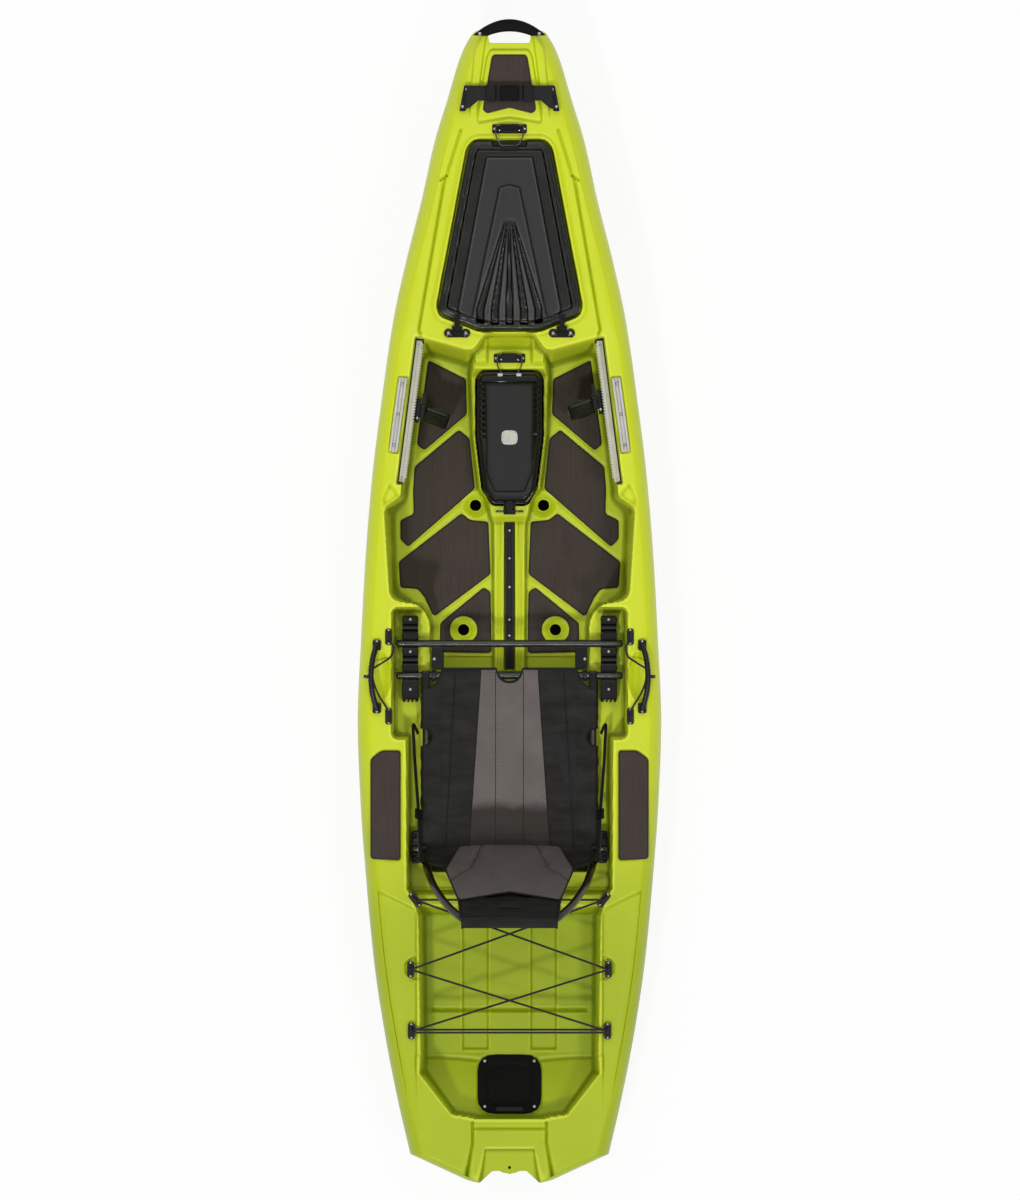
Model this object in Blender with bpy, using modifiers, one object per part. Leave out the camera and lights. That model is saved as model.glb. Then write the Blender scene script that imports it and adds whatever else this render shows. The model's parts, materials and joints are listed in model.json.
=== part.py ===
"""Sit-on-top fishing kayak with a framed seat, a bow hatch and a console box.

Metres. +Z is up, +Y points to the bow and +X to starboard, the right-hand side
of someone who sits in it. The origin lies on the keel's base plane, half way
along the boat. Hull lines, wells and pads are drawn for the standard hull and
follow its length and beam. Hardware keeps its own size.
"""

import math

import bmesh
import bpy
from mathutils import Matrix, Vector

# Driving sizes of the hull
HULL_LENGTH = 3.225
HULL_BEAM = 0.845
LINES_LENGTH = 3.225
LINES_BEAM = 0.845
WALL = 0.008
TOUCH = 0.0003

# Heights above the keel
FLOOR_Z = 0.095
LEDGE_Z = 0.200
TANK_Z = 0.170
BULKHEAD_Z = 0.235
CUTTER_TOP = 0.470

# Sheets, pads and tubes
PAD_THICKNESS = 0.005
GASKET = 0.006
TUBE_R = 0.0105
WIRE_R = 0.002
SCUPPER_R = 0.016

# Seat, in its low place
BAR_Z = 0.235
FRONT_BAR_Y = -0.204
LEG_REACH = 0.089
SEAT_LENGTH = 0.483
BACK_LENGTH = 0.440
BACK_LEAN = math.radians(26.6)
RACK_X = 0.276
RACK_WIDTH = 0.044
RACK_FRONT = 0.167
RACK_LENGTH = 0.241
RACK_HEIGHT = 0.040
RACK_GAP = 0.0115

# Stations of the hull: place along it, half beam, sheer height, keel height
# and the share of the half beam that the flat of the bottom takes
LINES = [
    (-1.535, 0.276, 0.320, 0.035, 0.78),
    (-1.380, 0.312, 0.321, 0.004, 0.80),
    (-1.200, 0.347, 0.322, 0.000, 0.81),
    (-1.000, 0.377, 0.324, 0.000, 0.82),
    (-0.770, 0.399, 0.325, 0.000, 0.82),
    (-0.550, 0.415, 0.325, 0.000, 0.82),
    (-0.330, 0.4225, 0.326, 0.000, 0.82),
    (-0.100, 0.413, 0.328, 0.000, 0.82),
    (0.120, 0.401, 0.333, 0.000, 0.82),
    (0.340, 0.383, 0.341, 0.000, 0.82),
    (0.560, 0.356, 0.351, 0.000, 0.80),
    (0.780, 0.324, 0.364, 0.000, 0.75),
    (0.950, 0.287, 0.373, 0.002, 0.68),
    (1.115, 0.245, 0.381, 0.012, 0.59),
    (1.280, 0.208, 0.388, 0.042, 0.48),
    (1.400, 0.171, 0.392, 0.080, 0.37),
    (1.500, 0.141, 0.395, 0.127, 0.26),
    (1.545, 0.122, 0.396, 0.155, 0.20),
    (1.585, 0.097, 0.397, 0.185, 0.14),
]
STERN_CORNER = -1.535
TRANSOM = -1.6125
TRANSOM_HALF = 0.107
TRANSOM_KEEL = 0.060
HULL_STATIONS = [
    -1.6125, -1.585, -1.560, -1.535, -1.460, -1.380, -1.300, -1.200, -1.080,
    -0.940, -0.770, -0.600, -0.430, -0.260, -0.100, 0.060, 0.200, 0.340,
    0.480, 0.620, 0.760, 0.880, 0.990, 1.090, 1.180, 1.270, 1.350, 1.420,
    1.480, 1.525, 1.560, 1.585,
]

COLOURS = {
    "hull_plastic": ((0.55, 0.63, 0.03), 0.45, 0.0),
    "foam_pad": ((0.056, 0.044, 0.038), 0.85, 0.0),
    "black_plastic": ((0.020, 0.020, 0.020), 0.45, 0.0),
    "lid_plastic": ((0.050, 0.049, 0.048), 0.50, 0.0),
    "black_metal": ((0.018, 0.018, 0.018), 0.35, 0.6),
    "bare_metal": ((0.53, 0.52, 0.49), 0.35, 0.9),
    "black_fabric": ((0.014, 0.014, 0.014), 0.85, 0.0),
    "grey_fabric": ((0.150, 0.130, 0.125), 0.90, 0.0),
    "webbing": ((0.012, 0.012, 0.012), 0.80, 0.0),
    "cord": ((0.020, 0.020, 0.020), 0.70, 0.0),
    "rubber": ((0.022, 0.022, 0.022), 0.70, 0.0),
}


def clear_scene():
    for obj in list(bpy.data.objects):
        bpy.data.objects.remove(obj)


def new_collection(name):
    made = bpy.data.collections.new(name)
    bpy.context.scene.collection.children.link(made)
    return made


def make_material(name, colour, roughness, metallic):
    made = bpy.data.materials.new(name)
    made.use_nodes = True
    shader = made.node_tree.nodes["Principled BSDF"]
    shader.inputs["Base Color"].default_value = (*colour, 1.0)
    shader.inputs["Roughness"].default_value = roughness
    shader.inputs["Metallic"].default_value = metallic
    made.diffuse_color = (*colour, 1.0)
    return made


clear_scene()
PARTS = new_collection("fishing_kayak")
CUTTERS = new_collection("cutters")


# Objects and modifiers
def add_object(name, data, look=None, parent=None):
    """A new object among the parts, or among the cutters where it has no look."""
    obj = bpy.data.objects.new(name, data)
    if look is None:
        CUTTERS.objects.link(obj)
        obj.hide_render = True
        obj.display_type = "WIRE"
    else:
        PARTS.objects.link(obj)
        colour, roughness, metallic = COLOURS[look]
        data.materials.clear()
        data.materials.append(make_material(name, colour, roughness, metallic))
    obj.parent = parent
    return obj


def mesh_object(name, bm, look=None, parent=None, smooth=False):
    bmesh.ops.recalc_face_normals(bm, faces=bm.faces)
    mesh = bpy.data.meshes.new(name)
    bm.to_mesh(mesh)
    bm.free()
    if smooth:
        mesh.shade_smooth()
        mesh.set_sharp_from_angle(angle=math.radians(35))
    return add_object(name, mesh, look, parent)


def place(obj, location=(0, 0, 0), rotation=(0, 0, 0)):
    obj.location = location
    obj.rotation_euler = rotation
    return obj


def empty(name, location, rotation=(0, 0, 0)):
    obj = bpy.data.objects.new(name, None)
    PARTS.objects.link(obj)
    obj.empty_display_size = 0.05
    return place(obj, location, rotation)


def boolean(obj, tool, operation):
    step = obj.modifiers.new(operation.lower(), "BOOLEAN")
    step.operation = operation
    step.solver = "EXACT"
    step.object = tool
    return obj


def cut(obj, *tools):
    for tool in tools:
        boolean(obj, tool, "DIFFERENCE")
    return obj


def join(obj, *tools):
    for tool in tools:
        boolean(obj, tool, "UNION")
    return obj


def rounded(obj, width, segments=1, angle=30):
    step = obj.modifiers.new("edges", "BEVEL")
    step.width = width
    step.segments = segments
    step.limit_method = "ANGLE"
    step.angle_limit = math.radians(angle)
    return obj


def world_matrix(obj):
    bpy.context.view_layer.update()
    return obj.matrix_world.copy()


def mirrored(obj, name, look=None):
    """A copy on the other side of the boat's middle plane."""
    graph = bpy.context.evaluated_depsgraph_get()
    mesh = bpy.data.meshes.new_from_object(obj.evaluated_get(graph))
    matrix = world_matrix(obj)
    origin = matrix.translation.copy()
    origin.x = -origin.x
    flip = Matrix.Diagonal((-1, 1, 1, 1))
    mesh.transform(Matrix.Translation(-origin) @ flip @ matrix)
    mesh.flip_normals()
    copy = add_object(name, mesh, look)
    copy.location = origin
    return copy


# Shapes
def box(name, size, location=(0, 0, 0), look=None, parent=None, rotation=(0, 0, 0)):
    bm = bmesh.new()
    bmesh.ops.create_cube(bm, size=1.0)
    bmesh.ops.scale(bm, vec=Vector(size), verts=bm.verts)
    return place(mesh_object(name, bm, look, parent), location, rotation)


def rod(name, radius, depth, location, axis="Z", sides=16, look=None, parent=None, tip=None):
    """A cylinder along an axis, or a cone where a tip radius is given."""
    bm = bmesh.new()
    bmesh.ops.create_cone(
        bm,
        cap_ends=True,
        segments=sides,
        radius1=radius,
        radius2=radius if tip is None else tip,
        depth=depth,
    )
    turn = {"X": (0, math.pi / 2, 0), "Y": (-math.pi / 2, 0, 0), "Z": (0, 0, 0)}[axis]
    return place(mesh_object(name, bm, look, parent, smooth=True), location, turn)


def curve_mesh(name, curve, look, parent, location=(0, 0, 0), rotation=(0, 0, 0)):
    """The curve made a mesh, with its caps welded to its sides."""
    holder = bpy.data.objects.new(name + "_curve", curve)
    CUTTERS.objects.link(holder)
    graph = bpy.context.evaluated_depsgraph_get()
    mesh = bpy.data.meshes.new_from_object(holder.evaluated_get(graph))
    matrix = world_matrix(holder)
    bpy.data.objects.remove(holder)
    bm = bmesh.new()
    bm.from_mesh(mesh)
    bmesh.ops.remove_doubles(bm, verts=bm.verts, dist=0.00005)
    bm.transform(matrix)
    return place(mesh_object(name, bm, look, parent, smooth=True), location, rotation)


def plate(name, outline, low, high, look=None, parent=None, location=(0, 0, 0), rotation=(0, 0, 0)):
    """A flat outline of (x, y) points with its two faces at the given local heights."""
    curve = bpy.data.curves.new(name, "CURVE")
    curve.dimensions = "2D"
    curve.fill_mode = "BOTH"
    curve.extrude = (high - low) / 2
    spline = curve.splines.new("POLY")
    spline.points.add(len(outline) - 1)
    for point, (x, y) in zip(spline.points, outline):
        point.co = (x, y, 0, 1)
    spline.use_cyclic_u = True
    obj = curve_mesh(name, curve, look, parent)
    obj.data.transform(Matrix.Translation((0, 0, (low + high) / 2)))
    return place(obj, location, rotation)


def tube(name, points, radius, look=None, parent=None, resolution=2, cyclic=False):
    """A round bar along 3-D points, with filled caps. Resolution 2 makes 8 sides."""
    curve = bpy.data.curves.new(name, "CURVE")
    curve.dimensions = "3D"
    curve.bevel_depth = radius
    curve.bevel_resolution = resolution
    curve.use_fill_caps = not cyclic
    spline = curve.splines.new("POLY")
    spline.points.add(len(points) - 1)
    for point, place_at in zip(spline.points, points):
        point.co = (*place_at, 1)
    spline.use_cyclic_u = cyclic
    return curve_mesh(name, curve, look, parent)


def turned(name, profile, look=None, parent=None, location=(0, 0, 0), rotation=(0, 0, 0), steps=16):
    """A profile of (radius, height) points, top to bottom, turned about Z."""
    mesh = bpy.data.meshes.new(name)
    points = [(radius, 0, height) for radius, height in profile]
    mesh.from_pydata(points, [(i, i + 1) for i in range(len(points) - 1)], [])
    obj = place(add_object(name, mesh, look, parent), location, rotation)
    screw = obj.modifiers.new("turn", "SCREW")
    screw.steps = steps
    screw.render_steps = steps
    screw.use_merge_vertices = True
    screw.merge_threshold = 0.00005
    return obj


def loft(name, rings, look=None, parent=None, smooth=True):
    """A closed body through rings of equally many points, with a flat cap at each end."""
    bm = bmesh.new()
    rows = [[bm.verts.new(point) for point in ring] for ring in rings]
    count = len(rings[0])
    for near, far in zip(rows, rows[1:]):
        for i in range(count):
            j = (i + 1) % count
            bm.faces.new((near[i], near[j], far[j], far[i]))
    bm.faces.new(rows[0])
    bm.faces.new(list(reversed(rows[-1])))
    bmesh.ops.recalc_face_normals(bm, faces=bm.faces)
    return mesh_object(name, bm, look, parent, smooth)


def both_sides(half):
    """A closed outline from its starboard half, listed bow to stern."""
    port = [(-x, y) for x, y in reversed(half) if x > 0]
    return list(half) + port


def fillet(outline, radius, segments=3):
    """The outline with each corner rounded by an arc, as far as its edges allow."""
    made = []
    count = len(outline)
    for i, corner in enumerate(outline):
        corner = Vector(corner)
        before = Vector(outline[i - 1]) - corner
        after = Vector(outline[(i + 1) % count]) - corner
        half = before.angle(after) / 2
        reach = min(radius / math.tan(half), 0.45 * before.length, 0.45 * after.length)
        start = corner + before.normalized() * reach
        end = corner + after.normalized() * reach
        for k in range(segments + 1):
            t = k / segments
            bend = start.lerp(corner, t).lerp(corner.lerp(end, t), t)
            made.append(tuple(bend))
    return made


def inset(outline, distance):
    """The outline moved inwards by a distance, corner by corner. It runs clockwise."""
    made = []
    count = len(outline)
    for i, corner in enumerate(outline):
        corner = Vector(corner)
        before = (corner - Vector(outline[i - 1])).normalized()
        after = (Vector(outline[(i + 1) % count]) - corner).normalized()
        side = Vector((before.y, -before.x)) + Vector((after.y, -after.x))
        side.normalize()
        lean = side.dot(Vector((after.y, -after.x)))
        made.append(tuple(corner + side * (distance / lean)))
    return made


def round_path(points, radius, segments=4):
    """A path with its inner corners rounded."""
    made = [Vector(points[0])]
    for before, corner, after in zip(points, points[1:], points[2:]):
        before, corner, after = Vector(before), Vector(corner), Vector(after)
        reach = min(radius, 0.48 * (corner - before).length, 0.48 * (after - corner).length)
        start = corner + (before - corner).normalized() * reach
        end = corner + (after - corner).normalized() * reach
        for k in range(segments + 1):
            t = k / segments
            made.append(start.lerp(corner, t).lerp(corner.lerp(end, t), t))
    made.append(Vector(points[-1]))
    return made


# Hull lines
def along(y):
    return y * HULL_LENGTH / LINES_LENGTH


def across(x):
    return x * HULL_BEAM / LINES_BEAM


def steepness(xs, ys, i):
    """The slope at a listed point that keeps the curve from overshooting."""
    if i in (0, len(xs) - 1):
        j = max(i - 1, 0)
        return (ys[j + 1] - ys[j]) / (xs[j + 1] - xs[j])
    low = (ys[i] - ys[i - 1]) / (xs[i] - xs[i - 1])
    high = (ys[i + 1] - ys[i]) / (xs[i + 1] - xs[i])
    return 0.0 if low * high <= 0 else 2 * low * high / (low + high)


def line_value(y, column):
    """One column of the hull's lines at a standard station, on a smooth curve."""
    xs = [row[0] for row in LINES]
    ys = [row[column] for row in LINES]
    i = 0
    while i < len(xs) - 2 and y > xs[i + 1]:
        i += 1
    width = xs[i + 1] - xs[i]
    t = min(max((y - xs[i]) / width, 0.0), 1.0)
    rise, run = steepness(xs, ys, i) * width, steepness(xs, ys, i + 1) * width
    start = (2 * t**3 - 3 * t**2 + 1) * ys[i] + (t**3 - 2 * t**2 + t) * rise
    return start + (3 * t**2 - 2 * t**3) * ys[i + 1] + (t**3 - t**2) * run


def hull_station(y):
    """Half beam, sheer, keel and bottom half width at a place along the real hull."""
    y = y * LINES_LENGTH / HULL_LENGTH
    half, sheer, keel, share = (line_value(y, column) for column in (1, 2, 3, 4))
    if y < STERN_CORNER:
        t = (STERN_CORNER - y) / (STERN_CORNER - TRANSOM)
        half += t * (TRANSOM_HALF - half)
        keel += t * (TRANSOM_KEEL - keel)
    return across(half), sheer, keel, across(half) * share


def deck_z(y):
    return hull_station(y)[1]


def deck_pitch(y, span):
    return math.atan2(deck_z(y + span / 2) - deck_z(y - span / 2), span)


def flank(y):
    """How far the deck edge lies inside the widest line."""
    t = min(max((y - along(0.6)) / along(0.7), 0.0), 1.0)
    return 0.028 + 0.006 * t


def half_section(y, wall=0.0, drop=0.0):
    """The starboard half of the hull's section, from keel to deck, (x, z) points."""
    half, sheer, keel, flat = hull_station(y)
    depth = sheer - keel
    tunnel = 0.024 * min(1.0, flat / 0.25)
    chine = keel + 0.14 * depth
    widest = sheer - 0.30 * depth
    waist = flat + 0.74 * (half - flat)
    edge = half - flank(y)
    points = [
        (0.0, keel),
        (0.11 * flat, keel),
        (0.26 * flat, keel + tunnel),
        (0.48 * flat, keel + tunnel),
        (0.62 * flat, keel),
        (0.84 * flat, keel),
        (flat, chine),
        (waist, chine + 0.36 * (widest - chine)),
        (half, widest),
        (edge + 0.006, sheer - 0.012),
        (edge - 0.004, sheer),
        (0.0, sheer),
    ]
    if wall:
        points = [
            (max(x - wall, 0.0), min(max(z, keel + wall + 0.024), sheer - drop))
            for x, z in points
        ]
    return points


# Footwell lengths follow the hull in front of the seat and stay fixed behind it
LEDGE_FRONT = FRONT_BAR_Y + RACK_FRONT + 0.016
LEDGE_BACK = FRONT_BAR_Y + RACK_FRONT - RACK_LENGTH - 0.095
LEDGE_HALF = across(0.321)
SEAT_BACK = FRONT_BAR_Y - SEAT_LENGTH
WELL_BACK = SEAT_BACK - 0.073
TANK_FRONT = SEAT_BACK - 0.183
TANK_BACK = along(-1.430)
FOOT_FRONT = along(0.757)
FOOT_FRONT_LINES = 0.757


def foot(y):
    """A standard footwell place on the real hull. Places beside the seat stay put."""
    if y < LEDGE_FRONT:
        return y
    return LEDGE_FRONT + (y - LEDGE_FRONT) * (FOOT_FRONT - LEDGE_FRONT) / (
        FOOT_FRONT_LINES - LEDGE_FRONT
    )


def foot_points(points):
    return [(across(x), foot(y)) for x, y in points]


FLOOR_LINE = foot_points([
    (0.0, 0.695),
    (0.075, 0.690),
    (0.107, 0.650),
    (0.236, 0.690),
    (0.283, 0.318),
    (0.284, 0.290),
    (0.319, 0.252),
    (0.315, 0.040),
    (0.296, 0.006),
    (0.234, -0.020),
    (0.216, -0.060),
]) + [(across(0.216), WELL_BACK)]
RIM_LINE = foot_points([
    (0.0, 0.757),
    (0.071, 0.748),
    (0.102, 0.698),
    (0.248, 0.738),
    (0.301, 0.322),
    (0.301, 0.294),
    (0.350, 0.262),
    (0.334, 0.022),
    (0.318, 0.004),
    (0.250, -0.006),
    (0.227, -0.046),
]) + [(across(0.227), WELL_BACK)]
RIM_Z = 0.345

# Console box, placed from the front of the footwell
CONSOLE_LENGTH = 0.366
CONSOLE_FRONT = foot(0.641)
CONSOLE_BACK = CONSOLE_FRONT - CONSOLE_LENGTH
CONSOLE_HALF = 0.090
CONSOLE_FLOOR = 0.105
CONSOLE_RIM = 0.232
CONSOLE_GAP = 0.0015
SLOT_PITCH = 0.017
SPINE_TOP = 0.172
LATCH_BLOCK = 0.226
TRACK_TOP = 0.118


def spine_rings(grow=0.0):
    """Sections of the raised spine, from the front wall to the seat."""
    rows = [
        (FOOT_FRONT - 0.012, 0.116, 0.100, LATCH_BLOCK),
        (CONSOLE_FRONT + 0.010, 0.116, 0.100, LATCH_BLOCK),
        (CONSOLE_FRONT - 0.012, 0.116, 0.107, SPINE_TOP + 0.004),
        (CONSOLE_BACK + 0.183, 0.108, 0.102, SPINE_TOP),
        (CONSOLE_BACK + 0.044, 0.091, 0.085, SPINE_TOP - 0.004),
        (CONSOLE_BACK + 0.018, 0.068, 0.061, SPINE_TOP - 0.008),
        (CONSOLE_BACK - 0.034, 0.058, 0.051, SPINE_TOP - 0.014),
        (CONSOLE_BACK - 0.056, 0.049, 0.044, TRACK_TOP + 0.004),
        (FRONT_BAR_Y + 0.010, 0.046, 0.042, TRACK_TOP),
    ]
    rings = []
    for y, foot_half, top_half, top in rows:
        base = FLOOR_Z - 0.010
        foot_half += grow
        top_half += grow
        rings.append([
            (foot_half, y, base),
            (foot_half, y, FLOOR_Z),
            (top_half, y, top - 0.004),
            (top_half - 0.005, y, top),
            (-top_half + 0.005, y, top),
            (-top_half, y, top - 0.004),
            (-foot_half, y, FLOOR_Z),
            (-foot_half, y, base),
        ])
    return rings


CONSOLE_LINE = [
    (0.076, CONSOLE_FRONT),
    (CONSOLE_HALF, CONSOLE_FRONT - 0.017),
    (CONSOLE_HALF, CONSOLE_BACK + 0.186),
    (0.072, CONSOLE_BACK + 0.036),
    (0.047, CONSOLE_BACK),
]

# Bow hatch, in a frame whose origin is the hinge axis
HINGE_Y = along(0.757)
HINGE_RISE = 0.010
HATCH_LENGTH = along(0.519)
HATCH_PITCH = deck_pitch(HINGE_Y + HATCH_LENGTH / 2, HATCH_LENGTH)
HATCH_LINE = [
    (across(0.096), HATCH_LENGTH),
    (across(0.114), HATCH_LENGTH - 0.020),
    (across(0.197), 0.063),
    (across(0.189), 0.040),
    (across(0.082), -0.002),
]
RECESS = -HINGE_RISE - 0.028
LID_BOTTOM = RECESS + GASKET + 2 * TOUCH
LID_TOP = 0.004
LID_GAP = 0.0025


def well_rings():
    """Sections of the rear well: seat ledge, bulkhead, tank-well floor and ramp."""
    tank = TANK_BACK - TANK_FRONT
    rows = [
        (LEDGE_BACK + 0.020, 0.280, LEDGE_Z, 0.288),
        (SEAT_BACK - 0.108, 0.280, LEDGE_Z, 0.286),
        (SEAT_BACK - 0.128, 0.264, BULKHEAD_Z, 0.272),
        (SEAT_BACK - 0.158, 0.252, BULKHEAD_Z, 0.262),
        (TANK_FRONT, 0.238, TANK_Z, 0.254),
        (TANK_FRONT + 0.690 * tank, 0.234, TANK_Z, 0.248),
        (TANK_FRONT + 0.780 * tank, 0.234, 0.194, 0.252),
        (TANK_FRONT + 0.983 * tank, 0.152, 0.250, 0.163),
        (TANK_BACK, 0.096, 0.256, 0.102),
    ]
    rings = []
    for y, low_half, low, high_half in rows:
        low_half, high_half = across(low_half), across(high_half)
        half = [
            (low_half - 0.008, low),
            (low_half - 0.002, low + 0.002),
            (low_half, low + 0.008),
            (high_half, CUTTER_TOP),
        ]
        ring = [(x, y, z) for x, z in half] + [(-x, y, z) for x, z in reversed(half)]
        rings.append(ring)
    return rings


def hull_half():
    """The starboard half of the outer hull, an open surface for its Mirror."""
    bm = bmesh.new()
    rows = []
    for station in HULL_STATIONS:
        y = along(station)
        rows.append([bm.verts.new((x, y, z)) for x, z in half_section(y)])
    for near, far in zip(rows, rows[1:]):
        for i in range(len(near) - 1):
            bm.faces.new((near[i], near[i + 1], far[i + 1], far[i]))
    bm.faces.new(list(reversed(rows[0])))
    bm.faces.new(rows[-1])
    bmesh.ops.recalc_face_normals(bm, faces=bm.faces)
    hull = mesh_object("hull", bm, "hull_plastic", smooth=True)
    mirror = hull.modifiers.new("port", "MIRROR")
    mirror.merge_threshold = 0.0001
    mirror.use_clip = True
    return hull


def plan_loft(name, low_line, low_z, high_line, high_z, radius=0.02):
    """A drafted well between a floor outline and a rim outline, carried on up past the deck."""
    low = fillet(both_sides(low_line), radius)
    high = fillet(both_sides(high_line), radius)
    rings = [
        [(x, y, low_z) for x, y in low],
        [(x, y, high_z) for x, y in high],
        [(x, y, CUTTER_TOP) for x, y in high],
    ]
    return loft(name, rings)


# Deck fittings that sit in flat recesses of the hull
SIDE_PAD_Y = -0.563
SIDE_PAD_LINE = [
    (across(0.302), -0.411),
    (across(0.354), -0.411),
    (across(0.386), -0.434),
    (across(0.386), -0.712),
    (across(0.302), -0.716),
]
TRACK_LENGTH = 0.207
TRACK_WIDTH = 0.024
TRACK_HEIGHT = 0.011
TRACK_Y = foot(0.520)
TRACK_X = across(0.3085)
TRACK_YAW = math.atan2(across(0.028), foot(0.622) - foot(0.417))
RAIL_LENGTH = 0.395
RAIL_WIDTH = 0.017
RAIL_HEIGHT = 0.045
RAIL_Z = 0.262
RAIL_YAW = math.atan2(RIM_LINE[4][0] - RIM_LINE[3][0], RIM_LINE[3][1] - RIM_LINE[4][1])
RAIL_MIDDLE = (
    (RIM_LINE[3][0] + RIM_LINE[4][0]) / 2,
    (RIM_LINE[3][1] + RIM_LINE[4][1]) / 2,
)
PLATE_SIZE = 0.178
PLATE_SLOPE = math.atan2(0.250 - TANK_Z, 0.293 * (TANK_FRONT - TANK_BACK))
PLATE_MIDDLE = TANK_FRONT + 0.845 * (TANK_BACK - TANK_FRONT)
HANDLE_Y = along(-0.206)
HANDLE_X = across(0.376)
BOW_STRAP_Y = along(1.408)
BOW_MIDDLE = along(1.445)
BOW_PITCH = deck_pitch(BOW_MIDDLE, along(0.2))
STRAP_SHIFT = BOW_STRAP_Y - BOW_MIDDLE
STRAP_SEAT = 0.003
STRAP_BRACKET = [
    (across(0.109), STRAP_SHIFT + 0.022),
    (across(0.126), STRAP_SHIFT + 0.022),
    (across(0.139), STRAP_SHIFT - 0.050),
    (across(0.121), STRAP_SHIFT - 0.050),
]


def build_hull():
    hull = hull_half()
    footwell = plan_loft("footwell_cutter", FLOOR_LINE, FLOOR_Z, RIM_LINE, RIM_Z)
    ledge = [
        (LEDGE_HALF, LEDGE_FRONT),
        (LEDGE_HALF, LEDGE_BACK),
    ]
    rack_recess = plate("ledge_cutter", fillet(both_sides(ledge), 0.012), LEDGE_Z, CUTTER_TOP)
    rear_well = loft("rear_well_cutter", well_rings())
    cut(hull, footwell, rack_recess, rear_well)
    join(hull, loft("spine", spine_rings()), bow_plateau(), *strap_seats())
    cut(hull, console_pocket(), track_slot())
    hatch_hollow(hull)
    for side in (1, -1):
        cut(hull, *side_recesses(side))
    cut(hull, *scuppers())
    cut(hull, stern_plate_recess(), bow_gap(), stern_notch(), drain_recess())
    return hull


def bow_plateau():
    """The raised foot of the bow pad, with its shallow V end."""
    half = [
        (0.052, 0.078),
        (0.060, 0.060),
        (0.086, -0.112),
        (0.0, -0.098),
    ]
    return plate(
        "plateau",
        fillet(both_sides(half), 0.004, 1),
        -0.020,
        0.012,
        location=(0, BOW_MIDDLE, deck_z(BOW_MIDDLE)),
        rotation=(BOW_PITCH, 0, 0),
    )


def strap_seats():
    """Two low bosses that the bow strap's brackets are screwed to."""
    made = []
    for side in (1, -1):
        line = [(side * x, y) for x, y in STRAP_BRACKET]
        line = inset(line if side > 0 else line[::-1], -0.003)
        made.append(
            plate(
                f"strap_seat_{side}", line, -0.015, STRAP_SEAT,
                location=(0, BOW_MIDDLE, deck_z(BOW_MIDDLE)), rotation=(BOW_PITCH, 0, 0),
            )
        )
    return made


def console_pocket():
    line = inset(both_sides(CONSOLE_LINE), -CONSOLE_GAP)
    return plate("pocket_cutter", fillet(line, 0.010, 2), CONSOLE_FLOOR, 0.300)


TRACK_SLOT = (CONSOLE_BACK - 0.052, FRONT_BAR_Y + 0.016)
CENTRE_TRACK_WIDTH = 0.0250


def track_slot():
    front, back = TRACK_SLOT
    return box(
        "centre_track_cutter",
        (CENTRE_TRACK_WIDTH + 0.001, front - back, 0.100),
        (0, (front + back) / 2, TRACK_TOP - 0.012 + 0.050),
    )


def hatch_hollow(hull):
    """The lid's recess, the opening inside its gasket and the bow storage under it."""
    turn = (HATCH_PITCH, 0, 0)
    origin = (0, HINGE_Y, deck_z(HINGE_Y) + HINGE_RISE)
    line = both_sides(HATCH_LINE)
    recess = plate(
        "hatch_recess_cutter", fillet(inset(line, -LID_GAP), 0.012), RECESS, 0.100,
        location=origin, rotation=turn,
    )
    mouth = plate(
        "hatch_mouth_cutter", fillet(inset(line, 0.026), 0.012), -0.140, 0.100,
        location=origin, rotation=turn,
    )
    rings = []
    for station in (0.790, 0.900, 1.010, 1.120, 1.230, 1.330, 1.420, 1.490):
        y = along(station)
        half = half_section(y, WALL, 0.052)
        half = [point for i, point in enumerate(half) if i not in (1, 2, 3, 4, 9)]
        ring = [(x, y, z) for x, z in half]
        ring += [(-x, y, z) for x, z in reversed(half) if x > 0.0]
        rings.append(ring)
    storage = loft("bow_storage_cutter", rings)
    cut(hull, recess, storage, mouth)


def side_recesses(side):
    """Recesses for one side's deck pad, short track, long rail and side handle."""
    pad = [(side * x, y) for x, y in SIDE_PAD_LINE]
    pad = pad if side > 0 else pad[::-1]
    sunk = deck_z(SIDE_PAD_Y) - 0.004
    made = [
        plate(f"side_pad_cutter_{side}", fillet(inset(pad, -0.001), 0.010, 2), sunk, sunk + 0.060)
    ]
    made.append(
        box(
            f"track_cutter_{side}",
            (TRACK_WIDTH + 0.002, TRACK_LENGTH + 0.004, 0.060),
            (side * TRACK_X, TRACK_Y, deck_z(TRACK_Y) - 0.008 + 0.030),
            rotation=(deck_pitch(TRACK_Y, TRACK_LENGTH), 0, side * TRACK_YAW),
        )
    )
    x, y = RAIL_MIDDLE
    made.append(
        box(
            f"rail_cutter_{side}",
            (RAIL_WIDTH + 0.0006, RAIL_LENGTH + 0.006, 0.160),
            (side * x, y, RAIL_Z + 0.080),
            rotation=(0, 0, side * RAIL_YAW),
        )
    )
    made.append(
        rod(
            f"grip_cutter_{side}",
            0.036,
            0.090,
            (side * (HANDLE_X - 0.012), HANDLE_Y, deck_z(HANDLE_Y) + 0.012),
            sides=20,
            tip=0.052,
        )
    )
    return made


SCUPPERS = [
    (across(0.0951), foot(0.271)),
    (across(0.1285), -0.077),
]


def scuppers():
    made = []
    for number, (x, y) in enumerate(SCUPPERS):
        for side in (1, -1):
            name = f"scupper_cutter_{number}_{side}"
            made.append(rod(name, SCUPPER_R, 0.300, (side * x, y, 0.050), sides=16))
            made.append(
                rod(
                    name + "_dish", SCUPPER_R, 0.014, (side * x, y, FLOOR_Z - 0.001), sides=16,
                    tip=0.034,
                )
            )
    return made


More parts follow.
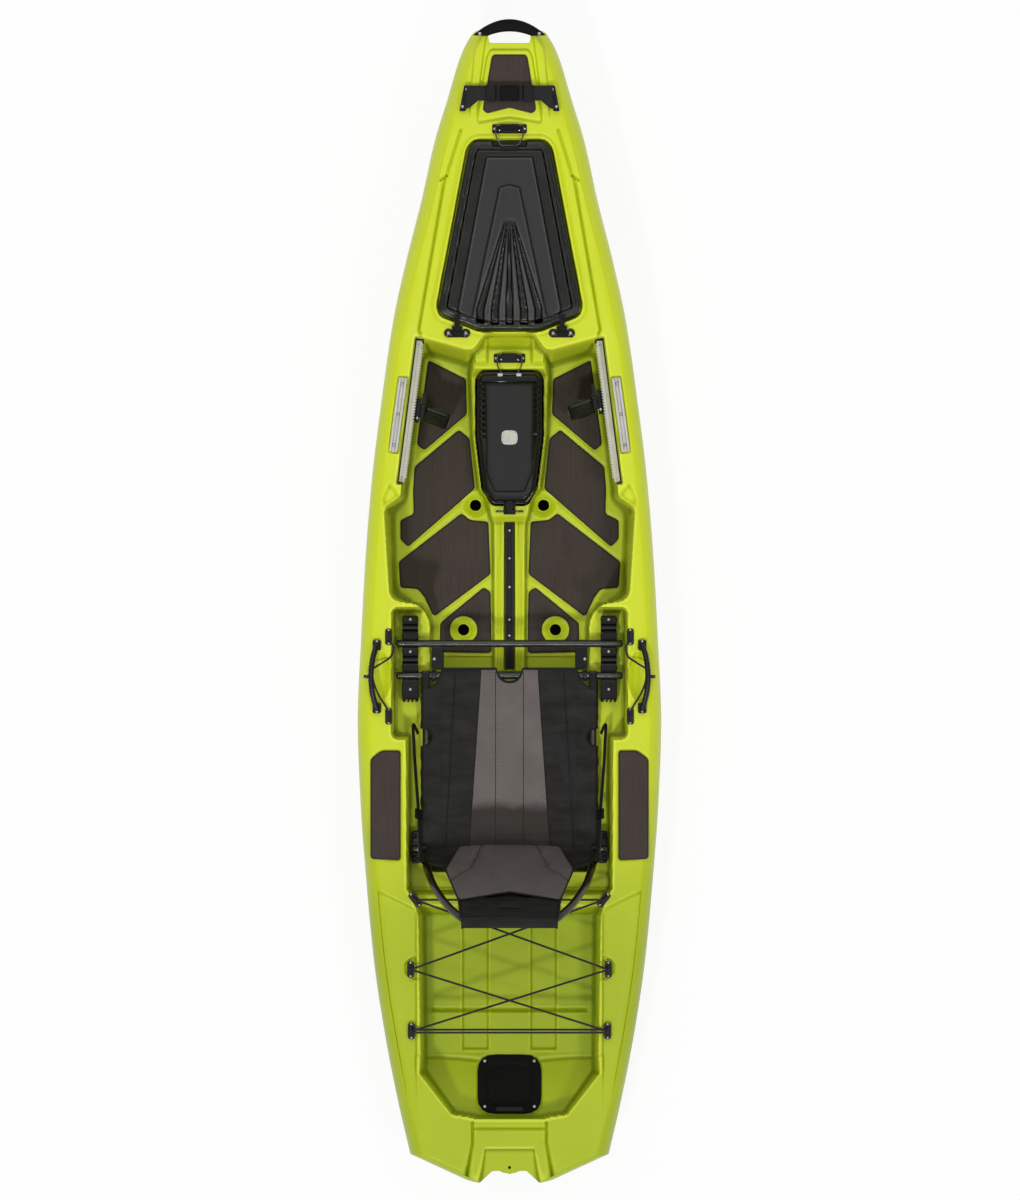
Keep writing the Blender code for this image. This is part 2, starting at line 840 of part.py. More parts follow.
def stern_plate_recess():
    size = PLATE_SIZE / 2 + 0.001
    line = [(size, size), (size, -size), (-size, -size), (-size, size)]
    return plate(
        "stern_plate_cutter", fillet(line, 0.022), 0.0, 0.080,
        location=(0, PLATE_MIDDLE, plate_height() - 0.004), rotation=(-PLATE_SLOPE, 0, 0),
    )


def plate_height():
    """Height of the ramp at the middle of the stern plate."""
    share = (0.845 - 0.690) / 0.293
    return TANK_Z + share * (0.250 - TANK_Z)


def bow_gap():
    """The finger gap behind the bow handle."""
    return box("bow_gap_cutter", (0.112, 0.120, 0.500), (0, along(1.547) + 0.060, 0.250))


def stern_notch():
    end = along(TRANSOM)
    line = both_sides([
        (0.083, end - 0.020),
        (0.083, end),
        (0.050, end + 0.033),
        (0.0, end + 0.028),
    ])
    return plate("stern_notch_cutter", line, -0.050, 0.500)


DRAIN = (0.0, along(TRANSOM) + 0.040, 0.215)


def drain_recess():
    return rod(
        "drain_cutter", 0.0180, 0.060, (DRAIN[0], DRAIN[1] - 0.030, DRAIN[2]), axis="Y", sides=20,
    )


# Bow fittings
def build_bow():
    end = along(1.568)
    top = deck_z(end)
    steps = 8
    outer = []
    inner = []
    for k in range(steps + 1):
        u = 2 * k / steps - 1
        outer.append((0.101 * u, end + 0.0445 * (1 - u * u)))
        inner.append((0.060 * u, end - 0.002 + 0.012 * (1 - u * u)))
    handle = plate("bow_handle", outer[::-1] + inner, top + TOUCH + 0.001, top + 0.025, "rubber")
    rounded(handle, 0.006, 2)

    turn = (BOW_PITCH, 0, 0)
    plateau_top = 0.012
    line = both_sides([
        (0.044, 0.070),
        (0.050, 0.062),
        (0.074, -0.083),
        (0.062, -0.093),
        (0.0, -0.077),
    ])
    frame = empty("bow_frame", (0, BOW_MIDDLE, deck_z(BOW_MIDDLE)), turn)
    plate(
        "bow_pad", fillet(line, 0.006, 2), plateau_top + TOUCH,
        plateau_top + TOUCH + PAD_THICKNESS, "foam_pad", frame,
    )

    shift = STRAP_SHIFT
    bracket_top = 0.022
    bracket = plate(
        "bow_strap_bracket_right", fillet(STRAP_BRACKET, 0.004, 2), STRAP_SEAT + TOUCH, bracket_top,
        "black_plastic", frame,
    )
    rounded(bracket, 0.003)
    mirrored(bracket, "bow_strap_bracket_left", "black_plastic")
    strap_points = [
        (0.118, bracket_top),
        (0.092, 0.029),
        (0.045, 0.032),
        (0.0, 0.033),
    ]
    width = 0.042
    rings = []
    for x, z in strap_points + [(-x, z) for x, z in reversed(strap_points[:-1])]:
        z += TOUCH
        rings.append([
            (x, shift - width / 2, z),
            (x, shift + width / 2, z),
            (x, shift + width / 2, z + 0.002),
            (x, shift - width / 2, z + 0.002),
        ])
    loft("bow_strap", rings, "webbing", frame)
    buckle = box(
        "bow_strap_buckle", (0.072, 0.048, 0.012), (0, shift, 0.0416), "black_plastic", frame,
    )
    slots = [
        box(f"buckle_slot_{s}", (0.007, 0.038, 0.030), (s * 0.028, shift, 0.0416), parent=frame)
        for s in (1, -1)
    ]
    rounded(cut(buckle, *slots), 0.002)


def draw_latch(prefix, frame, y, z, half, bail_reach, bail_drop, lever_depth=0.022):
    """A base with two ears, a lever hinged between them and a wire bail on the lever."""
    ear = half + 0.0035
    base = box(
        f"{prefix}_latch_base", (2 * half + 0.044, 0.026, 0.004), (0, y + 0.004, z + 0.002),
        "black_plastic", frame,
    )
    ears = [
        box(
            f"{prefix}_ear_{s}", (0.005, 0.018, 0.016), (s * (ear + 0.0025), y, z + 0.010),
            parent=frame,
        )
        for s in (1, -1)
    ]
    pin = rod(
        f"{prefix}_latch_pin", 0.0025, 2 * ear + 0.006, (0, y, z + 0.012), axis="X", sides=12,
        parent=frame,
    )
    join(base, *ears, pin)
    pivot = empty(f"{prefix}_lever_axis", (0, y, z + 0.012))
    pivot.parent = frame
    lever = box(
        f"{prefix}_latch_lever", (2 * half, lever_depth, 0.008),
        (0, lever_depth / 2 - 0.004, 0), "black_plastic", pivot,
    )
    rounded(lever, 0.0015)
    bore = rod(
        f"{prefix}_lever_bore", 0.0030, 2 * half + 0.02, (0, 0, 0), axis="X", sides=12,
        parent=pivot,
    )
    bail_y = lever_depth - 0.008
    holes = rod(
        f"{prefix}_bail_bore", 0.0024, 2 * half + 0.02, (0, bail_y, 0), axis="X", sides=12,
        parent=pivot,
    )
    cut(lever, bore, holes)
    arm = half + 0.0115
    path = round_path(
        [
            (half - 0.008, 0, 0),
            (arm, 0, 0),
            (arm, -bail_reach * 0.55, 0.0045),
            (half - 0.002, -bail_reach, bail_drop),
            (-half + 0.002, -bail_reach, bail_drop),
            (-arm, -bail_reach * 0.55, 0.0045),
            (-arm, 0, 0),
            (-half + 0.008, 0, 0),
        ],
        0.004,
        2,
    )
    hinge = empty(f"{prefix}_bail_axis", (0, bail_y, 0))
    hinge.parent = pivot
    tube(f"{prefix}_bail", path, WIRE_R, "bare_metal", hinge, resolution=1)


def build_hatch():
    origin = (0, HINGE_Y, deck_z(HINGE_Y) + HINGE_RISE)
    frame = empty("hatch_axis", origin, (HATCH_PITCH, 0, 0))
    line = both_sides(HATCH_LINE)

    gasket = plate(
        "hatch_gasket", fillet(inset(line, 0.003), 0.012),
        RECESS + TOUCH, RECESS + TOUCH + GASKET, "rubber", frame,
    )
    cut(
        gasket,
        plate("gasket_bore", fillet(inset(line, 0.016), 0.012), -0.100, 0.100, parent=frame),
    )

    lid = plate("hatch_lid", fillet(line, 0.012), LID_BOTTOM, LID_TOP, "lid_plastic", frame)
    hollow = plate(
        "lid_hollow", fillet(inset(line, 0.014), 0.012), LID_BOTTOM - 0.020, LID_TOP - 0.006,
        parent=frame,
    )
    cut(rounded(lid, 0.004), hollow)
    panel_half = [
        (across(0.066), HATCH_LENGTH - 0.040),
        (across(0.142), 0.052),
        (across(0.130), 0.034),
        (across(0.060), 0.020),
    ]
    panel = plate(
        "lid_panel", fillet(both_sides(panel_half), 0.010, 2), LID_TOP - 0.003, LID_TOP + 0.008,
        parent=frame,
    )
    rounded(panel, 0.003)
    join(lid, panel)
    for number in range(5):
        spread = number - 2
        front = Vector((across(0.015) * spread, HATCH_LENGTH - 0.150, LID_TOP + 0.010))
        back = Vector((across(0.0395) * spread, 0.040, LID_TOP + 0.010))
        flute = rod(
            f"lid_flute_{number}", 0.0055, (front - back).length, (0, 0, 0), sides=10, parent=frame,
            tip=0.012,
        )
        flute.location = (front + back) / 2
        flute.rotation_euler = (back - front).to_track_quat("Z", "Y").to_euler()
        cut(lid, flute)

    keeper_y = HATCH_LENGTH - 0.014
    notch = box("lid_notch", (0.092, 0.040, 0.100), (0, keeper_y + 0.020, 0), parent=frame)
    keeper = box(
        "lid_keeper", (0.050, 0.010, 0.014), (0, keeper_y - 0.006, LID_TOP + 0.003), parent=frame,
    )
    join(cut(lid, notch), rounded(keeper, 0.002))

    straps = []
    for side in (1, -1):
        hinge_x = side * across(0.145)
        arm = box(f"lid_arm_{side}", (0.016, 0.044, 0.006), (hinge_x, 0.020, 0.003), parent=frame)
        knuckle = rod(
            f"lid_knuckle_{side}", 0.0058, 0.016, (hinge_x, 0, 0), axis="X", sides=14, parent=frame,
        )
        straps += [arm, knuckle]
    join(lid, *straps)
    bore = rod("lid_hinge_bore", 0.0030, 0.500, (0, 0, 0), axis="X", sides=12, parent=frame)
    cut(lid, bore)

    x = across(0.145)
    hinge = box(
        "hatch_hinge_right", (0.052, 0.020, 0.004), (x, -0.016, -HINGE_RISE + 0.0025),
        "black_plastic", frame,
    )
    feet = [
        rod(
            f"hinge_foot_{k}", 0.0125, 0.007, (x + k * 0.024, -0.012, -HINGE_RISE + 0.0040),
            sides=14, parent=frame,
        )
        for k in (1, -1)
    ]
    ears = [
        box(f"hinge_ear_{k}", (0.006, 0.026, 0.010), (x + k * 0.0118, -0.005, -0.002), parent=frame)
        for k in (1, -1)
    ]
    pin = rod("hinge_pin", 0.0026, 0.030, (x, 0, 0), axis="X", sides=12, parent=frame)
    join(hinge, *feet, *ears, pin)
    mirrored(hinge, "hatch_hinge_left", "black_plastic")

    draw_latch("hatch", frame, HATCH_LENGTH + 0.030, -HINGE_RISE + TOUCH, 0.026, 0.0555, 0.002)


# Pads, tracks and rails
PAD_LINES = {
    1: [(0.227, 0.677), (0.122, 0.624), (0.119, 0.525), (0.238, 0.424), (0.259, 0.441)],
    2: [
        (0.142, 0.482), (0.112, 0.458), (0.097, 0.317), (0.283, 0.155), (0.305, 0.175),
        (0.305, 0.229), (0.268, 0.247), (0.270, 0.311), (0.265, 0.379),
    ],
    3: [
        (0.134, 0.249), (0.110, 0.230), (0.053, 0.225), (0.050, 0.078), (0.206, -0.037),
        (0.215, -0.035), (0.238, 0.015), (0.256, 0.037), (0.305, 0.041), (0.310, 0.113),
    ],
    4: [
        (0.072, 0.042), (0.053, 0.029), (0.048, -0.137), (0.058, -0.142), (0.191, -0.139),
        (0.195, -0.132), (0.194, -0.058),
    ],
}


def build_pads():
    keep_clear = loft("spine_clearance", spine_rings(0.003))
    for number, points in PAD_LINES.items():
        line = fillet(foot_points(points), 0.008, 2)
        pad = plate(
            f"floor_pad_{number}_right", line, FLOOR_Z + TOUCH, FLOOR_Z + TOUCH + PAD_THICKNESS, "foam_pad"
        )
        cut(pad, keep_clear)
        if number == 4:
            x, y = SCUPPERS[1]
            cut(pad, rod("pad_scupper_cutter", 0.0375, 0.100, (x, y, FLOOR_Z), sides=24))
        mirrored(pad, f"floor_pad_{number}_left", "foam_pad")
    sunk = deck_z(SIDE_PAD_Y) - 0.004
    side = plate(
        "side_pad_right", fillet(SIDE_PAD_LINE, 0.010, 2),
        sunk + TOUCH, sunk + TOUCH + PAD_THICKNESS + 0.001, "foam_pad",
    )
    mirrored(side, "side_pad_left", "foam_pad")


def slotted_bar(name, length, width, height, look, parent=None):
    """A track with a T-shaped slot along its top."""
    half, mouth, slot = width / 2, width * 0.19, width * 0.33
    lip = height * 0.28
    section = [
        (-half, 0), (half, 0), (half, height), (mouth, height), (mouth, height - lip),
        (slot, height - lip), (slot, lip), (-slot, lip), (-slot, height - lip),
        (-mouth, height - lip), (-mouth, height), (-half, height),
    ]
    rings = [[(x, y, z) for x, z in section] for y in (-length / 2, length / 2)]
    return loft(name, rings, look, parent, smooth=False)


def build_tracks():
    turn = (deck_pitch(TRACK_Y, TRACK_LENGTH), 0, TRACK_YAW)
    track = slotted_bar("gear_track_right", TRACK_LENGTH, TRACK_WIDTH, TRACK_HEIGHT, "bare_metal")
    floor = deck_z(TRACK_Y) - 0.008
    lift = (0, -math.sin(turn[0]) * TOUCH, math.cos(turn[0]) * TOUCH)
    place(track, (TRACK_X + lift[0], TRACK_Y + lift[1], floor + lift[2]), turn)
    mirrored(track, "gear_track_left", "bare_metal")

    front, back = TRACK_SLOT
    length = front - back - 0.002
    centre = slotted_bar("center_track", length, CENTRE_TRACK_WIDTH, 0.0115, "black_metal")
    place(centre, (0, (front + back) / 2, TRACK_TOP - 0.012 + TOUCH))


TOOTH_PITCH = 0.0158


def build_rails():
    """Two foot rails, each with a toothed inner edge low on the bar."""
    x, y = RAIL_MIDDLE
    frame = empty("foot_rail_frame_right", (x, y, RAIL_Z + TOUCH), (0, 0, RAIL_YAW))
    half = RAIL_WIDTH / 2
    rail = box(
        "foot_rail_right", (RAIL_WIDTH, RAIL_LENGTH, RAIL_HEIGHT), (0, 0, RAIL_HEIGHT / 2),
        "bare_metal", frame,
    )
    outline = [(-half + 0.002, RAIL_LENGTH / 2 - 0.004)]
    teeth = int((RAIL_LENGTH - 0.012) / TOOTH_PITCH)
    start = RAIL_LENGTH / 2 - 0.006
    for k in range(teeth):
        outline.append((-half - 0.0005, start - k * TOOTH_PITCH))
        outline.append((-half - 0.0045, start - (k + 0.5) * TOOTH_PITCH))
    outline.append((-half + 0.002, start - teeth * TOOTH_PITCH))
    comb = plate("rail_teeth", outline[::-1], RAIL_HEIGHT - 0.008, RAIL_HEIGHT, parent=frame)
    groove = box(
        "rail_groove", (0.008, RAIL_LENGTH + 0.02, 0.014), (-half, 0, RAIL_HEIGHT * 0.45),
        parent=frame,
    )
    join(cut(rail, groove), comb)
    mirrored(rail, "foot_rail_left", "bare_metal")


BRACE_SHIFT = {"right": 0.030, "left": 0.006}


def build_foot_braces():
    """A carriage that slides in the rail's groove, with its pedal and release trigger."""
    x, y = RAIL_MIDDLE
    for side, name in ((1, "right"), (-1, "left")):
        yaw = side * RAIL_YAW
        base = Vector((side * x, y, RAIL_Z + TOUCH))
        shift = Matrix.Rotation(yaw, 4, "Z") @ Vector((0, BRACE_SHIFT[name], 0))
        frame = empty(f"foot_brace_frame_{name}", base + shift, (0, 0, yaw))
        inner = -side * RAIL_WIDTH / 2
        tongue_z = RAIL_HEIGHT * 0.45
        brace = box(
            f"foot_brace_{name}", (0.012, 0.070, 0.034),
            (inner - side * 0.0118, 0, tongue_z - 0.006), "black_plastic", frame,
        )
        tongue = box(
            f"brace_tongue_{name}", (0.012, 0.060, 0.0130),
            (inner - side * 0.0035, 0, tongue_z), parent=frame,
        )
        arm = box(
            f"brace_arm_{name}", (0.018, 0.036, 0.070), (inner - side * 0.0230, -0.002, -0.028),
            parent=frame,
        )
        pedal = box(
            f"brace_pedal_{name}", (0.078, 0.014, 0.095), (inner - side * 0.0620, -0.014, -0.048),
            parent=frame, rotation=(0, 0, side * math.radians(8)),
        )
        rounded(pedal, 0.005, 2)
        rib = box(
            f"brace_rib_{name}", (0.060, 0.024, 0.010), (inner - side * 0.052, 0.002, -0.030),
            parent=frame,
        )
        join(brace, tongue, arm, pedal, rib)
        pivot = empty(f"brace_trigger_axis_{name}", (inner - side * 0.0250, 0.0150, -0.004))
        pivot.parent = frame
        trigger = box(
            f"foot_brace_trigger_{name}", (0.012, 0.034, 0.006), (0, 0.0188, -0.002), "black_plastic", pivot
        )
        barrel = rod(
            f"trigger_barrel_{name}", 0.004, 0.012, (0, 0.0, 0.0), axis="X", sides=12, parent=pivot,
        )
        join(trigger, barrel)
        cut(
            brace,
            rod(
                f"trigger_seat_{name}", 0.0043, 0.0128, (inner - side * 0.0250, 0.0150, -0.004),
                axis="X", sides=12, parent=frame,
            ),
        )


# Console box in the spine
def build_console():
    line = both_sides(CONSOLE_LINE)
    outer = fillet(line, 0.010, 2)
    tub = plate("console_box", outer, CONSOLE_FLOOR + TOUCH, CONSOLE_RIM, "black_plastic")
    inside = plate(
        "console_hollow", fillet(inset(line, 0.013), 0.010, 2), CONSOLE_FLOOR + 0.004,
        CONSOLE_RIM + 0.050,
    )
    cut(tub, inside)
    slots = []
    for side in (1, -1):
        for k in range(round((CONSOLE_LENGTH - 0.213) / SLOT_PITCH)):
            y = CONSOLE_FRONT - 0.030 - SLOT_PITCH * k
            slots.append(
                box(
                    f"console_slot_{side}_{k}", (0.006, 0.007, 0.016),
                    (side * CONSOLE_HALF, y, CONSOLE_RIM - 0.016),
                )
            )
    cut(tub, *slots)
    hinge_y = CONSOLE_BACK - 0.022
    hinge_z = CONSOLE_RIM - 0.004
    block = box(
        "console_hinge_block", (0.034, 0.034, 0.012), (0, CONSOLE_BACK - 0.014, hinge_z - 0.018),
    )
    ears = [
        box(f"console_ear_{s}", (0.007, 0.016, 0.030), (s * 0.0135, hinge_y, hinge_z - 0.008))
        for s in (1, -1)
    ]
    pin = rod("console_pin", 0.003, 0.070, (0, hinge_y, hinge_z), axis="X", sides=12)
    join(tub, block, *ears, pin)

    frame = empty("console_axis", (0, hinge_y, hinge_z))
    lid_line = inset(line, 0.004)
    local = [(x, y - hinge_y) for x, y in lid_line]
    low = CONSOLE_RIM + TOUCH - hinge_z
    lid = plate("console_lid", fillet(local, 0.010, 2), low, low + 0.012, "lid_plastic", frame)
    rounded(lid, 0.003)
    raised = [
        (0.069, CONSOLE_FRONT - 0.032), (0.066, CONSOLE_BACK + 0.176),
        (0.055, CONSOLE_BACK + 0.075), (0.040, CONSOLE_BACK + 0.036),
    ]
    raised = [(x, y - hinge_y) for x, y in raised]
    panel = plate(
        "console_panel", fillet(both_sides(raised), 0.008, 2), low + 0.006, low + 0.020,
        parent=frame,
    )
    rounded(panel, 0.003)
    hollow = [(x, y - hinge_y) for x, y in inset(line, 0.020)]
    under = plate(
        "console_lid_hollow", fillet(hollow, 0.008, 2), low - 0.010, low + 0.009, parent=frame,
    )
    arm = box("console_lid_arm", (0.018, 0.034, 0.0060), (0, 0.014, low + 0.004), parent=frame)
    knuckle = rod("console_knuckle", 0.0065, 0.018, (0, 0, 0), axis="X", sides=14, parent=frame)
    web = box("console_web", (0.018, 0.007, 0.010), (0, 0, 0.004), parent=frame)
    join(lid, panel)
    cut(lid, under)
    join(lid, arm, knuckle, web)
    cut(lid, rod("console_lid_bore", 0.0034, 0.050, (0, 0, 0), axis="X", sides=12, parent=frame))

    keeper_y = CONSOLE_FRONT - 0.004 - hinge_y
    notch = box("console_notch", (0.082, 0.030, 0.050), (0, keeper_y + 0.009, low), parent=frame)
    keeper = box(
        "console_keeper", (0.040, 0.008, 0.016), (0, keeper_y - 0.0110, low + 0.010), parent=frame,
    )
    join(cut(lid, notch), rounded(keeper, 0.002))

    rest = empty("console_latch_frame", (0, 0, 0))
    draw_latch("console", rest, CONSOLE_FRONT + 0.034, LATCH_BLOCK + TOUCH, 0.022, 0.0555, 0.004)


# Seat
RACK_TOP = LEDGE_Z + RACK_HEIGHT
RACK_EDGE = across(RACK_X)
SIDE_X = RACK_EDGE - RACK_WIDTH / 2 - RACK_GAP - TUBE_R
BAR_HALF = LEDGE_HALF - 0.007
NOTCH_R = TUBE_R + TOUCH
LEG_BAR_Y = FRONT_BAR_Y + LEG_REACH
BRACKET_X = across(0.2598)
BRACKET_WIDTH = 0.024
BACK_TILT = Vector((0, -math.sin(BACK_LEAN), math.cos(BACK_LEAN)))
BACK_AXIS = Vector((0, SEAT_BACK, BAR_Z + 0.026))


def notch(name, x, y, width):
    """A saddle cutter: a round bed for a bar, open upwards."""
    bed = rod(name, NOTCH_R, width, (x, y, BAR_Z), axis="X", sides=16)
    mouth = box(name + "_mouth", (width, 2 * NOTCH_R, 0.060), (x, y, BAR_Z + 0.030))
    return bed, mouth


def build_seat_mounts():
    front = FRONT_BAR_Y + RACK_FRONT
    x = RACK_EDGE
    rack = box(
        "seat_rack_right", (RACK_WIDTH, RACK_LENGTH, RACK_HEIGHT),
        (x, front - RACK_LENGTH / 2, LEDGE_Z + TOUCH + RACK_HEIGHT / 2), "black_plastic",
    )
    rounded(rack, 0.004)
    gap = (LEG_BAR_Y - FRONT_BAR_Y) / 2
    places = [LEG_BAR_Y + gap, LEG_BAR_Y, LEG_BAR_Y - gap, FRONT_BAR_Y]
    for number, y in enumerate(places):
        cut(rack, *notch(f"rack_notch_{number}", x, y, RACK_WIDTH + 0.02))
    tail = front - RACK_LENGTH
    for k in range(3):
        cut(
            rack,
            box(
                f"rack_tooth_{k}", (0.006, 0.014, 0.100),
                (x - 0.011 + 0.011 * k, tail, LEDGE_Z + 0.02),
            ),
        )
    mirrored(rack, "seat_rack_left", "black_plastic")

    height = BAR_Z + 0.006 - LEDGE_Z
    bracket = box(
        "seat_bracket_rear_right", (BRACKET_WIDTH, 0.090, height),
        (BRACKET_X, SEAT_BACK + 0.006, LEDGE_Z + TOUCH + height / 2), "black_plastic",
    )
    rounded(bracket, 0.003)
    cut(bracket, *notch("bracket_notch", BRACKET_X, SEAT_BACK, BRACKET_WIDTH + 0.02))
    for k in (1, -1):
        cut(
            bracket,
            box(
                f"bracket_slot_{k}", (0.012, 0.016, 0.05),
                (BRACKET_X + 0.004, SEAT_BACK + 0.006 + k * 0.031, LEDGE_Z + height + 0.008),
            ),
        )
    mirrored(bracket, "seat_bracket_rear_left", "black_plastic")


def back_point(x, up, forward=0.0):
    """A place in the backrest's plane: sideways, up along it and forward of it."""
    normal = Vector((0, math.cos(BACK_LEAN), math.sin(BACK_LEAN)))
    return Vector((x, 0, 0)) + BACK_TILT * up + normal * forward


def build_seat_frame():
    frame = empty("seat_frame_axis", (0, FRONT_BAR_Y, BAR_Z))
    length = SEAT_LENGTH
    rear_half = BRACKET_X + BRACKET_WIDTH / 2 + 0.002
    body = tube(
        "seat_frame", [(-BAR_HALF, 0, 0), (BAR_HALF, 0, 0)], TUBE_R, "black_metal", frame,
        resolution=4,
    )
    sides = [
        tube(
            f"side_rail_{s}", [(s * SIDE_X, 0.004, 0), (s * SIDE_X, -length - 0.004, 0)],
            TUBE_R - 0.0004, None, frame, 4,
        )
        for s in (1, -1)
    ]
    rear = tube(
        "rear_bar", [(-rear_half, -length, 0), (rear_half, -length, 0)], TUBE_R, None, frame, 4,
    )
    join(body, *sides, rear)
    hinge_z = BACK_AXIS.z - BAR_Z
    for s in (1, -1):
        x = s * (SIDE_X + 0.020)
        ear = box(
            f"back_ear_{s}", (0.006, 0.026, 0.030), (x, -length, hinge_z - 0.0025), parent=frame,
        )
        pin = rod(
            f"back_pin_{s}", 0.004, 0.0270, (s * (SIDE_X + 0.0105), -length, hinge_z), axis="X",
            sides=12, parent=frame,
        )
        join(body, ear, pin)


def build_front_leg():
    """The front leg: a cross bar on two arms that swing about the seat's front bar."""
    frame = empty("seat_leg_axis", (0, FRONT_BAR_Y, BAR_Z))
    reach = LEG_REACH
    leg = tube(
        "seat_front_leg", [(-BAR_HALF, reach, 0), (BAR_HALF, reach, 0)], TUBE_R, "black_metal",
        frame, 4,
    )
    for s in (1, -1):
        x = s * (SIDE_X - TUBE_R - 0.012)
        arm = box(
            f"leg_arm_{s}", (0.010, reach - 0.012, 0.014), (x, reach / 2 + 0.002, 0), parent=frame,
        )
        ring = rod(
            f"leg_ring_{s}", TUBE_R + 0.0045, 0.014, (x, 0, 0), axis="X", sides=20, parent=frame,
        )
        join(leg, rounded(arm, 0.002), ring)
    cut(
        leg,
        rod("leg_bore", TUBE_R + TOUCH, 2 * SIDE_X, (0, 0, 0), axis="X", sides=20, parent=frame),
    )


def build_back_frame():
    frame = empty("seat_back_axis", BACK_AXIS)
    half = SIDE_X
    top = BACK_LENGTH - 0.012
    path = [
        (half + 0.004, 0.0),
        (half, 0.090),
        (half - 0.020, 0.210),
        (half - 0.060, 0.330),
        (half - 0.115, top),
        (-half + 0.115, top),
        (-half + 0.060, 0.330),
        (-half + 0.020, 0.210),
        (-half, 0.090),
        (-half - 0.004, 0.0),
    ]
    points = round_path([back_point(x, up) for x, up in path], 0.045, 2)
    back = tube("seat_back_frame", points, TUBE_R, "black_metal", frame, 3)
    for s in (1, -1):
        eye = rod(
            f"back_eye_{s}", 0.0120, 0.014, (s * (half + 0.004), 0, 0), axis="X", sides=18,
            parent=frame,
        )
        join(back, eye)
    cut(
        back,
        rod("back_bore", 0.0043, 2 * half + 0.080, (0, 0, 0), axis="X", sides=16, parent=frame),
    )


SAG = 0.020
CLOTH = 0.004


def strip_shell(name, rows, thickness, look, parent=None):
    """A sheet through rows of points, thickened to one side."""
    bm = bmesh.new()
    grid = [[bm.verts.new(point) for point in row] for row in rows]
    for near, far in zip(grid, grid[1:]):
        for i in range(len(near) - 1):
            bm.faces.new((near[i], near[i + 1], far[i + 1], far[i]))
    bmesh.ops.recalc_face_normals(bm, faces=bm.faces)
    mesh = bpy.data.meshes.new(name)
    bm.to_mesh(mesh)
    bm.free()
    mesh.shade_smooth()
    obj = add_object(name, mesh, look, parent)
    shell = obj.modifiers.new("cloth", "SOLIDIFY")
    shell.thickness = thickness
    shell.offset = 0.0
    return obj


def base_section(half, sag):
    """The seat cloth across the boat: round each side rail and slack between them."""
    reach = TUBE_R + CLOTH / 2 + TOUCH
    rail = SIDE_X
    wrap = []
    for k in range(5):
        angle = math.radians(-40 + 32.5 * k)
        wrap.append((rail + reach * math.cos(angle), reach * math.sin(angle)))
    count = 6
    middle = []
    for k in range(1, 2 * count):
        u = 1 - k / count
        x = (rail - 0.004) * u
        middle.append((x, reach - sag * (1 - u * u)))
    port = [(-x, z) for x, z in reversed(wrap)]
    return [(x * half / rail, z) if half != rail else (x, z) for x, z in wrap + middle + port]


def build_seat_cloth():
    frame = empty("seat_base_frame", (0, 0, BAR_Z))
    front = FRONT_BAR_Y - TUBE_R - 0.004
    back = SEAT_BACK + TUBE_R + 0.006
    steps = 10
    rows = []
    for k in range(steps + 1):
        t = k / steps
        y = front + (back - front) * t
        sag = SAG * (0.25 + 0.75 * math.sin(math.pi * min(t * 1.1, 1.0)))
        fold = 0.0022 * math.sin(9.0 * math.pi * t)
        rows.append(
            [(x, y, z + fold * (1 - (x / SIDE_X) ** 2 if abs(x) < SIDE_X else 0))
            for x, z in base_section(SIDE_X, sag)]
        )
    cloth = strip_shell("seat_base_fabric", rows, CLOTH, "black_fabric", frame)
    corner = 0.062
    for s in (1, -1):
        cut(
            cloth,
            rod(
                f"cloth_corner_{s}", corner, 0.100, (s * (SIDE_X + 0.012), front + 0.006, 0),
                sides=20, parent=frame,
            ),
        )
    cut(cloth, rod("cloth_notch", 0.036, 0.100, (0, front + 0.018, 0), sides=20, parent=frame))


def back_half(up):
    """Half the width of the backrest cloth at a height along it."""
    rows = [
        (0.0, SIDE_X - 0.020), (0.060, SIDE_X - 0.024), (0.130, 0.172), (0.240, 0.148),
        (0.340, 0.134), (0.445, 0.129),
    ]
    for (low, wide), (high, narrow) in zip(rows, rows[1:]):
        if up <= high:
            t = (up - low) / (high - low)
            return wide + t * (narrow - wide)
    return rows[-1][1]


def cloth_hollow(up):
    """How deep the backrest cloth hangs behind its frame's face at its middle."""
    return 0.016 * math.sin(math.pi * min(up / (BACK_LENGTH - 0.045), 1.0))


def build_back_cloth():
    frame = empty("seat_back_cloth_frame", BACK_AXIS)
    top = BACK_LENGTH - 0.012
    reach = TUBE_R + CLOTH / 2 + TOUCH + 0.0008
    profile = [(0.030 + (top - 0.030) * k / 9, reach) for k in range(10)]
    for k in range(1, 7):
        angle = math.radians(90 - 30 * k)
        profile.append((top + reach * math.cos(angle), reach * math.sin(angle)))
    rows = []
    for up, forward in profile:
        half = back_half(up)
        hollow = cloth_hollow(up)
        row = []
        for i in range(11):
            u = 1 - i / 5
            dip = hollow * (1 - u * u)
            row.append(back_point(half * u, up, forward - dip))
        rows.append(row)
    strip_shell("seat_back_fabric", rows, CLOTH, "black_fabric", frame)


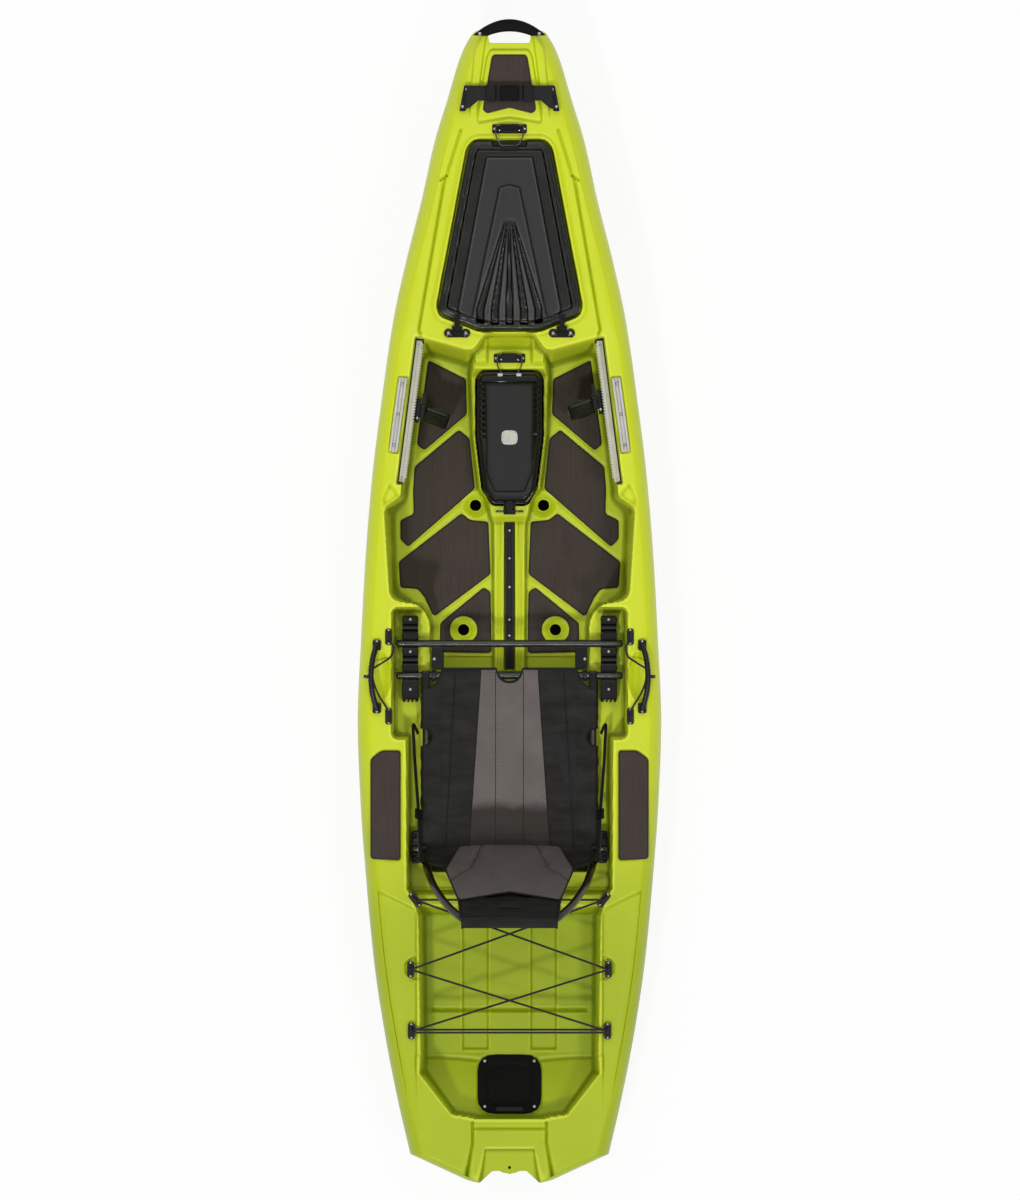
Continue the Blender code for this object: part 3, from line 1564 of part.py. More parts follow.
def build_lumbar_pad():
    """A crowned cushion with two sewn channels that draw its face in."""
    frame = empty("lumbar_frame", BACK_AXIS)
    bottom, top = 0.012, 0.300
    across_count, up_count = 14, 8
    front, rear = [], []
    for j in range(up_count + 1):
        v = j / up_count
        up = bottom + (top - bottom) * v
        half = 0.140 + 0.038 * math.sin(math.pi * min(v * 1.35, 1.0)) - 0.012 * v
        peak = -0.030 * v
        row_front, row_rear = [], []
        for i in range(across_count + 1):
            u = 2 * i / across_count - 1
            rise = up + peak * abs(u)
            crown = (1 - u**4) * (1 - (2 * v - 1) ** 4)
            channel = math.exp(-(((abs(u) - 0.45) / 0.07) ** 2))
            depth = 0.004 + 0.020 * crown**0.6 * (1 - 0.35 * channel)
            hollow = cloth_hollow(up) * max(1 - (half * u / back_half(up)) ** 2, 0.0)
            seat = TUBE_R + CLOTH + 2 * TOUCH + 0.0008 - hollow * 0.85
            row_front.append(back_point(half * u, rise, seat + depth))
            row_rear.append(back_point(half * u, rise, seat + 0.0005))
        front.append(row_front)
        rear.append(row_rear)
    bm = bmesh.new()
    top_grid = [[bm.verts.new(point) for point in row] for row in front]
    low_grid = [[bm.verts.new(point) for point in row] for row in rear]
    for grid in (top_grid, low_grid):
        for near, far in zip(grid, grid[1:]):
            for i in range(across_count):
                bm.faces.new((near[i], near[i + 1], far[i + 1], far[i]))
    for a, b in ((top_grid[0], low_grid[0]), (top_grid[-1], low_grid[-1])):
        for i in range(across_count):
            bm.faces.new((a[i], a[i + 1], b[i + 1], b[i]))
    for i in (0, -1):
        for j in range(up_count):
            bm.faces.new((top_grid[j][i], top_grid[j + 1][i], low_grid[j + 1][i], low_grid[j][i]))
    mesh_object("seat_lumbar_pad", bm, "grey_fabric", frame, smooth=True)


def build_recline_straps():
    """A webbing strap on each side, from the side rail up to the backrest's frame."""
    x = SIDE_X + TUBE_R + CLOTH + 3 * TOUCH
    end_x = SIDE_X - 0.0025 + TUBE_R + TOUCH
    path = [
        Vector((x, FRONT_BAR_Y - 0.150, BAR_Z + 0.002)),
        Vector((x, FRONT_BAR_Y - 0.300, BAR_Z + 0.020)),
        Vector((x, SEAT_BACK + 0.060, BAR_Z + 0.075)),
        BACK_AXIS + back_point(end_x, 0.110, 0.004),
    ]
    width, thick = 0.016, 0.0016
    rings = []
    for i, point in enumerate(path):
        ahead = path[min(i + 1, len(path) - 1)] - path[max(i - 1, 0)]
        side = Vector((0, -ahead.z, ahead.y)).normalized() * width / 2
        inner, outer = Vector((0, 0, 0)), Vector((thick, 0, 0))
        rings.append(
            [point + side + inner, point + side + outer, point - side + outer, point - side + inner]
        )
    strap = loft("recline_strap_right", rings, "webbing")
    buckle_at = path[2]
    buckle = box(
        "recline_buckle", (0.010, 0.040, 0.026), buckle_at + Vector((0.004, 0, 0)),
        rotation=(math.radians(-20), 0, 0),
    )
    rounded(buckle, 0.002)
    join(strap, buckle)
    mirrored(strap, "recline_strap_left", "webbing")


# Handles, lashings and the stern
EYE_RISE = 0.0007
CORD_R = 0.0025
CORD_STEP = 0.0005
CORD_LEAD = 0.0026


def pad_eye(name, location, yaw, parent=None):
    """A small plate with a loop on it."""
    base = box(
        name, (0.020, 0.046, 0.004), (*location[:2], location[2] + 0.002), parent=parent,
        rotation=(0, 0, yaw),
    )
    loop_points = []
    for k in range(6):
        angle = math.pi * k / 5
        loop_points.append((0, 0.013 * math.cos(angle), 0.003 + 0.012 * math.sin(angle)))
    loop = tube(name + "_loop", loop_points, 0.0035, None, None, 1)
    place(loop, location, (0, 0, yaw))
    return [base, loop]


def build_side_handles():
    deck = deck_z(HANDLE_Y)
    x = HANDLE_X
    span = 0.091
    path = [
        (x - 0.008, HANDLE_Y + span, deck + 0.010),
        (x + 0.003, HANDLE_Y + span * 0.55, deck + 0.022),
        (x + 0.008, HANDLE_Y, deck + 0.026),
        (x + 0.003, HANDLE_Y - span * 0.55, deck + 0.022),
        (x - 0.008, HANDLE_Y - span, deck + 0.010),
    ]
    handle = tube("side_handle_right", round_path(path, 0.025, 3), 0.009, "rubber", None, 3)
    feet = []
    for k in (1, -1):
        y = HANDLE_Y + k * (span - 0.004)
        foot_top = deck + 0.012
        foot_plate = box(
            f"handle_foot_{k}", (0.024, 0.030, foot_top - deck_z(y) - 0.0004),
            (x - 0.008, y, (foot_top + deck_z(y) + 0.0006) / 2),
        )
        feet.append(foot_plate)
    peg = rod("handle_peg", 0.005, 0.020, (x + 0.018, HANDLE_Y, deck + 0.026), axis="X", sides=10)
    join(handle, *feet, peg)
    mirrored(handle, "side_handle_left", "rubber")

    eye_x = across(0.335)
    eyes = []
    for k, y in ((1, HANDLE_Y + 0.110), (2, HANDLE_Y - 0.110)):
        eyes += pad_eye(f"side_eye_{k}", (eye_x, y, deck_z(y) + EYE_RISE), 0.0)
    cord_z = deck + 0.010
    route = [
        (eye_x, HANDLE_Y + 0.110, cord_z + 0.004),
        (eye_x - 0.004, HANDLE_Y + 0.062, cord_z),
        (x - 0.012, HANDLE_Y + 0.020, cord_z + 0.010),
        (x - 0.0045, HANDLE_Y, deck + 0.0225),
        (x - 0.012, HANDLE_Y - 0.020, cord_z + 0.010),
        (eye_x, HANDLE_Y - 0.110, cord_z + 0.004),
    ]
    cord = tube("side_bungee_right", round_path(route, 0.014, 2), 0.0022, "cord", None, 2)
    join(cord, *eyes)
    mirrored(cord, "side_bungee_left", "cord")


def build_tank_lashing():
    """Shock cord laced over the tank well in straight spans between six pad-eyes."""
    tank = TANK_BACK - TANK_FRONT
    front_y = TANK_FRONT + 0.045
    mid_y = TANK_FRONT + 0.265 * tank
    rear_y = TANK_FRONT + 0.570 * tank
    front_x, mid_x, rear_x = across(0.2615), across(0.274), across(0.272)
    eyes = []
    for s in (1, -1):
        yaw = s * math.radians(-38)
        eyes += pad_eye(f"eye_front_{s}", (s * front_x, front_y, deck_z(front_y) + EYE_RISE), yaw)
        eyes += pad_eye(f"eye_mid_{s}", (s * mid_x, mid_y, deck_z(mid_y) + EYE_RISE), 0.0)
        eyes += pad_eye(f"eye_rear_{s}", (s * rear_x, rear_y, deck_z(rear_y) + EYE_RISE), 0.0)

    lift = EYE_RISE + 0.0095
    lane = Vector((0, 0.004, 0))
    front, middle, rear = (
        [Vector((s * x, y, deck_z(y) + lift)) for s in (1, -1)]
        for x, y in ((front_x, front_y), (mid_x, mid_y), (rear_x, rear_y))
    )
    spans = [
        (rear[1] + lane, rear[0] + lane),
        (rear[0], middle[1]),
        (middle[1], front[0]),
        (front[0], front[1]),
        (front[1], middle[0]),
        (middle[0], rear[1]),
        (rear[1] - lane, rear[0] - lane),
    ]
    pieces = []
    for number, (here, there) in enumerate(spans):
        level = Vector((0, 0, number * CORD_STEP))
        lead = (there - here).normalized() * CORD_LEAD
        name, look = (f"tank_cord_{number}", None) if number else ("tankwell_bungee", "cord")
        ends = [here - lead + level, there + lead + level]
        pieces.append(tube(name, ends, CORD_R, look, None, 1))
    join(pieces[0], *pieces[1:], *eyes)


def build_stern():
    size = PLATE_SIZE / 2
    line = [(size, size), (size, -size), (-size, -size), (-size, size)]
    frame = empty(
        "stern_plate_frame", (0, PLATE_MIDDLE, plate_height() - 0.004), (-PLATE_SLOPE, 0, 0),
    )
    stern = plate("stern_plate", fillet(line, 0.022), TOUCH, 0.006, "black_plastic", frame)
    rim = plate(
        "stern_plate_dish", fillet([(x * 0.72, y * 0.72) for x, y in line], 0.018), 0.0035, 0.030,
        parent=frame,
    )
    rounded(cut(stern, rim), 0.001)

    profile = [
        (0.0, 0.016), (0.0085, 0.016), (0.0100, 0.014), (0.0100, 0.008), (0.0165, 0.007),
        (0.0175, 0.005), (0.0175, 0.0003), (0.0, 0.0003),
    ]
    turned("drain_plug", profile, "black_plastic", None, DRAIN, (math.pi / 2, 0, 0), steps=20)


build_hull()
build_bow()
build_hatch()
build_pads()
build_tracks()
build_rails()
build_foot_braces()
build_console()
build_seat_mounts()
build_seat_frame()
build_front_leg()
build_back_frame()
build_seat_cloth()
build_back_cloth()
build_lumbar_pad()
build_recline_straps()
build_side_handles()
build_tank_lashing()
build_stern()
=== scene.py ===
"""Looks of the fishing kayak: moulded hull, foam, cloth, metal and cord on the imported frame.

Metres, +Z up, +Y to the bow and +X to starboard. Every new surface is a function of two
parameters worked out on a grid with numpy, and rides on the body of the node it stands for.
"""

import json
import math

import bmesh
import bpy
import numpy as np
from mathutils import Matrix, Vector

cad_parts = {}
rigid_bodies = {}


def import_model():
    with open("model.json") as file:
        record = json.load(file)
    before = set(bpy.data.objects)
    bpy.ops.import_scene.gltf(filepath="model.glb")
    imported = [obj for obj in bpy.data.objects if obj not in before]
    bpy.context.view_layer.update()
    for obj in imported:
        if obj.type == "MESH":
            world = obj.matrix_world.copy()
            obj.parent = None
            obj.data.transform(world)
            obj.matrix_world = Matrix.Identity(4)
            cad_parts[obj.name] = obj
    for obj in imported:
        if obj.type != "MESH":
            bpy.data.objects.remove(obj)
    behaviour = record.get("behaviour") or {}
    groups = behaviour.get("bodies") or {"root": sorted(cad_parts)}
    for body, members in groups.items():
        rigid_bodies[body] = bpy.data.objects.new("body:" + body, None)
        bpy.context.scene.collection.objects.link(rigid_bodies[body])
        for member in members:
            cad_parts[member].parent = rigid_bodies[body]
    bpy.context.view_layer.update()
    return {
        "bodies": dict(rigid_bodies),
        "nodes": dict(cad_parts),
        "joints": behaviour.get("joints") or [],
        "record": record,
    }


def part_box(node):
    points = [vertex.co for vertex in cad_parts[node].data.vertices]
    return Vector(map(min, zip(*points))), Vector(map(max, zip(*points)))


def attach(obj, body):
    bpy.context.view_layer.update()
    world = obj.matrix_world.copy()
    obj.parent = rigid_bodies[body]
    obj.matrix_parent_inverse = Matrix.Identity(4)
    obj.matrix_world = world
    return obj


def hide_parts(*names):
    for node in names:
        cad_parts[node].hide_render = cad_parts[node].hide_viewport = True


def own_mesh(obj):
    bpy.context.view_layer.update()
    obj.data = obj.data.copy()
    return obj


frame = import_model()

BODY_OF = {n: b for b, ns in frame["record"]["behaviour"]["bodies"].items() for n in ns}
SIDES = {"right": 1, "left": -1}


# Shader arithmetic
class Value:
    """A shader socket that can be used in expressions. Each operator adds a Math node."""

    def __init__(self, look, socket):
        self.look = look
        self.socket = socket

    def maths(self, operation, *values):
        return self.look.node("ShaderNodeMath", {"operation": operation}, values)

    def __add__(self, other):
        return self.maths("ADD", self, other)

    def __sub__(self, other):
        return self.maths("SUBTRACT", self, other)

    def __rsub__(self, other):
        return self.maths("SUBTRACT", other, self)

    def __mul__(self, other):
        return self.maths("MULTIPLY", self, other)

    def __truediv__(self, other):
        return self.maths("DIVIDE", self, other)

    def __rtruediv__(self, other):
        return self.maths("DIVIDE", other, self)

    __radd__ = __add__
    __rmul__ = __mul__

    def sin(self):
        return self.maths("SINE", self)

    def abs(self):
        return self.maths("ABSOLUTE", self)

    def clip(self):
        return self.look.node("ShaderNodeClamp", {}, [self])

    def step(self, low, high):
        """0 below low and 1 above high, smooth between them."""
        made = {"Value": self, "From Min": low, "From Max": high}
        return self.look.node("ShaderNodeMapRange", {"interpolation_type": "SMOOTHSTEP"}, made)


class Look:
    """A material under construction, with one method that adds any node."""

    def __init__(self, name, colour, roughness=0.5, **fixed):
        self.material = bpy.data.materials.new(name)
        self.material.use_nodes = True
        self.tree = self.material.node_tree
        self.shader = self.tree.nodes["Principled BSDF"]
        self.shader.inputs["Base Color"].default_value = (*colour, 1)
        self.shader.inputs["Roughness"].default_value = roughness
        for key, value in fixed.items():
            self.shader.inputs[key.replace("_", " ")].default_value = value

    def node(self, kind, settings, inputs, output=0):
        made = self.tree.nodes.new(kind)
        for key, value in settings.items():
            setattr(made, key, value)
        for key, value in inputs.items() if isinstance(inputs, dict) else enumerate(inputs):
            if isinstance(value, Value):
                self.tree.links.new(value.socket, made.inputs[key])
            else:
                made.inputs[key].default_value = value
        return Value(self, made.outputs[output])

    def set(self, key, value):
        self.tree.links.new(value.socket, self.shader.inputs[key])

    def where(self, uv=False):
        """Object coordinates, or the piece's own UV map, which is in metres."""
        return self.node("ShaderNodeTexCoord", {}, {}, 2 if uv else 3)

    def axes(self, vector):
        return [self.node("ShaderNodeSeparateXYZ", {}, [vector], i) for i in range(3)]

    def scaled(self, vector, scale):
        return self.node("ShaderNodeMapping", {}, {"Vector": vector, "Scale": scale})

    def noise(self, vector, scale, detail=2.0, rough=0.5):
        made = {"Vector": vector, "Scale": scale, "Detail": detail, "Roughness": rough}
        return self.node("ShaderNodeTexNoise", {}, made)

    def cells(self, vector, scale):
        return self.node("ShaderNodeTexVoronoi", {}, {"Vector": vector, "Scale": scale})

    def mix(self, factor, low, high):
        low, high = ((*c, 1) if isinstance(c, tuple) else c for c in (low, high))
        made = {0: factor, 6: low, 7: high}
        return self.node("ShaderNodeMix", {"data_type": "RGBA"}, made, 2)

    def attribute(self, name):
        return self.node("ShaderNodeAttribute", {"attribute_name": name}, {}, 2)

    def maths_max(self, first, second):
        return self.node("ShaderNodeMath", {"operation": "MAXIMUM"}, [first, second])

    def bump(self, height, distance, strength=1.0):
        made = {"Strength": strength, "Distance": distance, "Height": height}
        self.set("Normal", self.node("ShaderNodeBump", {}, made))

    def slot_for(self, name):
        self.slot = name
        return self


def grey(tone):
    """A colour without hue."""
    return tone, tone, tone


def shade(colour, factor):
    """The colour times a factor."""
    return tuple(c * factor for c in colour)


def painted_shade_and_highlight(look, tone, dark, light, foot, ridge):
    """Darkens the feet of a relief as painted shade and lightens its edges as a painted highlight, by its
    fold attribute.
    """
    fold = look.attribute("fold")
    tone = look.mix(fold.step(0.08, 1.0) * foot, tone, dark)
    return look.mix((fold * -1).step(0.08, 1.0) * ridge, tone, light)


def lime_look():
    """Rotomoulded plastic: faint cloudiness, a deeper tone towards the stern, painted shade low down,
    orange peel.
    """
    look = Look("hull_lime", (0.53, 0.62, 0.03), 0.4, Specular_IOR_Level=0.3)
    place = look.where()
    _, y, z = look.axes(place)
    base = (0.615, 0.712, 0.014)
    deep = (0.3, 0.395, 0.002)
    aft = (y * -1).step(0.25, 1.05)
    cloud = look.noise(place, 5.0, 3.0)
    speck = look.noise(place, 420.0, 2.0)
    # Painted shade: surfaces lower down, in the wells, mix towards the deep tone.
    low = (z * -1).step(-0.3, -0.09)
    tone = look.mix((aft * 0.72 + low * 0.3 + (cloud - 0.5) * 0.3).clip(), base, deep)
    tone = look.mix((speck - 0.5) * 0.1 + 0.05, tone, (0.7, 0.78, 0.08))
    # Painted shade in the hollows and a painted highlight on the edges, also standing for a little dirt and
    # wear.
    tone = painted_shade_and_highlight(look, tone, (0.17, 0.24, 0.001), (0.8, 0.88, 0.07), 0.62, 0.42)
    look.set("Base Color", tone)
    look.set("Roughness", 0.34 + cloud * 0.12 + speck * 0.05)
    peel = look.noise(place, 190.0, 2.0)
    look.bump(peel + look.noise(place, 26.0, 1.0) * 2.0, 0.00035, 0.35)
    return look.slot_for("hull_plastic")


def foam_look():
    """Brushed foam sheet: fine lines along the boat over a warm grey."""
    look = Look("foam_brushed", (0.056, 0.044, 0.038), 0.85, Specular_IOR_Level=0.15)
    place = look.where()
    lines = look.noise(look.scaled(place, (330, 9, 9)), 1.0, 4.0, 0.75)
    across = look.noise(look.scaled(place, (10, 420, 10)), 1.0, 2.0)
    cloud = look.noise(place, 9.0, 2.0)
    tone = lines * 0.75 + across * 0.18 + cloud * 0.22 - 0.1
    look.set("Base Color", look.mix(tone.clip(), (0.024, 0.017, 0.015), (0.094, 0.074, 0.066)))
    look.set("Roughness", 0.74 + lines * 0.2)
    look.bump(lines + across * 0.4, 0.0006, 0.6)
    return look.slot_for("foam_pad")


def foam_edge_look():
    """The pressed, darker edge that runs round each foam sheet."""
    look = Look("foam_edge", (0.022, 0.017, 0.015), 0.8)
    place = look.where()
    grain = look.noise(place, 800.0, 2.0)
    look.set("Base Color", look.mix(grain, (0.014, 0.011, 0.01), (0.03, 0.024, 0.021)))
    look.set("Roughness", 0.7 + grain * 0.2)
    look.bump(grain, 0.0003, 0.4)
    return look.slot_for("foam_pad")


def grained_look(name, slot, low, high, scale, roughness=0.42, depth=0.0003, gleam=0.3, folds=False):
    """Moulded plastic, rubber or powder coat: fine grain, handled patches a bit glossier; folds adds
    painted shade and highlights.
    """
    look = Look(name, low, roughness, Specular_IOR_Level=gleam)
    place = look.where()
    grain = look.cells(place, scale)
    wear_and_shade = look.noise(place, 14.0, 4.0)
    tone = look.mix((grain * 0.6 + wear_and_shade * 0.5 - 0.1).clip(), low, high)
    # With folds, painted shade in the feet of reliefs and painted highlights on their edges.
    if folds:
        tone = painted_shade_and_highlight(look, tone, shade(low, 0.3), shade(high, 3.6), 0.85, 0.6)
    look.set("Base Color", tone)
    look.set("Roughness", roughness - 0.06 + wear_and_shade * 0.14)
    look.bump(grain + look.noise(place, scale * 2.3) * 0.5, depth, 0.5)
    return look.slot_for(slot)


def brushed_look(name, slot, tone, roughness, along=1):
    """Extruded or drawn metal: long fine lines, smudges and a soft sheen."""
    look = Look(name, tone, roughness, Metallic=0.9)
    place = look.where()
    scale = [700.0, 700.0, 700.0]
    scale[along] = 12.0
    lines = look.noise(look.scaled(place, scale), 1.0, 3.0, 0.6)
    smudge = look.noise(place, 22.0, 3.0)
    mixed = (lines * 0.7 + smudge * 0.5 - 0.1).clip()
    look.set("Base Color", look.mix(mixed, shade(tone, 0.72), shade(tone, 1.18)))
    look.set("Roughness", roughness - 0.08 + lines * 0.12 + smudge * 0.1)
    look.bump(lines, 0.0002, 0.3)
    return look.slot_for(slot)


def mesh_cloth_look():
    """Black mesh cloth: an open weave of warp and weft, with lighter blotches and long streaks at random.
    """
    look = Look("mesh_cloth", (0.014, 0.014, 0.015), 0.85, Specular_IOR_Level=0.25)
    place = look.where(uv=True)
    u, v, _ = look.axes(place)
    warp = (u * (2 * math.pi / 0.0022)).sin()
    weft = (v * (2 * math.pi / 0.0022)).sin()
    weave = (warp * weft) * 0.5 + 0.5
    blotches = look.noise(place, 16.0, 4.0)
    fibre = look.noise(look.scaled(place, (500, 1800, 1)), 1.0, 2.0)
    streak = look.noise(look.scaled(place, (9, 34, 1)), 1.0, 3.0, 0.6)
    tone = weave * 0.3 + blotches * 0.45 + fibre * 0.3 + (streak - 0.5) * 0.9 - 0.22
    look.set("Base Color", look.mix(tone.clip(), grey(0.0034), (0.041, 0.039, 0.036)))
    look.set("Roughness", 0.6 + weave * 0.2)
    look.bump(weave + fibre * 0.4, 0.0005, 0.7)
    return look.slot_for("black_fabric")


def chevron_look(name, low, high, shadow_from=None):
    """Grey cloth with small chevrons across its rows, and if asked a darker rear end, painted as the
    backrest's shadow.
    """
    look = Look(name, high, 0.9, Specular_IOR_Level=0.15)
    place = look.where(uv=True)
    u, v, _ = look.axes(place)
    zig = look.node("ShaderNodeMath", {"operation": "PINGPONG"}, [u, 0.0055])
    rows = ((v + zig * 0.9) * (2 * math.pi / 0.0062)).sin() * 0.5 + 0.5
    yarn = (u * (2 * math.pi / 0.0013)).sin() * 0.5 + 0.5
    fibre = look.noise(look.scaled(place, (900, 900, 1)), 1.0, 3.0)
    cloud = look.noise(place, 11.0, 3.0)
    tone = rows * 0.5 + yarn * 0.12 + fibre * 0.35 + cloud * 0.35 - 0.2
    colour = look.mix(tone.clip(), low, high)
    if shadow_from is not None:
        # Painted shadow of the backrest over the rear end of the strip, made ragged by the cloud noise.
        _, y, _ = look.axes(look.where())
        wear_and_shade = (y * -1 + cloud * 0.05).step(shadow_from, shadow_from + 0.035)
        colour = look.mix(wear_and_shade * 0.78, colour, (0.016, 0.014, 0.01))
    look.set("Base Color", colour)
    look.set("Roughness", 0.8 + fibre * 0.15)
    look.bump(rows + yarn * 0.3 + fibre * 0.4, 0.0007, 0.8)
    return look.slot_for("grey_fabric")


def braid_look(name, slot, pitch=0.005, turns=3.0, low=grey(0.008), high=grey(0.05)):
    """Braided cord or webbing: two sets of slanting strands over the piece's own UV map."""
    look = Look(name, low, 0.7, Specular_IOR_Level=0.2)
    place = look.where(uv=True)
    u, v, _ = look.axes(place)
    left = ((u * turns + v / pitch) * (2 * math.pi)).sin()
    right = ((u * turns - v / pitch) * (2 * math.pi)).sin()
    strands = (left * right) * 0.5 + 0.5
    cloud = look.noise(look.where(), 60.0, 2.0)
    look.set("Base Color", look.mix((strands * 0.7 + cloud * 0.4 - 0.1).clip(), low, high))
    look.set("Roughness", 0.55 + strands * 0.25)
    look.bump(strands, 0.0004, 0.8)
    return look.slot_for(slot)


LIME = lime_look()
FOAM = foam_look()
FOAM_EDGE = foam_edge_look()
BLACK = grained_look("black_moulded", "black_plastic", grey(0.006), grey(0.018), 900)
GLOSS = grained_look(
    "black_glossy", "black_plastic", grey(0.003), grey(0.009), 500, 0.14, 0.0001, gleam=0.38,
)
# LID and BORDER carry painted shade in the feet of reliefs and painted highlights on their edges.
LID = grained_look(
    "lid_grained", "lid_plastic", grey(0.007), (0.021, 0.021, 0.02), 420, 0.36, 0.0008, folds=True,
)
BORDER = grained_look("lid_border", "lid_plastic", (0.003, 0.004, 0.002), (0.008, 0.01, 0.006), 620, 0.2,
                      gleam=0.45, folds=True)
MATT = grained_look("lid_matt", "lid_plastic", grey(0.005), grey(0.014), 620, 0.5)
COAT = grained_look("black_coat", "black_metal", grey(0.006), grey(0.024), 1300, 0.2, gleam=0.7)
SATIN = grained_look("black_satin", "black_metal", grey(0.003), grey(0.01), 1300, 0.45)
GRIP = grained_look("black_dull", "black_plastic", grey(0.002), grey(0.007), 900, 0.6, gleam=0.1)
RUBBER = grained_look("rubber_grained", "rubber", grey(0.005), grey(0.014), 500, 0.34)
RAIL = brushed_look("rail_brushed", "bare_metal", (0.5, 0.495, 0.42), 0.42)
TRACK = brushed_look("track_brushed", "bare_metal", (0.49, 0.485, 0.455), 0.38)
WIRE = brushed_look("wire_dark", "bare_metal", grey(0.1), 0.25, along=0)
STEEL = brushed_look("steel_polished", "bare_metal", grey(0.66), 0.22, along=0)
MESH = mesh_cloth_look()
# The seat strip is painted with the backrest's shadow aft of 0.572 m behind the origin.
CHEVRON = chevron_look("chevron_grey", (0.052, 0.045, 0.043), (0.262, 0.231, 0.219), shadow_from=0.572)
LUMBAR = chevron_look("lumbar_grey", (0.045, 0.039, 0.037), (0.2, 0.173, 0.165))
CORD = braid_look("cord_braid", "cord", 0.004, 3.0)
WEB = braid_look("webbing_weave", "webbing", 0.0032, 260.0, grey(0.006), (0.03, 0.03, 0.031))
PIPING = braid_look("piping_weave", "webbing", 0.003, 2.0, grey(0.005), grey(0.022))


# Grids and meshes
def make(name, verts, faces, look, uv=None, sharp=45, weld=0.0, marks=None):
    """A mesh object at the origin from whole arrays of points and quads, or lists of faces."""
    mesh = bpy.data.meshes.new(name)
    verts = np.asarray(verts, np.float32).reshape(-1, 3)
    if isinstance(faces, np.ndarray):
        count = len(faces)
        mesh.vertices.add(len(verts))
        mesh.vertices.foreach_set("co", verts.ravel())
        mesh.loops.add(4 * count)
        mesh.loops.foreach_set("vertex_index", faces.astype(np.int32).ravel())
        mesh.polygons.add(count)
        mesh.polygons.foreach_set("loop_start", np.arange(0, 4 * count, 4, dtype=np.int32))
        mesh.update(calc_edges=True)
    else:
        mesh.from_pydata(verts.tolist(), [], faces)
    if uv is not None:
        layer = mesh.uv_layers.new(name="cloth")
        index = np.empty(len(mesh.loops), np.int32)
        mesh.loops.foreach_get("vertex_index", index)
        layer.data.foreach_set("uv", np.asarray(uv, np.float32).reshape(-1, 2)[index].ravel())
    if marks is not None:
        layer = mesh.attributes.new("fold", "FLOAT", "POINT")
        layer.data.foreach_set("value", np.asarray(marks, np.float32).ravel())
    if weld:
        bm = bmesh.new()
        bm.from_mesh(mesh)
        bmesh.ops.remove_doubles(bm, verts=bm.verts, dist=weld)
        bmesh.ops.dissolve_degenerate(bm, edges=bm.edges, dist=1e-7)
        bm.to_mesh(mesh)
        bm.free()
    mesh.shade_smooth()
    mesh.set_sharp_from_angle(angle=math.radians(sharp))
    obj = bpy.data.objects.new(name, mesh)
    bpy.context.scene.collection.objects.link(obj)
    mesh.materials.append(look.material)
    obj["finish"] = look.slot
    return obj


def read(items, name, width=3):
    """One value of every vertex or face of a mesh, as an array."""
    values = np.empty(width * len(items), np.float32)
    items.foreach_get(name, values)
    return values.reshape(-1, width)


def quads(rows, columns, around=False, closed=False):
    """Corner indices of a grid's quads. Around joins its last column to its first."""
    index = np.arange(rows * columns).reshape(rows, columns)
    if around:
        index = np.concatenate([index, index[:, :1]], axis=1)
    if closed:
        index = np.concatenate([index, index[:1]], axis=0)
    return np.stack(
        [index[:-1, :-1], index[:-1, 1:], index[1:, 1:], index[1:, :-1]], axis=-1,
    ).reshape(-1, 4)


def capped(rows, count):
    """Faces of a run of rings: quads round it and a polygon at each end."""
    faces = quads(rows, count, around=True).tolist()
    faces.append(list(range(count)))
    faces.append(list(range((rows - 1) * count, rows * count))[::-1])
    return faces


def two_layers(rows, columns):
    """Faces of a closed sheet: a grid, the same grid behind it turned over, and the walls between."""
    index = np.arange(rows * columns).reshape(rows, columns)
    loop = np.concatenate([index[0], index[1:, -1], index[-1, -2::-1], index[-2:0:-1, 0]])
    after, shift = np.roll(loop, -1), rows * columns
    walls = np.stack([loop, after, after + shift, loop + shift], -1)
    return np.concatenate([quads(rows, columns), quads(rows, columns)[:, ::-1] + shift, walls])


def outward(obj):
    """Recalculates the normals of a closed piece."""
    bm = bmesh.new()
    bm.from_mesh(obj.data)
    bmesh.ops.recalc_face_normals(bm, faces=bm.faces)
    bm.to_mesh(obj.data)
    bm.free()
    return obj


def wear(obj, node=None, body=None, replaces=True):
    """The piece rides on its node's body; when it replaces the node, the node is hidden."""
    if node and replaces:
        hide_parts(node)
    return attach(obj, body or BODY_OF[node])


def merged(name, parts):
    """Several closed shells as one piece. Each keeps its own materials."""
    bm = bmesh.new()
    looks = []
    for part in parts:
        start = len(bm.faces)
        bm.from_mesh(part.data)
        bm.faces.ensure_lookup_table()
        looks += [used for used in part.data.materials if used not in looks]
        table = [looks.index(used) for used in part.data.materials]
        if table != list(range(len(table))):
            for face in bm.faces[start:]:
                face.material_index = table[face.material_index]
    mesh = bpy.data.meshes.new(name)
    bm.to_mesh(mesh)
    bm.free()
    obj = bpy.data.objects.new(name, mesh)
    bpy.context.scene.collection.objects.link(obj)
    for used in looks:
        mesh.materials.append(used)
    obj["finish"] = parts[0]["finish"]
    for part in parts:
        bpy.data.objects.remove(part)
    return obj


def spread(*axes):
    """Arrays broadcast against each other and stacked as the last axis."""
    return np.stack(np.broadcast_arrays(*axes), -1)


def moved(points, matrix):
    """Points of a local frame in the world: rotated and shifted as whole arrays."""
    turn = np.array(matrix.to_3x3())
    return np.asarray(points, float) @ turn.T + np.array(matrix.translation)


def placed(location, angle, axis):
    """A frame at a place, turned about one axis."""
    return Matrix.Translation(location) @ Matrix.Rotation(angle, 4, axis)


def up_of(matrix):
    """The world direction of a frame's own up."""
    return matrix.to_3x3() @ Vector((0, 0, 1))


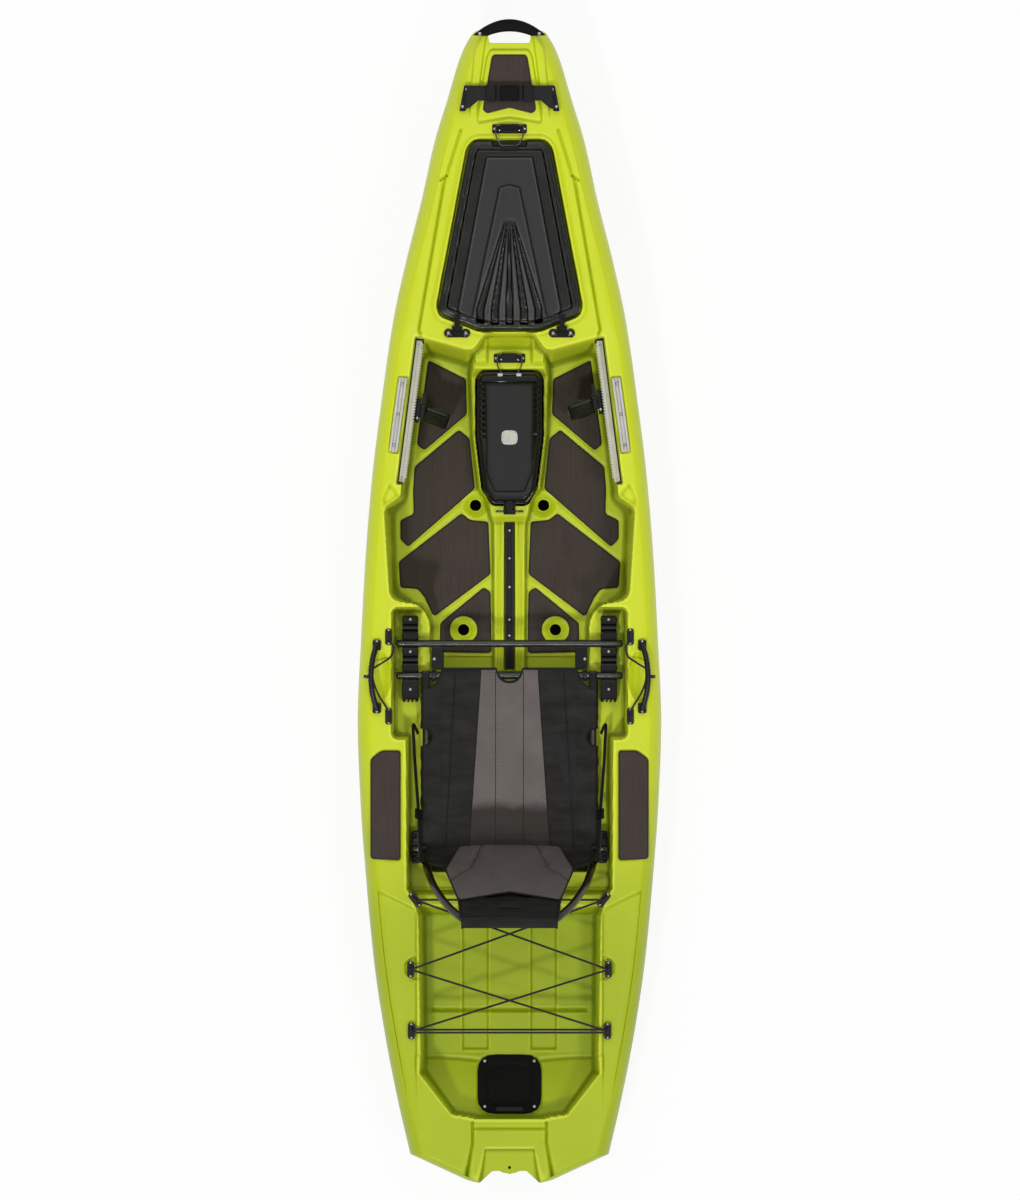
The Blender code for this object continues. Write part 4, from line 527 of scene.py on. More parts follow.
def angles(count):
    """Angles once round, as the columns of a ring."""
    return np.linspace(0, 2 * math.pi, count, endpoint=False)


def squared(wave, power):
    """A sine or cosine that stays near its ends, for rounded boxes: its size to a power, sign kept."""
    return np.sign(wave) * np.abs(wave) ** power


def unit(vectors):
    """The vectors at length one."""
    return vectors / np.maximum(np.linalg.norm(vectors, axis=-1, keepdims=True), 1e-12)


def cubic(t, start, end, leave, arrive):
    """The cubic from start to end whose slopes at its ends are leave and arrive."""
    made = (2 * t**3 - 3 * t**2 + 1) * start + (t**3 - 2 * t**2 + t) * leave
    return made + (3 * t**2 - 2 * t**3) * end + (t**3 - t**2) * arrive


def run_length(points):
    """How far along a path each of its points lies."""
    return np.concatenate([[0], np.cumsum(np.linalg.norm(np.diff(points, axis=0), axis=-1))])


def smooth_path(points, step):
    """A smooth curve through points: cubic pieces whose slopes are the chords' means."""
    points = np.asarray(points, float)
    knots = run_length(points)
    slopes = np.gradient(points, knots, axis=0)
    s = np.linspace(0, knots[-1], max(int(knots[-1] / step), 4) + 1)
    i = np.clip(np.searchsorted(knots, s, "right") - 1, 0, len(knots) - 2)
    gap = np.diff(knots)[i]
    t, h = ((s - knots[i]) / gap)[:, None], gap[:, None]
    return cubic(t, points[i], points[i + 1], h * slopes[i], h * slopes[i + 1])


def bend(before, corner, after, radius, share, steps):
    """A parabola in place of a corner. It starts radius before it, or at a share of a short run."""
    lead, tail = before - corner, after - corner
    reach = min(radius, share * np.linalg.norm(lead), share * np.linalg.norm(tail))
    start, end = corner + unit(lead) * reach, corner + unit(tail) * reach
    t = np.linspace(0, 1, steps + 1)[:, None]
    return (1 - t) ** 2 * start + 2 * t * (1 - t) * corner + t**2 * end


def bent_path(points, radius, steps=6):
    """Straight runs with each corner replaced by a parabola."""
    points = [np.asarray(p, float) for p in points]
    corners = [bend(*three, radius, 0.48, steps) for three in zip(points, points[1:], points[2:])]
    return np.concatenate([points[0][None], *corners, points[-1][None]])


def tube(path, radius, look, sides=16, flat=1.0, cyclic=False, up=(0, 0, 1), name="tube"):
    """A ring of the given radius carried along a path, with rounded ends and its UV in metres.

    Point = path(s) + r (cos a * side + sin a * lift * flat). Radius may vary along the path.
    """
    path = np.asarray(path, float)
    radius = np.broadcast_to(np.asarray(radius, float), (len(path),)).copy()
    if not cyclic:
        ahead, behind = unit(path[-1] - path[-2]), unit(path[0] - path[1])
        cap = np.array([0.45, 0.8, 1.0])
        fall = np.array([0.9, 0.6, 0.0])
        tips = path[-1] + ahead * radius[-1] * flat * cap[:, None] * 0.6
        nose = path[0] + behind * radius[0] * flat * cap[::-1, None] * 0.6
        path = np.concatenate([nose, path, tips])
        radius = np.concatenate([radius[0] * fall[::-1], radius, radius[-1] * fall])
    ends = np.roll(path, -1, 0) - np.roll(path, 1, 0)
    if not cyclic:
        ends[0], ends[-1] = path[1] - path[0], path[-1] - path[-2]
    along = unit(ends)
    side = unit(np.cross(along, np.broadcast_to(np.asarray(up, float), along.shape)))
    lift = np.cross(side, along)
    a = angles(sides)
    ring = np.cos(a)[None, :, None] * side[:, None] + flat * np.sin(a)[None, :, None] * lift[:, None]
    points = path[:, None] + radius[:, None, None] * ring
    length = run_length(path)
    uv = spread(a[None] / (2 * math.pi), length[:, None])
    obj = make(name, points, quads(*points.shape[:2], around=True, closed=cyclic), look, uv, 60, 1e-6)
    return outward(obj)


def pin(start, stop, y, z, radius, look, sides=14, matrix=None, flat=1.0):
    """A round pin across the boat, or across a fitting's own frame."""
    line = [(start, y, z), ((start + stop) / 2, y, z), (stop, y, z)]
    return tube(line if matrix is None else moved(line, matrix), radius, look, sides, flat)


def turned(profile, look, centre, axis=(0, 0, 1), steps=32, sharp=40, name="turned"):
    """A profile of (radius, height) turned about an axis through the centre."""
    profile = np.asarray(profile, float)
    a = angles(steps)
    r, h = profile[:, 0, None], profile[:, 1, None]
    local = spread(r * np.cos(a), r * np.sin(a), h)
    turn = Vector(axis).to_track_quat("Z", "Y").to_matrix().to_4x4()
    points = moved(local, Matrix.Translation(centre) @ turn)
    return outward(make(name, points, quads(*points.shape[:2], around=True), look, None, sharp, 1e-6))


def collar(inner, outer, half, bevel=0.001):
    """A profile for turned: a ring whose outer edges are bevelled."""
    return [(inner, -half), (outer - bevel, -half), (outer, bevel - half), (outer, half - bevel),
            (outer - bevel, half), (inner, half), (inner, -half)]


def screw(centre, radius=0.004, axis=(0, 0, 1)):
    """A domed screw head with a recess in its crown."""
    r = radius
    profile = [(0, -0.3 * r), (r, -0.3 * r), (1.04 * r, 0), (0.98 * r, 0.22 * r), (0.75 * r, 0.42 * r),
               (0.45 * r, 0.52 * r), (0.4 * r, 0.5 * r), (0.33 * r, 0.18 * r), (0, 0.16 * r)]
    return turned(profile, STEEL, centre, axis, 20)


def screws_at(matrix, points, radius):
    """Screw heads at points of a frame, along its own up."""
    return [screw(matrix @ Vector(point), radius, up_of(matrix)) for point in points]


def nearest(x, y, path):
    """Distance to an open path: the least over its runs."""
    best = np.full(np.shape(x), 1e9)
    for (ax, ay), (bx, by) in zip(path, path[1:]):
        dx, dy = bx - ax, by - ay
        t = np.clip(((x - ax) * dx + (y - ay) * dy) / (dx * dx + dy * dy + 1e-18), 0, 1)
        best = np.minimum(best, np.hypot(x - ax - t * dx, y - ay - t * dy))
    return best


def signed(x, y, outline):
    """Distance to a closed outline, negative where a ray to +x crosses it an odd number of times."""
    loop = np.concatenate([outline, outline[:1]])
    inside = np.zeros(np.shape(x), bool)
    for (ax, ay), (bx, by) in zip(loop, loop[1:]):
        reach = (bx - ax) * (y - ay) / (by - ay + (by == ay) * 1e-18) + ax
        inside ^= ((ay > y) != (by > y)) & (x < reach)
    best = nearest(x, y, loop)
    return np.where(inside, -best, best)


def ease(t):
    """0 to 1 with a level start and end."""
    t = np.clip(t, 0, 1)
    return t * t * (3 - 2 * t)


def rise(t, foot=0.3, head=0.14):
    """0 to 1 along a straight slope whose foot and head are rounded."""
    s = np.linspace(0, 1, 201)
    slope = ease(s / foot) * ease((1 - s) / head)
    total = np.concatenate([[0], np.cumsum((slope[1:] + slope[:-1]) / 2)])
    return np.interp(t, s, total / total[-1])


def lowered(z, where, to):
    """The height z, but where the test holds no more than the height to."""
    return np.where(where, np.minimum(z, to), z)


def both(half):
    """A closed outline from its starboard half, listed bow to stern."""
    return list(half) + [(-x, y) for x, y in reversed(half) if x > 0]


def rounded(outline, radius, steps=4):
    """The outline with each corner replaced by a parabola."""
    points = [np.asarray(p, float) for p in outline]
    threes = zip(points[-1:] + points, points, points[1:] + points[:1])
    return np.concatenate([bend(*three, radius, 0.45, steps) for three in threes])


def inset(outline, distance):
    """The outline moved inwards along its corners' normals, whichever way it runs."""
    p = np.asarray(outline, float)
    area = np.sum(p[:, 0] * np.roll(p[:, 1], -1) - np.roll(p[:, 0], -1) * p[:, 1])
    before = unit(p - np.roll(p, 1, 0))
    after = unit(np.roll(p, -1, 0) - p)
    normal = np.stack([-(before + after)[:, 1], (before + after)[:, 0]], -1) * np.sign(area)
    normal = unit(normal)
    lean = np.sum(normal * np.stack([-after[:, 1], after[:, 0]], -1) * np.sign(area), -1)
    return p + normal * (distance / np.maximum(lean, 0.4))[:, None]


def level(outline, z):
    """An outline's points at one height."""
    return np.column_stack([outline, np.full(len(outline), z)])


def plate(outline, profile, look, matrix=None, sharp=35, name="plate"):
    """A flat piece: its outline inset and lifted along a profile of (inset, height) pairs."""
    points = np.concatenate([level(inset(outline, d), z) for d, z in profile])
    if matrix is not None:
        points = moved(points, matrix)
    return outward(make(name, points, capped(len(profile), len(outline)), look, None, sharp))


def slab(low, high, bevel=0.0015):
    """A profile for plate: a slab from low to high with rounded upper and lower edges."""
    b = bevel
    return [(b, low), (0.3 * b, low + 0.3 * b), (0, low + b), (0, high - b), (0.3 * b, high - 0.3 * b),
            (b, high)]


def oblong(width, length, radius=0.004, centre=(0, 0)):
    """A rectangle with rounded corners, as an outline."""
    x, y, (cx, cy) = width / 2, length / 2, centre
    return rounded([(cx - x, cy + y), (cx + x, cy + y), (cx + x, cy - y), (cx - x, cy - y)], radius)


def folds_of(z, reach, depth):
    """How far a height field lies below (up to 1) or above (down to -1) its mean nearby."""
    span = 2 * reach + 1
    total = np.pad(np.pad(z, reach, mode="edge").cumsum(0).cumsum(1), ((1, 0), (1, 0)))
    whole = total[span:, span:] - total[:-span, span:] - total[span:, :-span] + total[:-span, :-span]
    return np.clip((whole / span**2 - z) / depth, -1, 1)


def relief(name, half, height, base, look, matrix=None, rows=120, columns=80, sharp=50):
    """A closed body under a height field: x = u w(y), z = height(x, y), on a level base.

    Half lists the starboard outline from its far to its near end. Columns crowd to the edges.
    """
    half = np.asarray(half, float)
    order = np.argsort(half[:, 1])
    y = np.linspace(half[:, 1].min(), half[:, 1].max(), rows)
    w = np.interp(y, half[order, 1], half[order, 0])
    s = np.linspace(-1, 1, columns)
    u = np.sign(s) * (1 - (1 - np.abs(s)) ** 1.35)
    x = w[:, None] * u[None]
    yy = np.broadcast_to(y[:, None], x.shape)
    z = height(x, yy)
    top = spread(x, yy, z)
    low = top[:, [-1, -1, 0, 0]].copy()
    low[:, 1:3, 2] = base
    low[:, 0, 2] = low[:, 0, 2] * 0.5 + base * 0.5
    low[:, 3, 2] = low[:, 3, 2] * 0.5 + base * 0.5
    ring = np.concatenate([top, low], axis=1)
    count = ring.shape[1]
    points = ring.reshape(-1, 3)
    if matrix is not None:
        points = moved(points, matrix)
    marks = np.zeros((rows, count))
    # The fold attribute drives the lid's painted shade and painted highlights.
    marks[:, :columns] = folds_of(z, 3, 0.0015)
    return outward(make(name, points, capped(rows, count), look, None, sharp, marks=marks))


# Hull lines, as the frame's own
STATIONS = np.array([
    (-1.535, 0.276, 0.320, 0.035, 0.78), (-1.380, 0.312, 0.321, 0.004, 0.80),
    (-1.200, 0.347, 0.322, 0.000, 0.81), (-1.000, 0.377, 0.324, 0.000, 0.82),
    (-0.770, 0.399, 0.325, 0.000, 0.82), (-0.550, 0.415, 0.325, 0.000, 0.82),
    (-0.330, 0.4225, 0.326, 0.000, 0.82), (-0.100, 0.413, 0.328, 0.000, 0.82),
    (0.120, 0.401, 0.333, 0.000, 0.82), (0.340, 0.383, 0.341, 0.000, 0.82),
    (0.560, 0.356, 0.351, 0.000, 0.80), (0.780, 0.324, 0.364, 0.000, 0.75),
    (0.950, 0.287, 0.373, 0.002, 0.68), (1.115, 0.245, 0.381, 0.012, 0.59),
    (1.280, 0.208, 0.388, 0.042, 0.48), (1.400, 0.171, 0.392, 0.080, 0.37),
    (1.500, 0.141, 0.395, 0.127, 0.26), (1.545, 0.122, 0.396, 0.155, 0.20),
    (1.585, 0.097, 0.397, 0.185, 0.14),
])
BOW, TRANSOM, CORNER = 1.585, -1.6125, -1.535
FLOOR_Z, LEDGE_Z, TANK_Z = 0.095, 0.200, 0.170
FRONT_BAR_Y, BAR_Z, SEAT_BACK = -0.204, 0.235, -0.687
LEDGE_FRONT, LEDGE_BACK = -0.021, -0.373
TANK_FRONT, TANK_BACK = -0.870, -1.430
HINGE_X, HINGE_Y, HINGE_RISE, HATCH_LENGTH = 0.145, 0.757, 0.010, 0.519
CONSOLE_FRONT, CONSOLE_BACK = 0.641, 0.275


def curve_value(y, column):
    """A column of the stations on the cubic curve that never overshoots its points."""
    xs, ys = STATIONS[:, 0], STATIONS[:, column]
    secant = np.diff(ys) / np.diff(xs)
    a, b = secant[:-1], secant[1:]
    inner = np.where(a * b <= 0, 0.0, 2 * a * b / np.where(a + b == 0, 1, a + b))
    slope = np.concatenate([secant[:1], inner, secant[-1:]])
    i = np.clip(np.searchsorted(xs, y, "right") - 1, 0, len(xs) - 2)
    w = xs[i + 1] - xs[i]
    t = np.clip((y - xs[i]) / w, 0, 1)
    return cubic(t, ys[i], ys[i + 1], slope[i] * w, slope[i + 1] * w)


def station(y):
    """Half beam, sheer, keel and the half width of the flat bottom at each y."""
    y = np.asarray(y, float)
    half, sheer, keel, share = (curve_value(y, c) for c in (1, 2, 3, 4))
    t = np.clip((CORNER - y) / (CORNER - TRANSOM), 0, 1)
    return half + t * (0.107 - half), sheer, keel + t * (0.060 - keel), half * share


def deck_z(y):
    """The deck's height along the middle line."""
    return station(y)[1]


def deck_at(y):
    """The deck's height at one y, as a plain number."""
    return float(deck_z(y))


def pitch(y, span):
    """The deck's slope over a span that is centred on y."""
    return float(np.arctan2(deck_z(y + span / 2) - deck_z(y - span / 2), span))


def edge(y):
    """Half the width of the flat deck, inside the rounded gunwale."""
    return station(y)[0] - 0.028 - 0.006 * np.clip((y - 0.6) / 0.7, 0, 1) - 0.004


BOW_MIDDLE = 1.445
BOW_FRAME = placed((0, BOW_MIDDLE, deck_at(BOW_MIDDLE)), pitch(BOW_MIDDLE, 0.2), "X")
HATCH_PITCH = pitch(HINGE_Y + HATCH_LENGTH / 2, HATCH_LENGTH)
HATCH_FRAME = placed((0, HINGE_Y, deck_at(HINGE_Y) + HINGE_RISE), HATCH_PITCH, "X")
HATCH_HALF = [(0.096, 0.519), (0.114, 0.499), (0.197, 0.063), (0.189, 0.040), (0.082, -0.002)]
CONSOLE_HALF = [
    (0.076, CONSOLE_FRONT), (0.090, CONSOLE_FRONT - 0.017), (0.090, CONSOLE_BACK + 0.186),
    (0.072, CONSOLE_BACK + 0.036), (0.047, CONSOLE_BACK),
]
HATCH_LINE = rounded(both(HATCH_HALF), 0.012)
CONSOLE_LINE, TRAY_TOP, LID_PIN = rounded(both(CONSOLE_HALF), 0.01), 0.232, (CONSOLE_BACK - 0.022, 0.228)
FLOOR_LINE = [
    (0.0, 0.695), (0.075, 0.690), (0.107, 0.650), (0.236, 0.690), (0.283, 0.318), (0.284, 0.290),
    (0.319, 0.252), (0.315, 0.040), (0.296, 0.006), (0.234, -0.020), (0.216, -0.060), (0.216, -0.760),
]
RIM_LINE = [
    (0.0, 0.757), (0.071, 0.748), (0.102, 0.698), (0.248, 0.738), (0.301, 0.322), (0.301, 0.294),
    (0.350, 0.262), (0.334, 0.022), (0.318, 0.004), (0.250, -0.006), (0.227, -0.046), (0.227, -0.760),
]
PAD_LINES = {
    1: [(0.227, 0.677), (0.122, 0.624), (0.119, 0.525), (0.238, 0.424), (0.259, 0.441)],
    2: [
        (0.142, 0.482), (0.112, 0.458), (0.097, 0.317), (0.283, 0.155), (0.305, 0.175),
        (0.305, 0.229), (0.268, 0.247), (0.270, 0.311), (0.265, 0.379),
    ],
    3: [
        (0.134, 0.249), (0.110, 0.230), (0.053, 0.225), (0.050, 0.078), (0.206, -0.037),
        (0.215, -0.035), (0.238, 0.015), (0.256, 0.037), (0.305, 0.041), (0.310, 0.113),
    ],
    4: [
        (0.072, 0.042), (0.053, 0.029), (0.048, -0.137), (0.058, -0.142), (0.191, -0.139),
        (0.195, -0.132), (0.194, -0.058),
    ],
}
SCUPPERS = [(0.0951, 0.271), (0.1285, -0.077)]
SIDE_PAD = [(0.302, -0.411), (0.354, -0.411), (0.386, -0.434), (0.386, -0.712), (0.302, -0.716)]
SIDE_PAD_Z = deck_at(-0.563) - 0.004
SPINE = np.array([
    (0.745, 0.116, 0.100, 0.226), (0.651, 0.116, 0.100, 0.226), (0.629, 0.116, 0.107, 0.176),
    (0.458, 0.108, 0.102, 0.172), (0.319, 0.091, 0.085, 0.168), (0.293, 0.068, 0.061, 0.164),
    (0.241, 0.058, 0.051, 0.158), (0.219, 0.049, 0.044, 0.122), (-0.194, 0.046, 0.042, 0.118),
])[::-1]
WELL = np.array([
    (-0.353, 0.280, 0.200, 0.288), (-0.795, 0.280, 0.200, 0.286), (-0.815, 0.264, 0.235, 0.272),
    (-0.845, 0.252, 0.235, 0.262), (-0.870, 0.238, 0.170, 0.254), (-1.2564, 0.234, 0.170, 0.248),
    (-1.3068, 0.234, 0.194, 0.252), (-1.4205, 0.152, 0.250, 0.163), (-1.430, 0.096, 0.256, 0.102),
])[::-1]
HANDLE_X, HANDLE_Y = 0.376, -0.206
PLUG_Y, PLUG_Z = -1.5725, 0.215
RAIL_MIDDLE, RAIL_YAW = (0.2745, 0.53), math.atan2(0.053, 0.416)
RAIL_Z, RAIL_HEIGHT, RAIL_HALF, RAIL_SLOT = 0.2623, 0.045, 0.0085, 0.45
TRACK_MIDDLE, TRACK_YAW = (0.3085, 0.52), math.atan2(0.028, 0.205)
PLATE_SLOPE = math.atan2(0.08, 0.293 * 0.56)
PLATE_MIDDLE = TANK_FRONT + 0.845 * (TANK_BACK - TANK_FRONT)
PLATE_Z = TANK_Z + (0.845 - 0.69) / 0.293 * 0.08


def local(x, y, centre, yaw):
    """Coordinates turned into a fitting's own frame."""
    dx, dy = x - centre[0], y - centre[1]
    return dx * math.cos(yaw) + dy * math.sin(yaw), dy * math.cos(yaw) - dx * math.sin(yaw)


def box_distance(x, y, width, length, radius=0.0):
    """Signed distance to an upright rounded rectangle round the origin."""
    qx = np.abs(x) - width / 2 + radius
    qy = np.abs(y) - length / 2 + radius
    outside = np.hypot(np.maximum(qx, 0), np.maximum(qy, 0))
    return outside + np.minimum(np.maximum(qx, qy), 0) - radius


def groove(distance, width, depth):
    """A round-bottomed channel: a cosine of the distance from its middle line."""
    return -depth * 0.5 * (1 + np.cos(np.pi * np.clip(distance / (width / 2), -1, 1)))


def bow_details(ax, y, z):
    """Horn ribs, the pad's plateau, and the creases beside the hatch."""
    inner = np.interp(y, [1.33, 1.435, 1.57], [0.09, 0.079, 0.062])
    outer = inner + np.interp(y, [1.33, 1.57], [0.024, 0.034])
    band = ease((ax - inner) / 0.006) * ease((outer - ax) / 0.006)
    z = z + 0.011 * band * ease((y - 1.335) / 0.03)
    plateau = both([(0.052, 0.078), (0.06, 0.06), (0.086, -0.112), (0.0, -0.098)])
    d = signed(ax, y - BOW_MIDDLE, rounded(plateau, 0.006))
    z = z + 0.012 * (1 - ease(d / 0.007))
    z = z + groove(nearest(ax, y, [(0.1345, 1.307), (0.1745, 1.18)]), 0.012, 0.008)
    z = z + groove(nearest(ax, y, [(0.1795, 1.172), (0.251, 0.755), (0.246, 0.742)]), 0.013, 0.01)
    dent = nearest(ax, y, [(0.1745, 1.18), (0.19, 1.168)])
    z = z + groove(dent, 0.014, 0.009)
    crown = np.interp(y, [0.745, 1.18, 1.3], [0.251, 0.177, 0.137])
    shoulder = np.clip((ax - crown) / 0.055, 0, 1)
    z = z + 0.0045 * np.sin(np.pi * shoulder) * ease((y - 0.72) / 0.06) * ease((1.33 - y) / 0.04)
    return z


def hatch_details(x, y, z):
    """The lid's recess and the deep mouth of the bow storage, in the hatch's own slope."""
    v = (y - HINGE_Y) / math.cos(HATCH_PITCH)
    line = rounded(both(HATCH_HALF), 0.014)
    d = signed(x, v, line)
    plane = deck_at(HINGE_Y) + HINGE_RISE + (y - HINGE_Y) * math.tan(HATCH_PITCH)
    lip = 0.003 * np.exp(-(((d - 0.0095) / 0.0045) ** 2))
    lip = lip - 0.003 * np.exp(-(((d - 0.019) / 0.003) ** 2))
    seat = plane - 0.038
    z = z + lip
    z = lowered(z, d < 0.01, seat + (z - seat) * rise((d - 0.0022) / 0.005))
    mouth = signed(x, v, rounded(inset(line, 0.026), 0.004))
    deep = 0.12 + (z - 0.12) * rise((mouth + 0.014) / 0.018, 0.15, 0.15)
    return lowered(z, mouth < 0.006, deep)


def footwell(x, y, z):
    """The drafted footwell: between its floor outline and its rim the wall rises evenly."""
    low = signed(x, y, rounded(both(FLOOR_LINE), 0.02))
    high = signed(x, y, rounded(both(RIM_LINE), 0.016))
    t = np.clip(low / np.maximum(low - high, 1e-6), 0, 1)
    t = np.where(high >= 0, 1.0, t)
    wall = FLOOR_Z + (z - FLOOR_Z) * rise(t, 0.3, 0.16)
    return lowered(z, y > -0.75, wall)


def floor_strips(ax, y, z):
    """Low rounded strips between the foam sheets, and the dished drains."""
    d = np.full(ax.shape, 1e9)
    for points in PAD_LINES.values():
        d = np.minimum(d, signed(ax, y, rounded(points, 0.008)))
    strip = 0.0032 * ease((d - 0.002) / 0.007)
    low = np.clip((FLOOR_Z + 0.03 - z) / 0.03, 0, 1) * (y > -0.15)
    z = z + strip * low
    for cx, cy in SCUPPERS:
        r = np.hypot(ax - cx, y - cy)
        z = z + 0.0022 * np.exp(-(((r - 0.038) / 0.005) ** 2)) * (z < FLOOR_Z + 0.03)
        dish = FLOOR_Z + 0.001 - 0.011 * ease((0.033 - r) / 0.016)
        z = lowered(z, r < 0.034, dish)
    return z


def spine(ax, y, z):
    """The spine from the front wall to the seat, with long grooves beside its slot."""
    foot_half, top_half, top = (np.interp(y, SPINE[:, 0], SPINE[:, c]) for c in (1, 2, 3))
    t = np.clip((ax - top_half + 0.003) / np.maximum(foot_half - top_half + 0.004, 1e-3), 0, 1)
    raised = top + (FLOOR_Z - top) * rise(t, 0.35, 0.25)
    rear = ease((y + 0.202) / 0.012)
    raised = FLOOR_Z + (raised - FLOOR_Z) * rear
    track = ease((0.236 - y) / 0.02) * ease((y + 0.196) / 0.01)
    raised = raised + track * groove(ax - 0.0235, 0.0065, 0.0034)
    raised = raised + track * groove(ax - 0.0335, 0.005, 0.0022)
    return np.where((y < 0.75) & (ax < foot_half + 0.004), np.maximum(z, raised), z)


def front_slope(ax, y, z):
    """The slope in the middle of the front wall, between two low ridges, down to the latch."""
    run = np.clip((0.757 - y) / 0.06, 0, 1)
    slope = 0.362 + (0.2275 - 0.362) * rise(run, 0.22, 0.3)
    ridge = 0.016 * ease((ax - 0.058) / 0.01) * ease((0.104 - ax) / 0.01) * ease((y - 0.655) / 0.02)
    slope = slope + ridge * ease(run / 0.5)
    half = np.interp(y, [0.69, 0.698, 0.748, 0.757], [0.1, 0.102, 0.071, 0.071])
    side = ease((half + 0.006 - ax) / 0.012)
    inside = (y > 0.648) & (y < 0.757) & (ax < half + 0.006)
    return np.where(inside, np.maximum(z, slope * side + z * (1 - side)), z)


def rear_well(ax, y, z):
    """Seat ledge, bulkhead, tank well and ramp: widths and floor change with y."""
    low, floor, high = (np.interp(y, WELL[:, 0], WELL[:, c]) for c in (1, 2, 3))
    grow = np.clip((ax - low + 0.006) / np.maximum(high - low + 0.006, 1e-3), 0, 1)
    wall = floor + (z - floor) * rise(grow, 0.35, 0.2)
    back = ease((TANK_BACK - y) / 0.004)
    inside = (y < LEDGE_BACK + 0.018) & (y > TANK_BACK - 0.004)
    return lowered(z, inside, wall + (z - wall) * back)


def tank_details(ax, y, z):
    """Recessed bands and a cross groove in the tank floor, its bump-outs and the small ribs."""
    on_floor = np.clip((TANK_Z + 0.045 - z) / 0.03, 0, 1) * (y < TANK_FRONT)
    band = ease((ax - 0.0565) / 0.006) * ease((0.1335 - ax) / 0.006)
    ends = ease((y + 1.25) / 0.007) * ease((-0.862 - y) / 0.006)
    z = z - 0.0095 * band * ends * on_floor
    z = z + on_floor * groove(y + 1.1375, 0.018, 0.009) * ease((0.222 - ax) / 0.01)
    out = signed(ax, y,
                 rounded([(0.25, -0.985), (0.266, -0.985), (0.288, -1.002), (0.288, -1.026),
                          (0.266, -1.044), (0.25, -1.044)], 0.006))
    z = np.where((out < 0.006) & (z > 0.28), z - 0.006 * (1 - ease(out / 0.006)), z)
    rib = box_distance(ax - 0.252, y + 1.285, 0.012, 0.05, 0.006)
    z = np.where(z > 0.25, z + 0.004 * (1 - ease(rib / 0.004)), z)
    arc = y + 1.268 + 0.55 * (0.22 - ax) ** 2 * 0.9
    z = z + groove(arc, 0.018, 0.006) * (ax < 0.23) * (z < 0.24) * (y < -1.2)
    return z


def deck_creases(ax, y, z):
    """The step across each side deck, the shoulder lines and the stern panel."""
    line = np.interp(ax, [0.25, 0.3945], [-0.8585, -0.7875])
    step = 1 - ease((y - line + 0.006) / 0.008)
    z = z - 0.009 * step * ease((ax - 0.256) / 0.004) * ease((y + 1.44) / 0.2)
    z = z + groove(y - line, 0.01, 0.0045) * (ax > 0.254)
    stern = nearest(ax, y, [(0.1025, -1.444), (0.1025, -1.4995), (0.1225, -1.6125)])
    z = z + groove(stern, 0.013, 0.01)
    z = z + groove(nearest(ax, y, [(0.0, -1.4605), (0.098, -1.4605)]), 0.014, 0.006)
    panel = signed(ax, y, both([(0.0655, -1.52), (0.0855, -1.64)]))
    z = z - 0.013 * (1 - ease(panel / 0.005))
    return z


def side_details(ax, y, z):
    """Recesses for the rack ledge, side pads, tracks, rails, handles and eyes."""
    ledge = box_distance(ax, y - (LEDGE_FRONT + LEDGE_BACK) / 2, 0.642, LEDGE_FRONT - LEDGE_BACK, 0.012)
    wall = LEDGE_Z + (z - LEDGE_Z) * rise((ledge + 0.004) / 0.012, 0.3, 0.2)
    z = lowered(z, ledge < 0.01, wall)
    deck = deck_z(y)
    pad = signed(ax, y, rounded(SIDE_PAD, 0.01))
    sunk = SIDE_PAD_Z
    shoulder = sunk + (deck - sunk) * ease((pad - 0.0012) / 0.0035)
    z = lowered(z, (pad < 0.005) & (z > 0.3), shoulder)
    u, v = local(ax, y, TRACK_MIDDLE, TRACK_YAW)
    d = box_distance(u, v, 0.026, 0.211, 0.003)
    floor = deck - 0.008
    z = lowered(z, (d < 0.004) & (z > 0.3), floor + 0.008 * ease((d - 0.0004) / 0.003))
    u, v = local(ax, y, RAIL_MIDDLE, RAIL_YAW)
    d = box_distance(u, v, 0.0182, 0.402, 0.001)
    z = lowered(z, d < 0.006, 0.2615 + (z - 0.2615) * rise((d - 0.0004) / 0.005, 0.2, 0.3))
    r = np.hypot((ax - 0.364) / 0.036, (y - HANDLE_Y) / 0.072)
    bowl = deck - 0.033 * np.clip(1 - r**2, 0, 1) ** 0.8
    z = lowered(z, (r < 1) & (z > 0.28), bowl)
    leaf = nearest(ax, y, [(0.356, HANDLE_Y + 0.082), (0.33, HANDLE_Y + 0.02), (0.333, HANDLE_Y - 0.06)])
    z = np.where(z > 0.3, z + groove(leaf, 0.01, 0.0034), z)
    facet = signed(ax, y, [(0.303, 0.296), (0.35, 0.264), (0.353, 0.286), (0.333, 0.33)])
    z = np.where(z > 0.3, z - 0.01 * ease((0.004 - facet) / 0.012), z)
    rail_end = nearest(ax, y, [(0.2945, 0.33), (0.2975, 0.288)])
    return np.where(z > 0.3, z + groove(rail_end, 0.01, 0.006), z)


